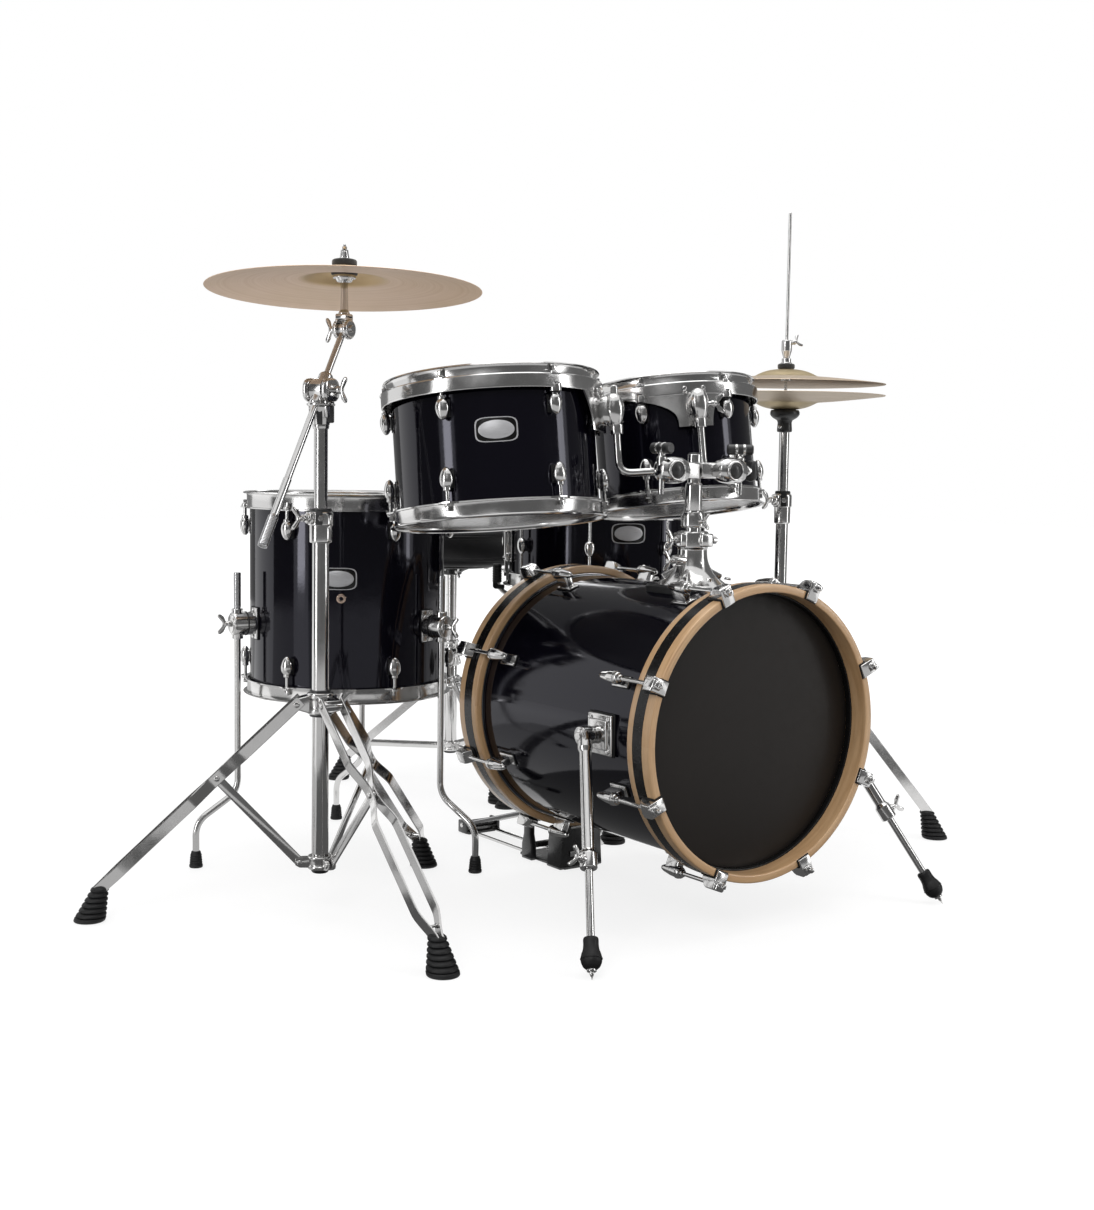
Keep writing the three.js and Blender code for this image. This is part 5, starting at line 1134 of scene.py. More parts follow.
def shield(drum):
    """The curved plate that hangs a tom: a wide yoke under the band that draws in to the arm's clamp."""
    radius, azimuth, z = drum["radius"], drum["azimuth"], CLAMP["z"]
    high, low = drum["depth"] / 2 - 26, z - 30

    def at(u, v):
        wide = (41 * (1 - v) ** 3.2 + 11, 8 * (1 - v) ** 2 + 11)
        left, right = wide if drum["side"] > 0 else wide[::-1]
        a = azimuth - left + (left + right) * u
        return polar(radius + 13.4 + 2.4 * smooth(v), a, high + (low - high) * v), polar(1, a, 0)

    plate = panel(at, 48, 24, 2.6)
    ears, rubbers = [], []
    for step in (-30, 30):
        a = drum["middle"] + step * 0.985
        ears.append(place(disc(9.5, -6, 5, 1.0, 28), turn(a) @ shift(radius + 9.5, 0, high - 3)))
        rubbers.append(place(disc(7.0, -9, 7.4, 0.8, 24), turn(a) @ shift(radius + 9.5, 0, high - 3)))
    grip = radius + CLAMP["setout"]
    spin = turn(azimuth)
    stem = place(puff(13, 15, 22, 2.6, 0, 32), spin @ shift(radius + 24, 0, z))
    jaw = place(egg(15.5, 15.5, 27, 36), spin @ shift(grip - 2, 0, z - 1))
    throat = place(
        turned(
            rounded([(CLAMP["arm"] + 0.3, -14), (9.6, -14), (10.4, 0), (CLAMP["arm"] + 0.3, 0)], 1.0), 32,
            loop=True
        ),
        spin @ shift(grip, 0, z - 22)
    )
    screw = wing(spin @ vec(grip, 12, z), spin @ vec(grip, 19, z), 32, 21, 4.8, 4.6)
    heads = [
        screw_head(spin @ vec(radius + 16.2, dy, z + dz), spin.to_3x3() @ vec(1, 0, 0), 3.4, 2.2)
        for dy in (-15, 15) for dz in (24, 30)
    ]
    return [(merge(plate, *ears, stem, jaw, throat, screw, *heads), CHROME), (merge(*rubbers), RUBBER)]


def hung_tom(name):
    t = TOMS[name]
    ball = shift(0, MOUNT["y"], 0) @ shift(
        t["side"] * MOUNT["ball_x"], MOUNT["ball_y"], MOUNT["ball_z"]
    ) @ turn(-t["tilt"], "X")
    centre = ball @ shift(t["elbow"][0], t["elbow"][1], 0) @ Matrix.Translation(
        polar(-(t["radius"] + CLAMP["setout"]), t["azimuth"], t["rise"])
    )
    r, d = t["radius"], t["depth"]
    azimuths = lugs_at(6, 30)
    parts = drum_shell(r, d, 6) + badge(r, t["badge"], 15) + shield(t)
    piece(name + "_shell", name, parts, centre)
    piece(name + "_top_hoop", name, hoop_parts(r, d, 36, azimuths, band=17), centre)
    piece(name + "_batter_head", name, head_parts(r, d / 2, r + 2.6, WHITE_FILM), centre)
    low = hoop_parts(r, d, 26, azimuths, True) + head_parts(r, d / 2, r + 2.6, CLEAR_FILM, True)
    piece(name + "_bottom_hoop", name, low, centre)
    elbow, top = vec(*t["elbow"], 0), vec(*t["elbow"], CLAMP["arm_top"])
    line = bent([vec(0, 0, 0), elbow, top], 20, 10)
    bar = tube(line, CLAMP["arm"], 28)
    sphere = turned(
        [(0, -14)] + [
            (14 * math.cos(math.radians(t)), 14 * math.sin(math.radians(t))) for t in range(-80, 90, 10)
        ] + [(0, 14)],
        40
    )
    end = place(
        solid_turn([(0, 0), (5.2, 0), (5.2, 2.2), (3.6, 3.4), (0, 3.4)], 0.4, 24),
        shift(top.x, top.y, top.z - 0.6)
    )
    piece(t["arm"], t["arm"], [(merge(bar, end), CHROME), (sphere, PLASTIC)], ball)


# Floor tom
FLOOR = {
    "x": -277, "y": 510, "z": 452, "radius": 165, "depth": 325, "setout": 31, "leg_top": 488, "bracket": 404,
    "leg": 5.5, "step": 72
}
FLOOR_LEGS = [(173.6, 0), (293.6, 0), (53.6, 49)]


def floor_bracket(azimuth):
    r, z = FLOOR["radius"], FLOOR["bracket"] - FLOOR["z"]
    spin = turn(azimuth)
    at = lambda x, y=0.0, dz=0.0: spin @ vec(x, y, z + dz)
    base = place(brick(4, 30, 52, 1.6, 3), spin @ shift(r + 1.6, 0, z))
    pad = place(brick(2.2, 33, 55, 0.8), spin @ shift(r + 0.6, 0, z))
    barrel = aimed(
        solid_turn([(0, 0), (17, 0), (19.5, 4), (19.5, 37), (18, 40.5), (0, 40.5)], 1.6, 48), at(r + 1),
        at(r + 60)
    )
    face = aimed(disc(15.5, 0, 1.6, 0.5, 40), at(r + 41.2), at(r + 60))
    seal = aimed(disc(20.2, 0, 2.4, 0.6, 48), at(r + 16), at(r + 60))
    collars = place(
        closed_ring([(6.2, -25), (9.6, -25), (9.6, 25), (6.2, 25)], 1.2, 28),
        spin @ shift(r + FLOOR["setout"], 0, z)
    )
    screw = wing(at(r + 38), at(r + 43), 34, 22, 4.8, 4.8)
    heads = [screw_head(at(r + 3.4, 0, dz), spin.to_3x3() @ vec(1, 0, 0), 3.8, 2.4) for dz in (-22, 22)]
    return [(merge(base, barrel, face, collars, screw, *heads), CHROME), (merge(pad, seal), RUBBER)]


def floor_tom():
    centre = shift(FLOOR["x"], FLOOR["y"], FLOOR["z"])
    r, d = FLOOR["radius"], FLOOR["depth"]
    step = FLOOR["step"]
    azimuths = lugs_at(6, 27.6)
    parts = drum_shell(r, d, 6) + badge(r, -124, 34) + vent(r, -122, 2)
    for azimuth, _ in FLOOR_LEGS:
        parts += floor_bracket(azimuth)
    piece("floor_tom_shell", "kit_base", parts, centre)
    piece("floor_tom_top_hoop", "kit_base", hoop_parts(r, d, 28, azimuths), centre)
    piece(
        "floor_tom_batter_head", "kit_base", head_parts(r, d / 2, r + 2.6, WHITE_FILM), centre
    )
    low = hoop_parts(r, d, 26, azimuths, True) + head_parts(r, d / 2, r + 2.6, CLEAR_FILM, True)
    piece("floor_tom_bottom_hoop", "kit_base", low, centre)
    for i, (azimuth, twist) in enumerate(FLOOR_LEGS):
        out = lambda distance, z: polar(distance, azimuth + twist, z)
        line = bent([vec(0, 0, FLOOR["leg_top"]), vec(0, 0, 122), out(step, 75), out(step, 14)], 22, 9)
        bar = tube(line, FLOOR["leg"], 24)
        knurl = turned(
            [(0, 0), (5.7, 0)] + [
                (5.75 + (0.3 if k % 2 else 0.0), 0.8 + k * 1.2) for k in range(60)
            ] + [(5.4, 74), (0, 74.5)],
            24
        )
        knurl = place(knurl, shift(0, 0, FLOOR["leg_top"] - 73))
        sole = out(step, 0)
        ribs = [(0, 0), (10.4, 0), (11.2, 1.4), (11.2, 4), (10.2, 6)]
        for k in range(4):
            z = 7 + k * 4
            ribs += [
                (9.9 - k * 0.35, z), (10.5 - k * 0.35, z + 0.6), (10.5 - k * 0.35, z + 2.2),
                (9.8 - k * 0.35, z + 2.9)
            ]
        ribs += [(8.2, 24), (7.4, 27), (5.6, 27.6), (0, 27.6)]
        boot = place(turned(rounded(ribs, 0.3, 2), 36), shift(sole.x, sole.y, 0))
        foot = centre.copy()
        foot.translation = vec(FLOOR["x"], FLOOR["y"], 0) + polar(r + FLOOR["setout"], azimuth)
        name = "floor_tom_leg_%d" % (i + 1)
        piece(name, name, [(bar, CHROME), (knurl, STEEL), (boot, RUBBER)], foot)


# Stands
def flat_bar(path, broad, width, thickness, ease=0.7):
    """A flat bar along a path; broad is the direction in which its width lies."""
    w, t, e = width / 2, thickness / 2, ease
    section = [
        (e - w, -t), (w - e, -t), (w, e - t), (w, t - e), (w - e, t), (e - w, t), (-w, t - e), (-w, e - t)
    ]
    verts, n = [], len(section)
    for i, p in enumerate(path):
        d = (path[min(i + 1, len(path) - 1)] - path[max(i - 1, 0)]).normalized()
        thin = d.cross(broad).normalized()
        wide = thin.cross(d).normalized()
        verts += [p + wide * x + thin * y for x, y in section]
    faces = [tuple(reversed(range(n))), tuple(range((len(path) - 1) * n, len(path) * n))]
    for i in range(len(path) - 1):
        faces += [
            (i * n + k, i * n + (k + 1) % n, (i + 1) * n + (k + 1) % n, (i + 1) * n + k) for k in range(n)
        ]
    return verts, faces


def eased_bar(a, b, broad, width, thickness):
    """A straight flat bar whose ends are round about a and b."""
    d = (b - a).normalized()
    length = (b - a).length
    outline = []
    for k in range(13):
        t = math.radians(-90 + 15 * k)
        outline.append((length + width / 2 * math.cos(t), width / 2 * math.sin(t)))
    for k in range(13):
        t = math.radians(90 + 15 * k)
        outline.append((width / 2 * math.cos(t), width / 2 * math.sin(t)))
    form = slab(outline, thickness, 0.7, 2)
    wide = (broad - d * broad.dot(d)).normalized()
    m = Matrix((d, wide, d.cross(wide))).transposed().to_4x4()
    m.translation = a
    return place(form, m)


TRIPOD = {"ear": 34, "boot": 50, "boot_top": 15, "collar": 19, "strap": 17, "thick": 3}
PINCH = [(0, 1), (0.25, 1), (0.385, 0), (0.415, 0), (0.53, 1), (0.87, 1), (1, 0)]


def leg_line(foot, collar_z, share):
    a, b = (TRIPOD["ear"], collar_z), (foot - TRIPOD["boot_top"] / 2, TRIPOD["boot"] - TRIPOD["boot_top"] / 2)
    return vec(a[0] + (b[0] - a[0]) * share, 0, a[1] + (b[1] - a[1]) * share)


def rubber_foot(foot, collar_z):
    """A ribbed rubber cone that stands flat and leans a little towards its leg."""
    line = [(0, 0), (21.6, 0), (22.8, 1.2), (22.8, 5.4), (21.4, 6.6)]
    for k in range(5):
        z, r = 7.4 + k * 7.4, 22.2 - k * 1.75
        line += [(r - 3.8, z), (r - 0.2, z + 0.8), (r - 0.8, z + 3.6), (r - 4.0, z + 6.4)]
    line += [(13.4, 45.4), (13.0, 48.4), (11.0, 50.4), (0, 50.4)]
    verts, faces = turned(rounded(line, 0.5, 2), 44)
    top = leg_line(foot, collar_z, 1)
    lean = 1.9 * (top.x - foot) / top.z
    return [vec(v.x + foot + 3 + lean * v.z, v.y, v.z) for v in verts], faces


def pinched_straps(foot, collar_z, spread):
    """The two straps of a leg: apart, pinched on the brace, apart, and together in the boot."""
    a, b = leg_line(foot, collar_z, 0), leg_line(foot, collar_z, 1)
    d = (b - a).normalized()
    broad = d.cross(vec(0, 1, 0)).normalized()
    wide, narrow = (spread - TRIPOD["thick"]) / 2, 3.8
    forms = []
    for side in (-1, 1):
        path = []
        for (s0, w0), (s1, w1) in zip(PINCH, PINCH[1:]):
            steps = 10 if w0 != w1 else 2
            for k in range(steps):
                s = s0 + (s1 - s0) * k / steps
                w = w0 + (w1 - w0) * smooth(k / steps)
                path.append(a + (b - a) * s + vec(0, side * (narrow + (wide - narrow) * w), 0))
        path.append(b + vec(0, side * narrow, 0))
        head = a - d * 8 + vec(0, side * wide, 0)
        forms.append(flat_bar([head] + path, broad, TRIPOD["strap"], TRIPOD["thick"]))
    return merge(*forms)


def straight_straps(foot, collar_z, spread=13):
    a, b = leg_line(foot, collar_z, 0), leg_line(foot, collar_z, 1)
    d = (b - a).normalized()
    broad = d.cross(vec(0, 1, 0)).normalized()
    offset = (spread - TRIPOD["thick"]) / 2
    forms = []
    for side in (-1, 1):
        path = [a - d * 7 + vec(0, side * offset, 0), a + vec(0, side * offset, 0)]
        path += [a + (b - a) * (k / 12) + vec(0, side * offset * (1 - 0.5 * k / 12), 0) for k in range(1, 13)]
        forms.append(flat_bar(path, broad, TRIPOD["strap"], TRIPOD["thick"]))
    return merge(*forms)


def rivet(at, half, radius=4.4):
    """A pin across the leg's plane with a domed head at each side."""
    pin = rod(at - vec(0, half, 0), at + vec(0, half, 0), radius * 0.6, 0.2, 16)
    heads = [screw_head(at + vec(0, side * half, 0), vec(0, side, 0), radius, 2.4) for side in (-1, 1)]
    return merge(pin, *heads)


def tube_run(radius, low, high):
    return rod(vec(0, 0, low), vec(0, 0, high), radius, 0.8, MIDDLE)


def open_tube(outer, inner, low, high):
    return closed_ring(
        [(inner, low), (outer, low), (outer, high), (inner, high), (inner, low + 0.01)], 0.5, MIDDLE, 2
    )


def collar_form(inner, outer, low, high):
    """A cast ring with a waist and a raised band at each end."""
    h = high - low
    line = [
        (inner, low), (outer - 1.2, low), (outer, low + 1.4), (outer, low + h * 0.24),
        (outer - 1.8, low + h * 0.32), (outer - 1.8, low + h * 0.68), (outer, low + h * 0.76),
        (outer, high - 1.4), (outer - 1.2, high), (inner, high), (inner, low + 0.01)
    ]
    return turned(rounded(line, 1.2, 3), 56, loop=True)


def tube_clamp(tube_radius, inner, top, height, azimuth):
    """The clamp at a tube's mouth: a band on a stepped sleeve, its wing screw, black insert and bushing."""
    r, step, low = tube_radius * 1.5, top - height * 0.48, top - height
    sleeve = closed_ring(
        [
            (inner, low), (r - 3.2, low), (r - 2.0, low + 2), (r - 2.0, step + 1), (inner, step + 1),
            (inner, low + 0.1)
        ],
        0.8, 56
    )
    band = closed_ring(
        [
            (inner, step), (r - 0.6, step), (r, step + 1.4), (r, top - 8), (r - 1.0, top - 5),
            (r - 3.4, top - 3), (inner, top - 3), (inner, step + 0.1)
        ],
        0.8, 56
    )
    spin, mid = turn(azimuth), (step + top) / 2 - 1
    at = lambda x, y=0.0, z=0.0: spin @ vec(x, y, mid + z)
    boss = aimed(
        solid_turn([(0, 0), (7.4, 0), (7.4, r * 0.2 + 8), (6.4, r * 0.2 + 10), (0, r * 0.2 + 10)], 1.0, 28),
        at(r * 0.7), at(r * 2)
    )
    ear = place(brick(9, 16, (top - step) * 0.72, 3, 3), spin @ shift(r + 0.5, 0, mid))
    screw = wing(at(r * 0.9), at(r + 11), 34, 22, 4.6, 4.6)
    bolt = hexagon(at(r * 0.55, r * 0.7, 0), at(r * 0.75, r * 1.02, 0), 8)
    insert = place(
        brick(4, 10.5, top - step - 4, 1.0), turn(SEEN_FROM) @ shift(r - 1.4, 0, (step + top) / 2 - 1)
    )
    bushing = closed_ring(
        [
            (inner, top - 5), (r - 2.6, top - 5), (r - 2.6, top - 0.8), (r - 3.6, top + 1.4),
            (inner, top + 1.4), (inner, top - 4.9)
        ],
        0.6, 48
    )
    return merge(sleeve, band, boss, ear, screw, bolt), merge(bushing, insert)


def ear_plate(z, width):
    """The ear of a collar that holds a leg's pin, in the half plane of +X."""
    line = [
        (15, z - 14), (26, z - 11), (37, z - 7.5), (41.5, z - 2.5), (41.5, z + 2.5), (37, z + 7),
        (26, z + 10), (15, z + 13)
    ]
    return place(slab(line, width, 1.6, 3), UPRIGHT)


def fixed_tripod(stand, screw_azimuth):
    """A stand's lower tube with its legs, collar, braces, bracket and mouth clamp."""
    r, foot, cz, bz, top = stand["lower"], stand["foot"], stand["collar"], stand["bracket"], stand["top"]
    chrome = [
        open_tube(r, stand["bore"], bz - 8, top - 2),
        place(collar_form(r - 0.2, 19, 0, 30), shift(0, 0, cz - 15)),
        place(collar_form(r - 0.2, 18.5, 0, 20), shift(0, 0, bz - 10))
    ]
    clamp, bushing = tube_clamp(r, stand["bore"], top, stand["clamp"], screw_azimuth)
    chrome.append(clamp)
    black = [bushing]
    collar_screw = wing(
        polar(15, stand["azimuths"][1] + 60, cz), polar(22, stand["azimuths"][1] + 60, cz), 32, 22, 4.8, 4.6
    )
    chrome.append(collar_screw)
    if not stand.get("open"):
        black.append(
            place(
                solid_turn([(0, 0), (r - 1, 0), (r + 1.2, 3), (r + 1.2, 7), (0, 7)], 1.2, 40),
                shift(0, 0, bz - 15)
            )
        )
    pin = leg_line(foot, cz, stand["share"])
    for azimuth in stand["azimuths"]:
        spin = turn(azimuth)
        root = vec(22, 0, bz)
        run = (pin - root).normalized()
        broad = run.cross(vec(0, 1, 0)).normalized()
        braces = merge(
            *[place(eased_bar(root, pin, broad, 13, 2.8), shift(0, side * 3.2, 0)) for side in (-1, 1)]
        )
        fork = place(
            slab([(12, bz - 8), (26, bz - 6.5), (29, bz), (26, bz + 6.5), (12, bz + 8)], 10.5, 1.4, 2),
            UPRIGHT
        )
        parts = [
            straight_straps(foot, cz, 18.5), ear_plate(cz, 11.5), rivet(leg_line(foot, cz, 0), 9.6), braces,
            fork, rivet(root + vec(1, 0, 0), 5.6, 3.6), rivet(pin, 7.8, 4.2)
        ]
        chrome.append(place(merge(*parts), spin))
        black.append(place(rubber_foot(foot, cz), spin))
    return chrome, black


CRASH = {
    "x": -505, "y": 171, "foot": 332, "collar": 321, "bracket": 83, "azimuths": [151.5, 271.5, 31.5],
    "lower": 12.5, "bore": 10.6, "top": 606, "clamp": 49, "upper": 10, "upper_top": 742, "upper_low": 420,
    "pivot": 778, "tilt": 32, "azimuth": 27, "tail": 260, "head": 108, "share": 0.4, "spread": 36
}


def cymbal_form(radius, bell, bell_height, bow, hole):
    """A closed cymbal: domed bell, a soft turn into the bow, and a thinning edge; its rim is at z = 0."""
    thickness = 1.6

    def level(r):
        if r <= bell:
            return bow + bell_height * (1 - (r / bell) ** 2.8)
        return bow * (1 - ((r - bell) / (radius - bell)) ** 1.25)

    radii = [hole + (bell - hole) * k / 14 for k in range(14)] + [
        bell + (radius - bell) * k / 26 for k in range(27)
    ]
    heights = [level(r) for r in radii]
    for _ in range(2):
        heights = [heights[0]] + [
            (a + 2 * b + c) / 4 for a, b, c in zip(heights, heights[1:], heights[2:])
        ] + [heights[-1]]
    upper = list(zip(radii, heights))
    lower = [(r, z - thickness * (1 - 0.45 * max(0, r - bell) / (radius - bell))) for r, z in upper]
    rim = [(radius + 0.35, heights[-1] - 0.45)]
    return turned(upper + rim + lower[::-1], FINE, loop=True)


def felt_disc(radius, low, high):
    soft = min(3.2, (high - low) * 0.4)
    return turned(rounded([(0, low), (radius, low), (radius, high), (0, high)], soft, 5), 40)


def crash_stand():
    c = CRASH
    at_stand = shift(c["x"], c["y"], 0)
    collar_z, bracket_z, foot = c["collar"], c["bracket"], c["foot"]
    fold_top, brace_root = vec(TRIPOD["ear"], 0, collar_z), vec(30, 0, bracket_z)
    # lower tube with its mouth clamp and the forked bracket
    clamp, bushing = tube_clamp(c["lower"], c["bore"], c["top"], c["clamp"], 190)
    forks = []
    for azimuth in c["azimuths"]:
        for side in (-1, 1):
            cheek = place(
                slab([(12, -8), (30, -7.5), (36, -4), (37, 0), (36, 4), (30, 7.5), (12, 8)], 3.6, 0.9, 2),
                UPRIGHT
            )
            forks.append(place(cheek, turn(azimuth) @ shift(0, side * 4.5, bracket_z)))
    chrome = [
        open_tube(c["lower"], c["bore"], bracket_z - 8, c["top"] - 2), clamp,
        place(collar_form(c["lower"] - 0.2, 18.5, 0, 20), shift(0, 0, bracket_z - 10)), *forks
    ]
    plug = place(
        solid_turn([(0, 0), (11, 0), (13.5, 3), (13.5, 8), (0, 8)], 1.2, 40), shift(0, 0, bracket_z - 16)
    )
    piece(
        "crash_stand_base_tube", "kit_base", [(merge(*chrome), CHROME), (merge(bushing, plug), PLASTIC)],
        at_stand
    )
    # sliding collar with its ears
    ears = [place(ear_plate(collar_z, 29), turn(a)) for a in c["azimuths"]]
    screw_way = c["azimuths"][1] + 60
    screw = wing(polar(15, screw_way, collar_z), polar(22, screw_way, collar_z), 33, 23, 4.8, 4.6)
    ring = place(collar_form(c["lower"] + 0.4, 19.5, 0, 32), shift(0, 0, collar_z - 16))
    sleeve = turned(
        rounded(
            [(c["lower"] + 0.2, 0), (16, 0), (16, 39), (c["lower"] + 0.2, 39), (c["lower"] + 0.2, 0.1)], 1
        ),
        40, loop=True
    )
    piece(
        "crash_stand_collar", "crash_collar",
        [(merge(ring, *ears, screw), CHROME), (place(sleeve, shift(0, 0, collar_z - 19.5)), PLASTIC)],
        at_stand
    )
    for i, azimuth in enumerate(c["azimuths"]):
        spin = at_stand @ turn(azimuth)
        straps = pinched_straps(foot, collar_z, c["spread"])
        meet = leg_line(foot, collar_z, c["share"])
        lower_pin = leg_line(foot, collar_z, 0.94)
        metal = merge(
            straps, rivet(fold_top, c["spread"] / 2, 4.8), rivet(meet, 5.4, 4.4), rivet(lower_pin, 5.6, 3.4)
        )
        name = "crash_stand_leg_%d" % (i + 1)
        piece(
            name, "crash_leg_%d" % (i + 1), [(metal, CHROME), (rubber_foot(foot, collar_z), RUBBER)], spin,
        )
        run = (meet - brace_root).normalized()
        broad = run.cross(vec(0, 1, 0)).normalized()
        name = "crash_stand_brace_%d" % (i + 1)
        piece(
            name, "crash_brace_%d" % (i + 1),
            [(merge(eased_bar(brace_root, meet, broad, 14, 3.8), rivet(brace_root, 6.4, 4.0)), CHROME)], spin,
        )
    # upper tube and the fork that holds the boom clamp
    hinge = turn(c["azimuth"])
    cheeks, pivot = [], c["pivot"]
    tail = c["tail"]
    for side in (-1, 1):
        ratchet = place(puff(19.5, 6.0, 17.5, 2.8, 0, 40), shift(0, side * 16.4, pivot))
        stem = place(
            slab(
                [
                    (-8, pivot - 40), (8, pivot - 40), (9.5, pivot - 20), (10, pivot), (-10, pivot),
                    (-9.5, pivot - 20)
                ],
                6, 2.0, 3
            ),
            UPRIGHT
        )
        cheeks += [ratchet, place(stem, shift(0, side * 13.4, 0))]
    seat = place(
        solid_turn([(0, 0), (12.6, 0), (13.6, 12), (16, 26), (20.5, 28), (20.5, 31), (0, 31)], 1.0, 48),
        shift(0, 0, pivot - 50)
    )
    skirt = place(solid_turn([(0, 0), (11.4, 0), (12.2, 6), (0, 6)], 1.0, 40), shift(0, 0, pivot - 56))
    slot = merge(
        place(brick(5, 8, 27, 1.2), turn(SEEN_FROM) @ shift(12.2, 0, pivot - 36)),
        place(brick(9, 15, 38, 2.2), turn(SEEN_FROM + 90) @ shift(14, 0, pivot - 28))
    )
    screw = wing(vec(0, -12, pivot), vec(0, -29, pivot), 38, 16, 5, 5.2)
    bolt = hexagon(vec(0, 19.4, pivot), vec(0, 25, pivot), 12)
    head = place(merge(*cheeks, seat, skirt, screw, bolt), hinge)
    piece(
        "crash_stand_upper_tube", "crash_upper",
        [(merge(tube_run(c["upper"], c["upper_low"], c["upper_top"]), head), CHROME), (slot, PLASTIC)],
        at_stand
    )
    # boom clamp
    way = polar(math.sin(math.radians(c["tilt"])), c["azimuth"], math.cos(math.radians(c["tilt"])))
    boom = at_stand @ shift(0, 0, pivot)
    hub = place(aimed(disc(17.2, 0, 20, 0.8, 48), vec(0, -10, 0), vec(0, 10, 0)), hinge)
    sleeve_form = aimed(
        solid_turn([(0, 0), (9.2, 0), (10.4, 3), (10.4, 51), (9.2, 54), (0, 54)], 1.2, 40), way * -27,
        way * 27
    )
    side_out = hinge @ vec(0, 1, 0)
    grip = screw_head(way * 17 + side_out * 9, side_out, 4.6, 4)
    piece("crash_boom_clamp", "boom_clamp", [(merge(hub, sleeve_form, grip), CHROME)], boom)
    bar = merge(
        rod(way * -tail, way * (c["head"] - 9), 5.0, 0.8, 32), rod(way * -tail, way * -150, 5.9, 0.8, 32)
    )
    knurl_points = [(0, 0), (7.2, 0)] + [
        (7.25 + (0.35 if k % 2 else 0), 1 + k * 1.1) for k in range(42)
    ] + [(6.2, 50), (0, 50)]
    knurl = aimed(turned(knurl_points, 32), way * -tail, way * -(tail - 50))
    tip = way * c["head"]
    eye = place(
        aimed(disc(10.2, 0, 10, 0.8, 40), vec(0, -5, 0), vec(0, 5, 0)), Matrix.Translation(tip) @ hinge
    )
    piece("crash_boom_rod", "boom_rod", [(merge(bar, eye), CHROME), (knurl, STEEL)], boom)
    # cymbal tilter, felts, nut and cymbal
    tilt = Matrix.Rotation(math.radians(3.5), 4, polar(1, 58 + 90))
    seat_frame = boom @ Matrix.Translation(tip) @ tilt
    forms = []
    for side in (-1, 1):
        forms.append(
            aimed(
                solid_turn([(0, 0), (14.6, 0), (14.6, 5), (12.4, 7.4), (0, 7.4)], 1.2, 48),
                vec(0, side * 5.3, 0), vec(0, side * 20, 0)
            )
        )
        forms.append(place(brick(17, 5.2, 24, 1.8, 3), shift(0, side * 7.9, 8)))
        for k in range(24):
            forms.append(
                place(
                    brick(1.3, 4.4, 1.4, 0.25, 1),
                    shift(0, side * 7.9, 0) @ turn(k * 15, "Y") @ shift(14.6, 0, 0)
                )
            )
    forms.append(place(brick(18, 21, 9, 2.4, 3), shift(0, 0, 18)))
    forms.append(wing(vec(0, 6, 0), vec(0, 17, 0), 37, 15, 4.8, 5.0))
    forms.append(hexagon(vec(0, -11, 0), vec(0, -16, 0), 10))
    yoke = place(merge(*forms), hinge)
    low_felt = 79
    sleeve_line = [
        (0, 20), (8.4, 20), (8.4, 24), (6.2, 28), (5.4, 52), (5.4, low_felt - 8), (0, low_felt - 8)
    ]
    stud = turned(rounded(sleeve_line, 0.8), 36)
    thread = turned(
        [(0, low_felt)] + [(3.3 + (0.5 if k % 2 else 0), low_felt + k * 0.7) for k in range(60)] + [
            (2.6, low_felt + 42.6), (0, low_felt + 43)
        ],
        24
    )
    washer = disc(17, low_felt - 4.6, low_felt - 0.2, 0.9, 48)
    cup = solid_turn(
        [(0, low_felt - 9.5), (11, low_felt - 9.5), (14, low_felt - 4.4), (0, low_felt - 4.4)], 0.8, 40
    )
    under, over = felt_disc(19.5, low_felt, 88.6), felt_disc(18.5, 92.1, 101.8)
    nut_low = 101.8
    nut_washer = disc(10.5, nut_low - 0.3, nut_low + 1.4, 0.4, 36)
    nut_body = solid_turn(
        [
            (0, nut_low + 1.2), (7.4, nut_low + 1.2), (5.8, nut_low + 10), (5.4, nut_low + 14.5),
            (0, nut_low + 14.5)
        ],
        0.8, 32
    )
    nut_blade = place(
        wing(vec(0, 0, 0), vec(0, 0, 1), 26, 19, 4.6, 4.0, 0), shift(0, 0, nut_low + 1.4) @ turn(62)
    )
    piece(
        "crash_cymbal_tilter", "cymbal_tilter",
        [
            (merge(yoke, stud, cup, washer, nut_washer, nut_body, nut_blade), CHROME), (thread, STEEL),
            (merge(under, over), FELT)
        ],
        seat_frame
    )
    bronze_disc = place(cymbal_form(*CRASH_CYMBAL), shift(0, 0, 91.8 - 34))
    piece("crash_cymbal", "crash_cymbal", [(bronze_disc, CRASH_METAL)], seat_frame)


HAT = {
    "x": 455, "y": 213, "foot": 292, "collar": 362, "bracket": 130, "azimuths": [-40, 80, 200], "lower": 11,
    "bore": 9.4, "top": 631, "clamp": 58, "share": 0.5, "open": True, "upper": 9, "upper_low": 470,
    "cup_low": 739, "cup_top": 778.7, "low_edge": 805, "top_edge": 826, "rod": 2.8, "rod_low": 98,
    "rod_top": 1130, "way": 115, "heel": 318, "hinge": 17, "slope": 16, "board": 270, "board_half": 27.7
}


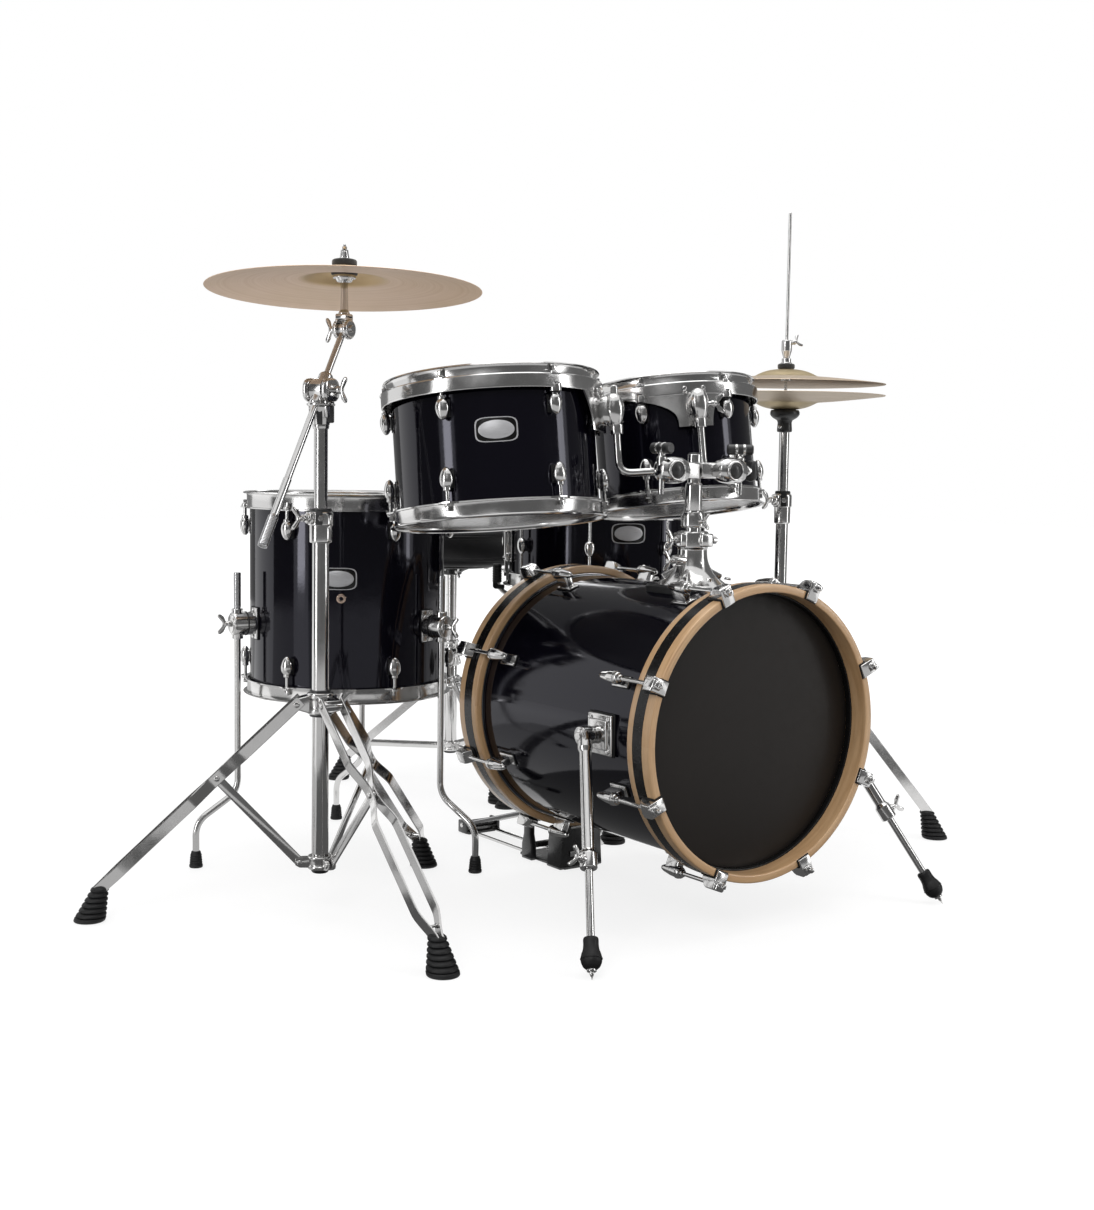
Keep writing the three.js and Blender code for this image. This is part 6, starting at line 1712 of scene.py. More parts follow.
def tread(length, half_near, half_far, thickness, ribs, studs):
    """A footboard along +X from its heel: an edged plate with cross ribs and rows of studs."""
    def half_at(x):
        return half_near + (half_far - half_near) * smooth(x / length)
    line = [(x, -half_at(x)) for x in [length * k / 10 for k in range(11)]]
    corner = [(length + 6, -half_far + 5), (length + 8, 0), (length + 6, half_far - 5)]
    line += corner + [(x, half_at(x)) for x in [length * k / 10 for k in range(10, -1, -1)]]
    plate = slab(line, thickness, 1.2, 2)
    border = []
    for side in (-1, 1):
        path = [
            vec(x, side * (half_at(x) - 2.4), thickness / 2 + 0.6)
            for x in [6 + (length - 12) * k / 10 for k in range(11)]
        ]
        border.append(flat_bar(path, vec(0, 1, 0), 3.2, 2.6, 0.6))
    cross = [
        place(brick(4.2, 2 * half_at(x) - 12, 2.6, 0.8), shift(x, 0, thickness / 2 + 0.8))
        for x in [length * (0.12 + 0.8 * k / ribs) for k in range(ribs + 1)]
    ]
    dots = []
    for k in range(ribs):
        x = length * (0.12 + 0.8 * (k + 0.5) / ribs)
        for j in range(studs):
            y = (j - (studs - 1) / 2) * (2 * half_at(x) - 18) / max(1, studs - 1)
            dots.append(
                place(
                    solid_turn([(0, 0), (2.6, 0), (2.0, 1.8), (0, 2.0)], 0.5, 14),
                    shift(x, y, thickness / 2 - 0.2)
                )
            )
    return plate, merge(*border, *cross, *dots)


def hi_hat():
    h = HAT
    at_stand = shift(h["x"], h["y"], 0)
    chrome, black = fixed_tripod(h, 180)
    spin = turn(h["way"])
    bracket_z, heel_x, board, cup_low, rod_top = h["bracket"], h["heel"], h["board"], h["cup_low"], h[
        "rod_top"
    ]
    frame_forms = [place(brick(30, 56, 26, 4, 3), spin @ shift(0, 0, bracket_z))]
    frame_forms.append(
        place(solid_turn([(0, 0), (14, 0), (16, 4), (16, 14), (0, 14)], 1.2, 40), shift(0, 0, bracket_z + 8))
    )
    rails = []
    for side in (-1, 1):
        frame_forms.append(
            place(
                slab([(-13, 4), (13, 4), (11, 60), (9, 122), (-9, 122), (-11, 60)], 7, 1.8, 3),
                spin @ UPRIGHT @ shift(0, 0, -side * 25)
            )
        )
        rails.append(place(brick(heel_x - 6, 7.6, 7.6, 1.4, 2), spin @ shift((heel_x - 6) / 2, side * 25, 4)))
        frame_forms.append(
            hexagon(spin @ vec(0, side * 28, bracket_z), spin @ vec(0, side * 33, bracket_z), 10)
        )
        rails.append(place(brick(15, 7.4, 25, 2.2, 3), spin @ shift(heel_x, side * 32, 12.6)))
    heel = place(
        slab([(-22, -36), (22, -33), (25, -20), (25, 20), (22, 33), (-22, 36)], 7.6, 1.6, 3),
        spin @ shift(heel_x, 0, 4)
    )
    pads = [
        place(disc(7, 0, 2.2, 0.6, 24), spin @ shift(x, side * 25, 0)) for x in (8, 150) for side in (-1, 1)
    ]
    stop = place(brick(20, 44, 3, 1, 2), spin @ shift(0, 0, 5))
    piece(
        "hi_hat_base", "kit_base",
        [
            (merge(*chrome, *frame_forms), CHROME), (merge(*black, *pads), RUBBER),
            (merge(heel, stop, *rails), BLACK_PAINT)
        ],
        at_stand
    )
    # footboard, in its own hinge's frame with +X towards the tube
    hinge = at_stand @ spin @ shift(heel_x, 0, h["hinge"]) @ turn(180)
    plate, grips = tread(board - 8, h["board_half"] - 4, h["board_half"], 5.4, 9, 5)
    pin = rod(vec(0, -31.4, 0), vec(0, 31.4, 0), 4.6, 0.5, 24)
    barrel = rod(vec(0, -26, 0), vec(0, 26, 0), 7.2, 0.8, 28)
    slope = turn(-h["slope"], "Y")
    link = place(
        merge(
            place(brick(16, 12, 8, 1.6, 2), shift(board - 12, 0, 5)),
            rod(vec(board - 12, -9, 6), vec(board - 12, 9, 6), 2.4, 0.4, 16)
        ),
        slope
    )
    piece(
        "hi_hat_footboard", "hi_hat_footboard",
        [
            (merge(place(plate, slope), barrel), BLACK_PAINT), (place(grips, slope), STEEL),
            (merge(pin, link), CHROME)
        ],
        hinge
    )
    # upper tube with the seat cup and the lower cymbal
    top = h["cup_top"]
    pipe = open_tube(h["upper"], 4, h["upper_low"], top - 10)
    cup_line = [
        (4.3, cup_low), (13, cup_low), (13.6, cup_low + 3), (12.6, cup_low + 17), (14, cup_low + 21),
        (22, top - 14), (25.6, top - 10), (26, top - 2), (24.6, top), (4.3, top), (4.3, cup_low + 0.1)
    ]
    cup = turned(rounded(cup_line, 1.4, 4), 64, loop=True)
    seat = felt_disc(20, top - 0.6, top + 1.6)
    ring = closed_ring(
        [(26.0, top - 9), (26.5, top - 8), (26.5, top - 4), (26.0, top - 3), (25.2, top - 6)], 0.3, 64
    )
    grub = screw_head(polar(12.4, 190, cup_low + 9), polar(1, 190), 3.4, 4.5)
    piece(
        "hi_hat_upper_tube", "hi_hat_upper",
        [(merge(pipe, grub), CHROME), (merge(cup, ring), PLASTIC), (seat, FELT)], at_stand
    )
    low_cymbal = at_stand @ shift(0, 0, h["low_edge"]) @ turn(180, "X")
    piece(
        "hi_hat_bottom_cymbal", "hi_hat_upper", [(cymbal_form(*HAT_CYMBAL), HAT_METAL)], low_cymbal,
    )
    # pull rod with clutch and felts
    bell = h["top_edge"] + 26
    upper_felt, lower_felt = felt_disc(15.4, bell + 0.3, bell + 9.6), felt_disc(15.2, bell - 14, bell - 3)
    rod_form = rod(vec(0, 0, h["rod_low"]), vec(0, 0, rod_top), h["rod"], 0.8, 24)
    thread = turned(
        [(0, bell - 20)] + [
            (5.4 + (0.35 if k % 2 else 0), bell - 20 + k * 0.75) for k in range(52)
        ] + [(0, bell + 19.5)],
        28
    )
    lock = disc(9.5, bell - 21, bell - 14, 1.0, 32)
    nuts = solid_turn(
        [
            (0, bell + 9.4), (10.5, bell + 9.4), (10.5, bell + 11.4), (8.2, bell + 12), (8.2, bell + 19),
            (0, bell + 19)
        ],
        0.7, 40
    )
    barrel = solid_turn(
        [
            (0, bell + 18), (5.6, bell + 18), (6.4, bell + 23), (9.2, bell + 33), (9.2, bell + 50),
            (8.2, bell + 52), (0, bell + 52)
        ],
        1.0, 40
    )
    clutch_screw = wing(polar(5, -35, bell + 45), polar(11, -35, bell + 47.5), 26, 15, 4.0, 3.8, 70)
    clevis = place(brick(12, 14, 15, 2, 2), shift(0, 0, h["rod_low"] + 5))
    cap = turned([(0, rod_top - 1), (2.8, rod_top - 1), (2.0, rod_top + 0.2), (0, rod_top + 0.4)], 20)
    piece(
        "hi_hat_pull_rod", "hi_hat_rod",
        [
            (merge(rod_form, lock, nuts, barrel, clutch_screw, clevis, cap), CHROME), (thread, STEEL),
            (merge(upper_felt, lower_felt), FELT)
        ],
        at_stand
    )
    high_cymbal = at_stand @ shift(0, 0, h["top_edge"])
    piece(
        "hi_hat_top_cymbal", "hi_hat_rod", [(cymbal_form(*HAT_CYMBAL), HAT_METAL)], high_cymbal,
    )


# Snare drum and its stand
SNARE = {
    "x": 252, "y": 481, "foot": 195, "collar": 236, "bracket": 60, "azimuths": [0, 120, 240], "lower": 12.5,
    "bore": 10.6, "top": 300, "clamp": 30, "share": 0.52, "upper": 10, "upper_low": 180, "upper_top": 362,
    "drum": 526, "basket": 396, "radius": 178, "depth": 140, "strainer": -22.5, "arms": [148, 28, -92]
}


def strainer(azimuth):
    """The cast strainer or butt plate on the snare's wall, with the strap down to the wires."""
    r = SNARE["radius"]
    spin = turn(azimuth)
    base = place(brick(3, 30, 66, 1.3, 3), spin @ shift(r + 1.8, 0, 0))
    body = place(brick(13, 22, 52, 4, 4), spin @ shift(r + 8, 0, 0))
    lower = place(brick(10, 26, 16, 3, 3), spin @ shift(r + 7.5, 0, -24))
    knob = aimed(
        turned(rounded([(0, 0), (6.8, 0), (6.8, 9), (0, 9)], 1.0), 24), spin @ vec(r + 8, 0, 25),
        spin @ vec(r + 8, 0, 40)
    )
    heads = [
        screw_head(spin @ vec(r + 3.2, dy, dz), spin.to_3x3() @ vec(1, 0, 0), 3.0, 2.0) for dy,
        dz in ((-11.5, 29), (11.5, 29), (-11.5, -29), (11.5, -29))
    ]
    strap_form = place(brick(0.9, 18, 40, 0.3), spin @ shift(r + 7, 0, -48))
    screws = [
        screw_head(spin @ vec(r + 12.4, dy, -24), spin.to_3x3() @ vec(1, 0, 0), 2.8, 2.0) for dy in (-7, 7)
    ]
    return merge(base, body, lower, knob, *heads, *screws), strap_form


def snare():
    s = SNARE
    radius, depth, strainer_at = s["radius"], s["depth"], s["strainer"]
    chrome, black = fixed_tripod(s, -60)
    at_stand = shift(s["x"], s["y"], 0)
    piece(
        "snare_stand_base", "kit_base", [(merge(*chrome), CHROME), (merge(*black), RUBBER)], at_stand,
    )
    pivot = s["basket"]
    cheeks = []
    for side in (-1, 1):
        cheeks.append(
            aimed(
                solid_turn([(0, 0), (13, 0), (13, 4.2), (11, 5.6), (0, 5.6)], 1.0, 40),
                vec(0, side * 10.3, pivot), vec(0, side * 30, pivot)
            )
        )
        cheeks.append(
            place(
                slab([(-8, pivot - 44), (8, pivot - 44), (8.5, pivot), (-8.5, pivot)], 4.6, 1.6, 3),
                UPRIGHT @ shift(0, 0, side * 12.7)
            )
        )
        cheeks.append(hexagon(vec(0, side * 15.8, pivot), vec(0, side * 20, pivot), 10))
    seat = place(brick(18, 31, 12, 3, 3), shift(0, 0, s["upper_top"] - 6))
    piece(
        "snare_stand_post", "snare_post",
        [(merge(tube_run(s["upper"], s["upper_low"], s["upper_top"]), seat, *cheeks), CHROME)], at_stand,
    )
    # basket, in the frame of its tilt
    at_basket = at_stand @ shift(0, 0, pivot)
    hub = aimed(disc(16.6, 0, 20, 1.0, 48), vec(0, -10, 0), vec(0, 10, 0))
    neck = disc(10, 4, 24, 1.0, 40)
    plate = solid_turn([(0, 24), (24, 24), (27, 27), (27, 35), (24, 38), (0, 38)], 1.4, 56)
    grip_radius = radius + 3 + 10 + 9 + 0.3
    hoop_low = s["drum"] - depth / 2 - 8 - pivot
    tip_low = hoop_low - 9 + 13
    arms, grips = [], []
    for azimuth in s["arms"]:
        spin = turn(azimuth)
        line = bent([vec(6, 0, 31.5), vec(grip_radius, 0, 31.5), vec(grip_radius, 0, tip_low + 30)], 36, 10)
        arms.append(place(tube(line, 4.6, 24), spin))
        arms.append(place(brick(20, 13, 13, 2.4, 2), spin @ shift(26, 0, 31.5)))
        ribs = [(0, 0), (7.6, 0), (8.8, 2)]
        for k in range(6):
            z = 4 + k * 4.6
            ribs += [(8.9, z), (8.1, z + 0.8), (8.1, z + 1.8), (8.9, z + 2.6)]
        ribs += [(8.6, 33), (6.6, 35.5), (0, 36)]
        grips.append(place(turned(rounded(ribs, 0.4, 2), 32), spin @ shift(grip_radius, 0, tip_low - 1)))
        hook = place(
            slab([(-14, -8.6), (4, -8.6), (8, -5), (8, 8), (0, 8), (-2, -0.6), (-14, -0.6)], 11, 1.6, 3),
            spin @ shift(grip_radius, 0, hoop_low - 0.2) @ UPRIGHT
        )
        grips.append(hook)
    piece(
        "snare_stand_basket", "snare_drum",
        [(merge(hub, neck, plate, *arms), CHROME), (merge(*grips), RUBBER)], at_basket
    )
    # drum
    centre = shift(s["x"], s["y"], s["drum"])
    azimuths = lugs_at(8, 0)
    parts = drum_shell(radius, depth, 6) + badge(radius, -113, 28)
    metal, strap_form = strainer(strainer_at)
    butt, butt_strap = strainer(strainer_at + 180)
    parts += [(merge(metal, butt), CHROME), (merge(strap_form, butt_strap), PLASTIC)]
    lug = merge(
        place(egg(8.4, 9.5, 15), shift(radius + LUG["reach"], 0, 0)),
        place(brick(LUG["reach"] + 1, 11, 20, 2.2, 3), shift(radius + LUG["reach"] / 2, 0, 0))
    )
    parts.append((merge(*[place(lug, turn(a)) for a in azimuths]), CHROME))
    piece("snare_shell", "snare_drum", parts, centre)
    piece(
        "snare_top_hoop", "snare_drum", hoop_parts(radius, depth, 26, azimuths, lugs=False), centre
    )
    piece(
        "snare_batter_head", "snare_drum", head_parts(radius, depth / 2, radius + 2.6, WHITE_FILM), centre,
    )
    low = hoop_parts(radius, depth, 26, azimuths, True, lugs=False) + head_parts(
        radius, depth / 2, radius + 2.6, CLEAR_FILM, True
    )
    spin = turn(strainer_at)
    wires = []
    for k in range(20):
        y = (k - 9.5) * 2.05
        wires.append(rod(spin @ vec(-150, y, -73.2), spin @ vec(150, y, -73.2), 0.75, 0.1, 8))
    ends = [place(brick(14, 42, 1.6, 0.5), spin @ shift(x, 0, -73.4)) for x in (-156, 156)]
    tapes = [place(brick(18, 20, 0.7, 0.2), spin @ shift(x, 0, -74.2)) for x in (-168, 168)]
    piece(
        "snare_bottom_hoop", "snare_drum", low + [(merge(*wires, *ends), STEEL), (merge(*tapes), PLASTIC)],
        centre
    )
    lever_at = centre @ Matrix.Translation(polar(radius + 14 + 3.3, strainer_at)) @ spin
    pin = rod(vec(0, -13, 0), vec(0, 13, 0), 3, 0.4, 20)
    blade = place(
        slab(
            [
                (-3.4, 0), (-3.2, 44), (-1.0, 54), (3.2, 60), (5.0, 59), (3.2, 50), (2.4, 40), (2.6, 0),
                (0.5, -3.6), (-2.0, -3)
            ],
            13.5, 1.2, 2
        ),
        UPRIGHT
    )
    tip = place(brick(5, 14.4, 14, 2, 3), shift(2.6, 0, 53) @ turn(14, "Y"))
    piece(
        "snare_throw_off_lever", "throw_off_lever", [(merge(pin, blade), CHROME), (tip, PLASTIC)], lever_at,
    )


# Throne
STOOL = {
    "x": 198, "y": 933, "foot": 236, "collar": 212, "bracket": 77, "azimuths": [142.5, 262.5, 22.5],
    "lower": 13, "bore": 11.2, "top": 282, "clamp": 34, "share": 0.78, "upper": 10.5, "upper_low": 150,
    "upper_top": 447, "seat": 465, "seat_radius": 152, "thick": 82
}


def cushion(radius, low, high):
    """A crowned round cushion: its side pulls in between two piped seams and creases towards them."""
    count = FINE
    side_low, side_high = low + 13, high - 21
    verts, rings = [], []

    def ripple(a, amount, folds, phase):
        return amount * (
            0.6 * math.sin(folds * a + phase) + 0.4 * math.sin((folds * 2 + 3) * a + 1.7 * phase)
        )

    def ring(r, z, wave=0.0, lift=0.0, folds=23):
        points = []
        for k in range(count):
            a = 2 * math.pi * k / count
            rr = r + ripple(a, wave, folds, z * 0.13)
            verts.append(vec(rr * math.cos(a), rr * math.sin(a), z + ripple(a, lift, 9, 0.7)))
            points.append(len(verts) - 1)
        rings.append(points)

    verts.append(vec(0, 0, low))
    bottom = 0
    for r in (0.35, 0.7, 0.88):
        ring(radius * r, low)
    ring(radius - 12, low + 0.4)
    ring(radius - 5, low + 3.4, 0.15)
    ring(radius - 1.4, low + 8)
    ring(radius - 0.6, side_low - 1.2, 0.1)
    ring(radius - 1.8, side_low + 0.6, 0.2)
    steps = 12
    for k in range(1, steps):
        t = k / steps
        pull = 7.0 * math.sin(math.pi * t) ** 0.8
        ring(
            radius - 1.2 - pull, side_low + (side_high - side_low) * t, 0.55 * math.sin(math.pi * t) + 0.35,
            0.25
        )
    ring(radius - 1.8, side_high - 0.6, 0.25, 0.2)
    ring(radius - 0.6, side_high + 1.4, 0.15, 0.2)
    for t in (0.12, 0.3, 0.5, 0.7, 0.86):
        a = t * math.pi / 2
        ring(radius - 16 + 15.6 * math.cos(a), side_high + 1.4 + 11.6 * math.sin(a), 0.35 * (1 - t), 0.3)
    edge = radius - 16
    for t in (1.0, 0.9, 0.78, 0.64, 0.5, 0.36, 0.22, 0.1):
        ring(edge * t, side_high + 13 + (high - side_high - 13) * (1 - t * t), 0.0, 0.35 * t)
    verts.append(vec(0, 0, high))
    top = len(verts) - 1
    faces = []
    for k in range(count):
        j = (k + 1) % count
        faces.append((bottom, rings[0][j], rings[0][k]))
        faces.append((top, rings[-1][k], rings[-1][j]))
        for a, b in zip(rings, rings[1:]):
            faces.append((a[k], a[j], b[j], b[k]))
    return (verts, faces), side_low, side_high


def throne():
    t = STOOL
    upper, seat_radius = t["upper"], t["seat_radius"]
    at = shift(t["x"], t["y"], 0)
    chrome, black = fixed_tripod(t, -100)
    lock = place(collar_form(upper + 0.7, 17, 0, 16), shift(0, 0, 286))
    lock_screw = wing(polar(13, -100, 294), polar(19, -100, 294), 28, 18, 4.2, 4.2)
    piece(
        "throne_base", "kit_base", [(merge(*chrome, lock, lock_screw), CHROME), (merge(*black), RUBBER)], at,
    )
    ridge = [
        place(
            turned(
                rounded([(upper - 0.2, 0), (upper + 0.4, 0.4), (upper + 0.4, 1.6), (upper - 0.2, 2)], 0.2), 40
            ),
            shift(0, 0, z)
        )
        for z in range(324, 420, 24)
    ]
    piece(
        "throne_post", "throne_post",
        [(merge(tube_run(upper, t["upper_low"], t["upper_top"]), *ridge), CHROME)], at
    )
    low, high = t["seat"], t["seat"] + t["thick"]
    (verts, faces), seam_low, seam_high = cushion(seat_radius - 0.5, low, high)
    piping = [
        turned(
            [
                (seat_radius - 1.4 + 2.3 * math.cos(math.radians(a)), z + 2.3 * math.sin(math.radians(a)))
                for a in range(0, 360, 30)
            ],
            FINE, loop=True
        )
        for z in (seam_low, seam_high)
    ]
    stitches = []
    for z in (seam_low + 4.6, seam_high - 4.6, seam_high + 5.0):
        r = seat_radius - (2.6 if z < seam_high else 1.4)
        for k in range(150):
            a = 360 / 150 * k
            stitches.append(place(brick(0.9, 3.6, 0.9, 0.3, 1), turn(a) @ shift(r + 0.15, 0, z)))
    plate = solid_turn([(0, low - 8), (86, low - 8), (88, low - 6), (88, low + 1), (0, low + 1)], 1.2, 72)
    hub = solid_turn(
        [(0, low - 25), (19, low - 25), (21, low - 23), (21, low - 12), (24, low - 8), (0, low - 8)], 1.6, 48
    )
    ribs = merge(
        *[
            place(
                slab([(18, low - 24), (30, low - 18), (62, low - 9), (62, low - 7), (18, low - 7)], 4, 0.9),
                turn(a) @ UPRIGHT
            )
            for a in (0, 90, 180, 270)
        ]
    )
    bolts = merge(
        *[
            place(hexagon(vec(74, 0, low - 11.5), vec(74, 0, low - 7.6), 9), turn(a))
            for a in (45, 135, 225, 315)
        ]
    )
    seat_screw = wing(polar(16, -100, low - 17), polar(25, -100, low - 17), 28, 19, 4.2, 4.2)
    pad = piece(
        "throne_seat", "throne_seat",
        [
            ((verts, faces), VINYL), (merge(*piping), VINYL), (merge(*stitches), THREAD),
            (merge(plate, hub, ribs), BLACK_PAINT), (merge(bolts, seat_screw), CHROME)
        ],
        at, crease=40
    )


# Bass pedal
PEDAL = {
    "heel": 514, "thick": 5, "post_x": 42, "axle_y": 292, "axle_z": 196, "beater": 168, "lean": 36,
    "riser_y": 218, "board": 232, "slope": 17, "hinge": 15
}


def pedal():
    p = PEDAL
    axle_y, axle_z, heel, riser_y, thick, board = p["axle_y"], p["axle_z"], p["heel"], p[
        "riser_y"
    ], p["thick"], p["board"]
    front, back = riser_y - 22, heel + 15
    base = merge(
        place(
            slab([(-36, front), (36, front), (37, 326), (-37, 326)], thick, 1.2, 3), shift(0, 0, thick / 2)
        ),
        place(
            slab(
                [
                    (-34, back - 34), (34, back - 34), (37, back - 14), (32, back), (-32, back),
                    (-37, back - 14)
                ],
                thick, 1.2, 3
            ),
            shift(0, 0, thick / 2)
        )
    )
    rails = merge(
        *[rod(vec(side * 24, 300, 3.4), vec(side * 24, back - 20, 3.4), 3.0, 0.5, 20) for side in (-1, 1)]
    )
    riser_top = BASS["axis"] - BASS["outer"] - 0.3
    riser = place(
        slab(
            [
                (-44, 0), (44, 0), (40, riser_top - 14), (30, riser_top - 5), (30, riser_top),
                (-30, riser_top), (-30, riser_top - 5), (-40, riser_top - 14)
            ],
            40, 2.2, 3
        ),
        shift(0, riser_y, 0) @ turn(90, "X")
    )
    jaw = place(brick(46, 42, 5, 1.4, 2), shift(0, riser_y, riser_top - 2.6))
    key = wing(vec(30, riser_y + 6, 40), vec(46, riser_y + 6, 40), 32, 20, 4.6, 4.6)
    columns, metal = [], []
    for side in (-1, 1):
        x = side * p["post_x"]
        column = [
            (-15, 0), (15, 0), (15, 26), (9.5, 44), (8, axle_z - 26), (11.5, axle_z - 12), (11.5, axle_z + 4),
            (6.5, axle_z + 10.6), (-6.5, axle_z + 10.6), (-11.5, axle_z + 4), (-11.5, axle_z - 12),
            (-8, axle_z - 26), (-9.5, 44), (-15, 26)
        ]
        columns.append(place(slab(column, 11, 2.2, 3), shift(x, axle_y, 0) @ turn(90) @ turn(90, "X")))
        metal.append(
            aimed(
                closed_ring([(5.8, 0), (9.6, 0), (9.6, 1.8), (8.4, 2.6), (5.8, 2.6), (5.8, 0.1)], 0.4, 36),
                vec(x + side * 5.2, axle_y, axle_z), vec(x + side * 20, axle_y, axle_z)
            )
        )
        columns.append(place(brick(6, 28, 23, 2, 3), shift(side * 34, heel, 11.6)))
        metal.append(screw_head(vec(side * 37, heel, p["hinge"]), vec(side, 0, 0), 4.4, 2.6))
    bridge = place(brick(72, 12, 9, 2.2, 3), shift(0, axle_y - 9, 26))
    spring_x = p["post_x"] + 12
    spring = []
    for k in range(220):
        a = math.radians(k * 30)
        spring.append(vec(spring_x + 4.6 * math.cos(a), axle_y + 4.6 * math.sin(a), 70 + k * 0.34))
    coil = tube(spring, 0.95, 8)
    hooks = merge(
        rod(vec(spring_x, axle_y, 144), vec(spring_x, axle_y, 168), 1.2, 0.2, 12),
        rod(vec(spring_x, axle_y, 40), vec(spring_x, axle_y, 71), 2.0, 0.3, 16)
    )
    lug_form = place(brick(16, 12, 10, 2, 3), shift(spring_x - 5, axle_y, 40))
    nuts = merge(
        hexagon(vec(spring_x, axle_y, 45), vec(spring_x, axle_y, 50), 8),
        hexagon(vec(spring_x, axle_y, 30), vec(spring_x, axle_y, 35), 8)
    )
    strip = place(brick(50, 1.6, 9, 0.5), shift(0, front - 0.2, 26))
    piece(
        "bass_pedal_frame", "kit_base",
        [
            (merge(base, riser, *columns, bridge, lug_form), BLACK_PAINT),
            (merge(jaw, key, *metal, hooks, nuts, strip, rails), CHROME), (coil, STEEL)
        ],
        None
    )
    hinge = shift(0, heel, p["hinge"]) @ turn(-90)
    plate, grips = tread(board - 8, 30, 33, 5.4, 8, 5)
    slope = turn(-p["slope"], "Y")
    pin = rod(vec(0, -33.4, 0), vec(0, 33.4, 0), 4.8, 0.5, 24)
    barrel = rod(vec(0, -29.5, 0), vec(0, 29.5, 0), 7.4, 0.8, 28)
    link = place(
        merge(
            place(brick(12, 17, 8, 1.8, 2), shift(board - 8, 0, 5)),
            rod(vec(board - 6, -11, 7), vec(board - 6, 11, 7), 2.6, 0.4, 16)
        ),
        slope
    )
    piece(
        "bass_pedal_footboard", "bass_footboard",
        [
            (merge(place(plate, slope), barrel), BLACK_PAINT), (place(grips, slope), STEEL),
            (merge(pin, link), CHROME)
        ],
        hinge
    )
    # beater, in the axle's frame
    axle_at = shift(0, axle_y, axle_z)
    lean = math.radians(p["lean"])
    reach = lambda d: vec(0, d * math.sin(lean), d * math.cos(lean))
    axle = hexagon(vec(-47.6, 0, 0), vec(47.6, 0, 0), 9)
    cam_line = [
        (25.6 * math.cos(math.radians(a)), 25.6 * math.sin(math.radians(a))) for a in range(0, 360, 9)
    ]
    cam = place(slab(cam_line, 11, 1.2, 2), turn(90, "Y"))
    groove = aimed(
        turned(
            [
                (24.4, -2.6), (26.4, -4.6), (26.4, -5.4), (23.4, -5.4), (23.4, 5.4), (26.4, 5.4), (26.4, 4.6),
                (24.4, 2.6)
            ],
            48, loop=True
        ),
        vec(0, 0, 0), vec(1, 0, 0)
    )
    hub = rod(vec(-11, 0, 0), vec(11, 0, 0), 10.5, 1.2, 36)
    socket = aimed(
        solid_turn([(0, 0), (7.5, 0), (7.5, 24), (6.2, 26), (0, 26)], 0.8, 28), vec(0, 0, 0), reach(20)
    )
    grip_screw = screw_head(reach(17) + vec(7, 0, 0), vec(1, 0, 0), 3.6, 4.5)
    shaft = rod(reach(4), reach(p["beater"]), 3.4, 0.8, 24)
    across = vec(0, math.cos(lean), -math.sin(lean))
    middle = reach(p["beater"] - 22)
    core = aimed(disc(10.5, 0, 44, 1.6, 36), middle + across * 21, middle - across * 21)
    face = aimed(
        turned(rounded([(0, 0), (18.5, 0), (21.6, 6), (21.6, 24), (19, 30), (0, 30)], 3.5, 6), 48),
        middle - across * 21, middle + across * 9
    )
    backing = aimed(
        solid_turn([(0, 0), (19, 0), (15.5, 7), (0, 9)], 1.4, 40), middle + across * 8.4, middle + across * 21
    )
    piece(
        "bass_pedal_beater", "bass_beater",
        [
            (merge(axle, hub, socket, grip_screw, shaft), CHROME), (merge(cam, groove), BLACK_PAINT),
            (face, GREY_FELT), (merge(core, backing), PLASTIC)
        ],
        axle_at
    )


bass_drum()
tom_post()
for name in TOMS:
    hung_tom(name)
floor_tom()
crash_stand()
hi_hat()
snare()
throne()
pedal()


# Floor, light and camera
def matt_material(name, grey):
    """An even grey without any shine, and the shader that its glow is set on."""
    material, tree, shader = tree_of(name)
    shader.inputs["Base Color"].default_value = (grey, grey, grey, 1)
    shader.inputs["Roughness"].default_value = 0.9
    shader.inputs["Specular IOR Level"].default_value = 0.0
    return material, tree, shader


def sight(tree):
    """One for a ray of the camera, or for one that is reflected or let through, and zero for the rest."""
    path = add(tree, "ShaderNodeLightPath")
    bent_ray = arithmetic(tree, "ADD", path.outputs["Is Glossy Ray"], path.outputs["Is Transmission Ray"])
    return arithmetic(tree, "ADD", path.outputs["Is Camera Ray"], bent_ray)


def studio():
    world = bpy.data.worlds.new("studio")
    world.use_nodes = True
    tree = world.node_tree
    shader = tree.nodes["Background"]
    strength = between(tree, sight(tree), (0.0, 1.0), (WORLD["diffuse"], WORLD["seen"]))
    tree.links.new(strength, shader.inputs["Strength"])
    shader.inputs["Color"].default_value = (1, 1, 1, 1)
    bpy.context.scene.world = world


def white_floor():
    mesh = bpy.data.meshes.new("floor")
    s = 14.0
    mesh.from_pydata([(-s, -s, 0), (s, -s, 0), (s, s, 0), (-s, s, 0)], [], [(0, 1, 2, 3)])
    floor = bpy.data.objects.new("floor", mesh)
    bpy.context.scene.collection.objects.link(floor)
    material, tree, shader = matt_material("white_floor", FLOOR_TONE["albedo"])
    shader.inputs["Emission Color"].default_value = (1, 1, 1, 1)
    radius, _, _ = axis_radius(tree)
    rise = between(tree, radius, (1.0, 2.6), (FLOOR_TONE["glow"], 1.0), "SMOOTHSTEP")
    seen = arithmetic(tree, "MINIMUM", sight(tree), 1.0)
    tree.links.new(arithmetic(tree, "MULTIPLY", seen, rise), shader.inputs["Emission Strength"])
    mesh.materials.append(material)
    floor.location.z = -0.0006


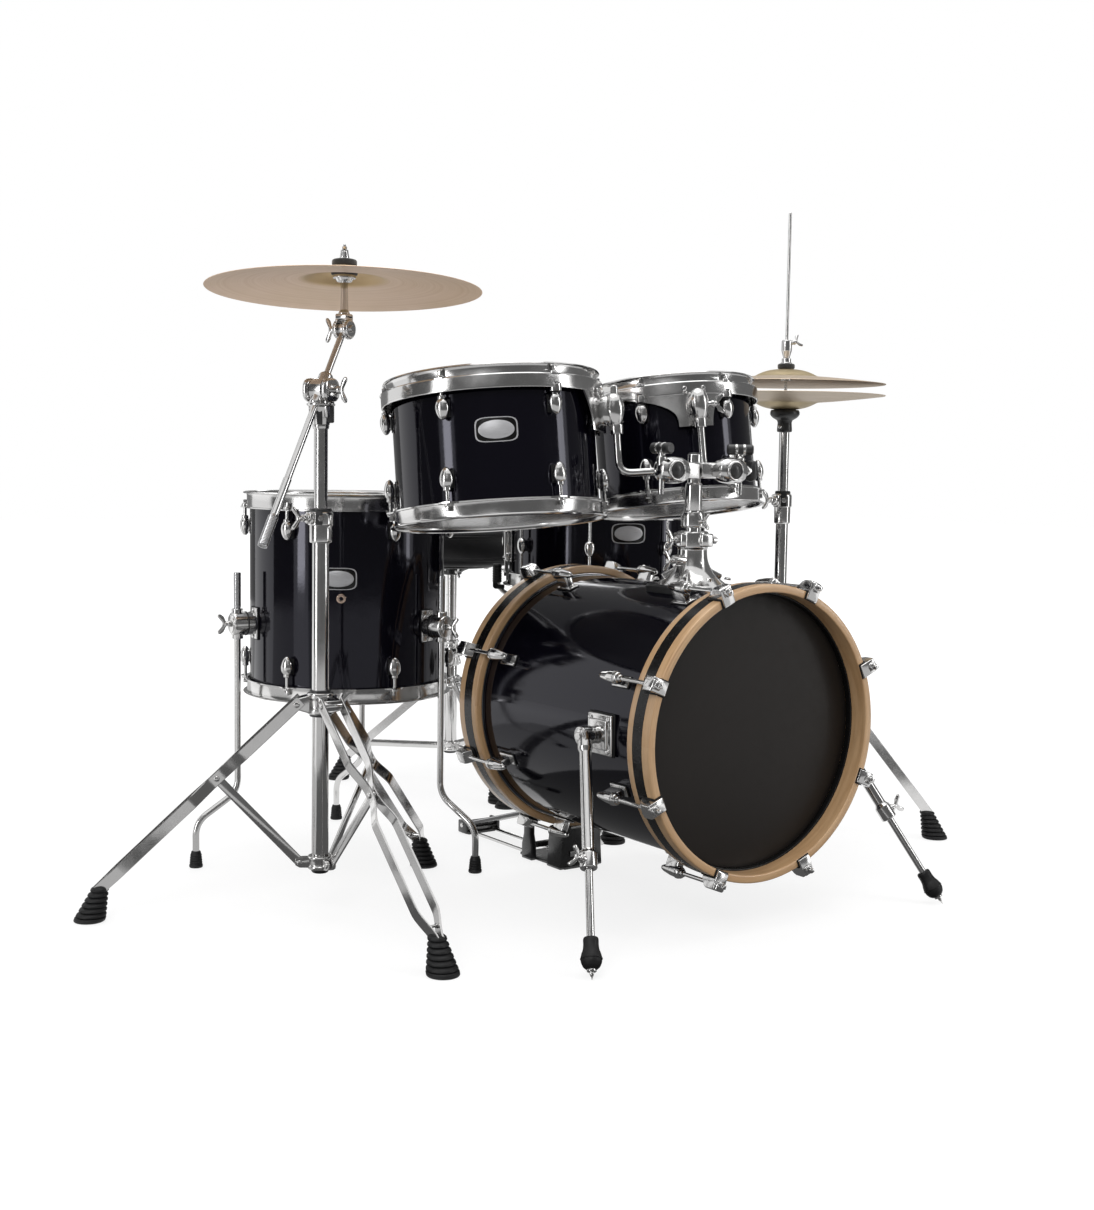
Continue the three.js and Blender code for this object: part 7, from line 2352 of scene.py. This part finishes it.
def lamp(name, at, size, power):
    data = bpy.data.lights.new(name, "AREA")
    data.shape = "RECTANGLE"
    data.size, data.size_y = size
    data.energy = power
    made = bpy.data.objects.new(name, data)
    bpy.context.scene.collection.objects.link(made)
    made.location = at
    made.rotation_euler = (Vector(KIT_MIDDLE) - Vector(at)).to_track_quat("-Z", "Y").to_euler()
    made.visible_camera = False


def painted_reflection(name, start, end, line, grey):
    """A painted reflection: a curved glowing sheet that only reflections see and that lights nothing, an (r,
    z) line in metres swept between two angles.
    """
    steps = max(2, round((end - start) / 4))
    mesh = bpy.data.meshes.new(name)
    verts = [polar(r, start + (end - start) * i / steps, z) for i in range(steps + 1) for r, z in line]
    n = len(line)
    faces = [
        (i * n + k, (i + 1) * n + k, (i + 1) * n + k + 1, i * n + k + 1) for i in range(steps)
        for k in range(n - 1)
    ]
    mesh.from_pydata(verts, [], faces)
    reflection_glow, _, shader = matt_material(name + "_reflection_glow", 0)
    shader.inputs["Emission Color"].default_value = (grey, grey, grey, 1)
    shader.inputs["Emission Strength"].default_value = 1.0
    mesh.materials.append(reflection_glow)
    made = bpy.data.objects.new(name, mesh)
    bpy.context.scene.collection.objects.link(made)
    made.visible_camera = made.visible_diffuse = made.visible_shadow = False


KIT_MIDDLE = (0, 0, 0.5)
FLOOR_TONE = {"albedo": 0.24, "glow": 0.80}
# (r, z) lines in metres of the glowing sheets that only reflections see: the wall, ground and near-floor
# sheets are painted dark and grey reflections, and the strip is a painted highlight
WALL, GROUND = [(5.0, 0.01), (5.0, 2.7), (3.4, 3.7)], [(1.15, 0.01), (5.0, 0.01)]
NEAR_FLOOR_LINE, HIGHLIGHT_LINE = [(0.1, 0.004), (1.15, 0.004)], [(5.2, 0.1), (5.2, 2.9)]
# Start angle, end angle and glow of each screen, a painted dark reflection
SCREENS = {
    "front": (-166, -52, 0.13), "right": (-38, 20, 0.16), "back": (24, 106, 0.22), "left": (147, 176, 0.10)
}
WORLD = {"diffuse": 0.55, "seen": 1.0}
CAMERA = {
    "at": (-1.5425, -2.3426, 0.6820), "right": (0.8152, -0.5789, 0.0147), "up": (0.0398, 0.0813, 0.9959),
    "back": (-0.5777, -0.8113, 0.0893), "lens": 48.06
}

studio()
white_floor()
lamp("key", (-3.6, -3.4, 3.6), (2.4, 2.4), 110)
lamp("fill", (2.8, -4.2, 2.4), (1.6, 2.6), 60)
lamp("top", (0, 0, 4.4), (3.2, 3.2), 70)
lamp("back", (1.5, 4.6, 2.6), (3.0, 1.6), 50)
# Screens, ground sheets and floor patches that glow and that only reflections see: painted dark and grey
# reflections, which light nothing
for name, (start, end, grey) in SCREENS.items():
    painted_reflection("reflected_screen_" + name, start, end, WALL, grey)
    painted_reflection("reflected_ground_" + name, start, end, GROUND, 0.62)
painted_reflection("reflected_floor_left", 140, 200, NEAR_FLOOR_LINE, 0.6)
painted_reflection("reflected_floor_front", 200, 300, NEAR_FLOOR_LINE, 0.12)
# Two bright glowing strips that only reflections see: painted highlight bars in the lacquer and chrome, which
# light nothing
painted_reflection("painted_highlight_left", 181, 190, HIGHLIGHT_LINE, 8.0)
painted_reflection("painted_highlight_right", -48, -43, HIGHLIGHT_LINE, 5.0)

camera = bpy.data.objects.new("camera", bpy.data.cameras.new("camera"))
camera.data.lens = CAMERA["lens"]
camera.data.sensor_width = 36
axes = Matrix([CAMERA["right"], CAMERA["up"], CAMERA["back"]]).transposed().to_4x4()
axes.translation = CAMERA["at"]
camera.matrix_world = axes
bpy.context.scene.collection.objects.link(camera)
bpy.context.scene.camera = camera
bpy.context.scene.view_settings.view_transform = "Standard"
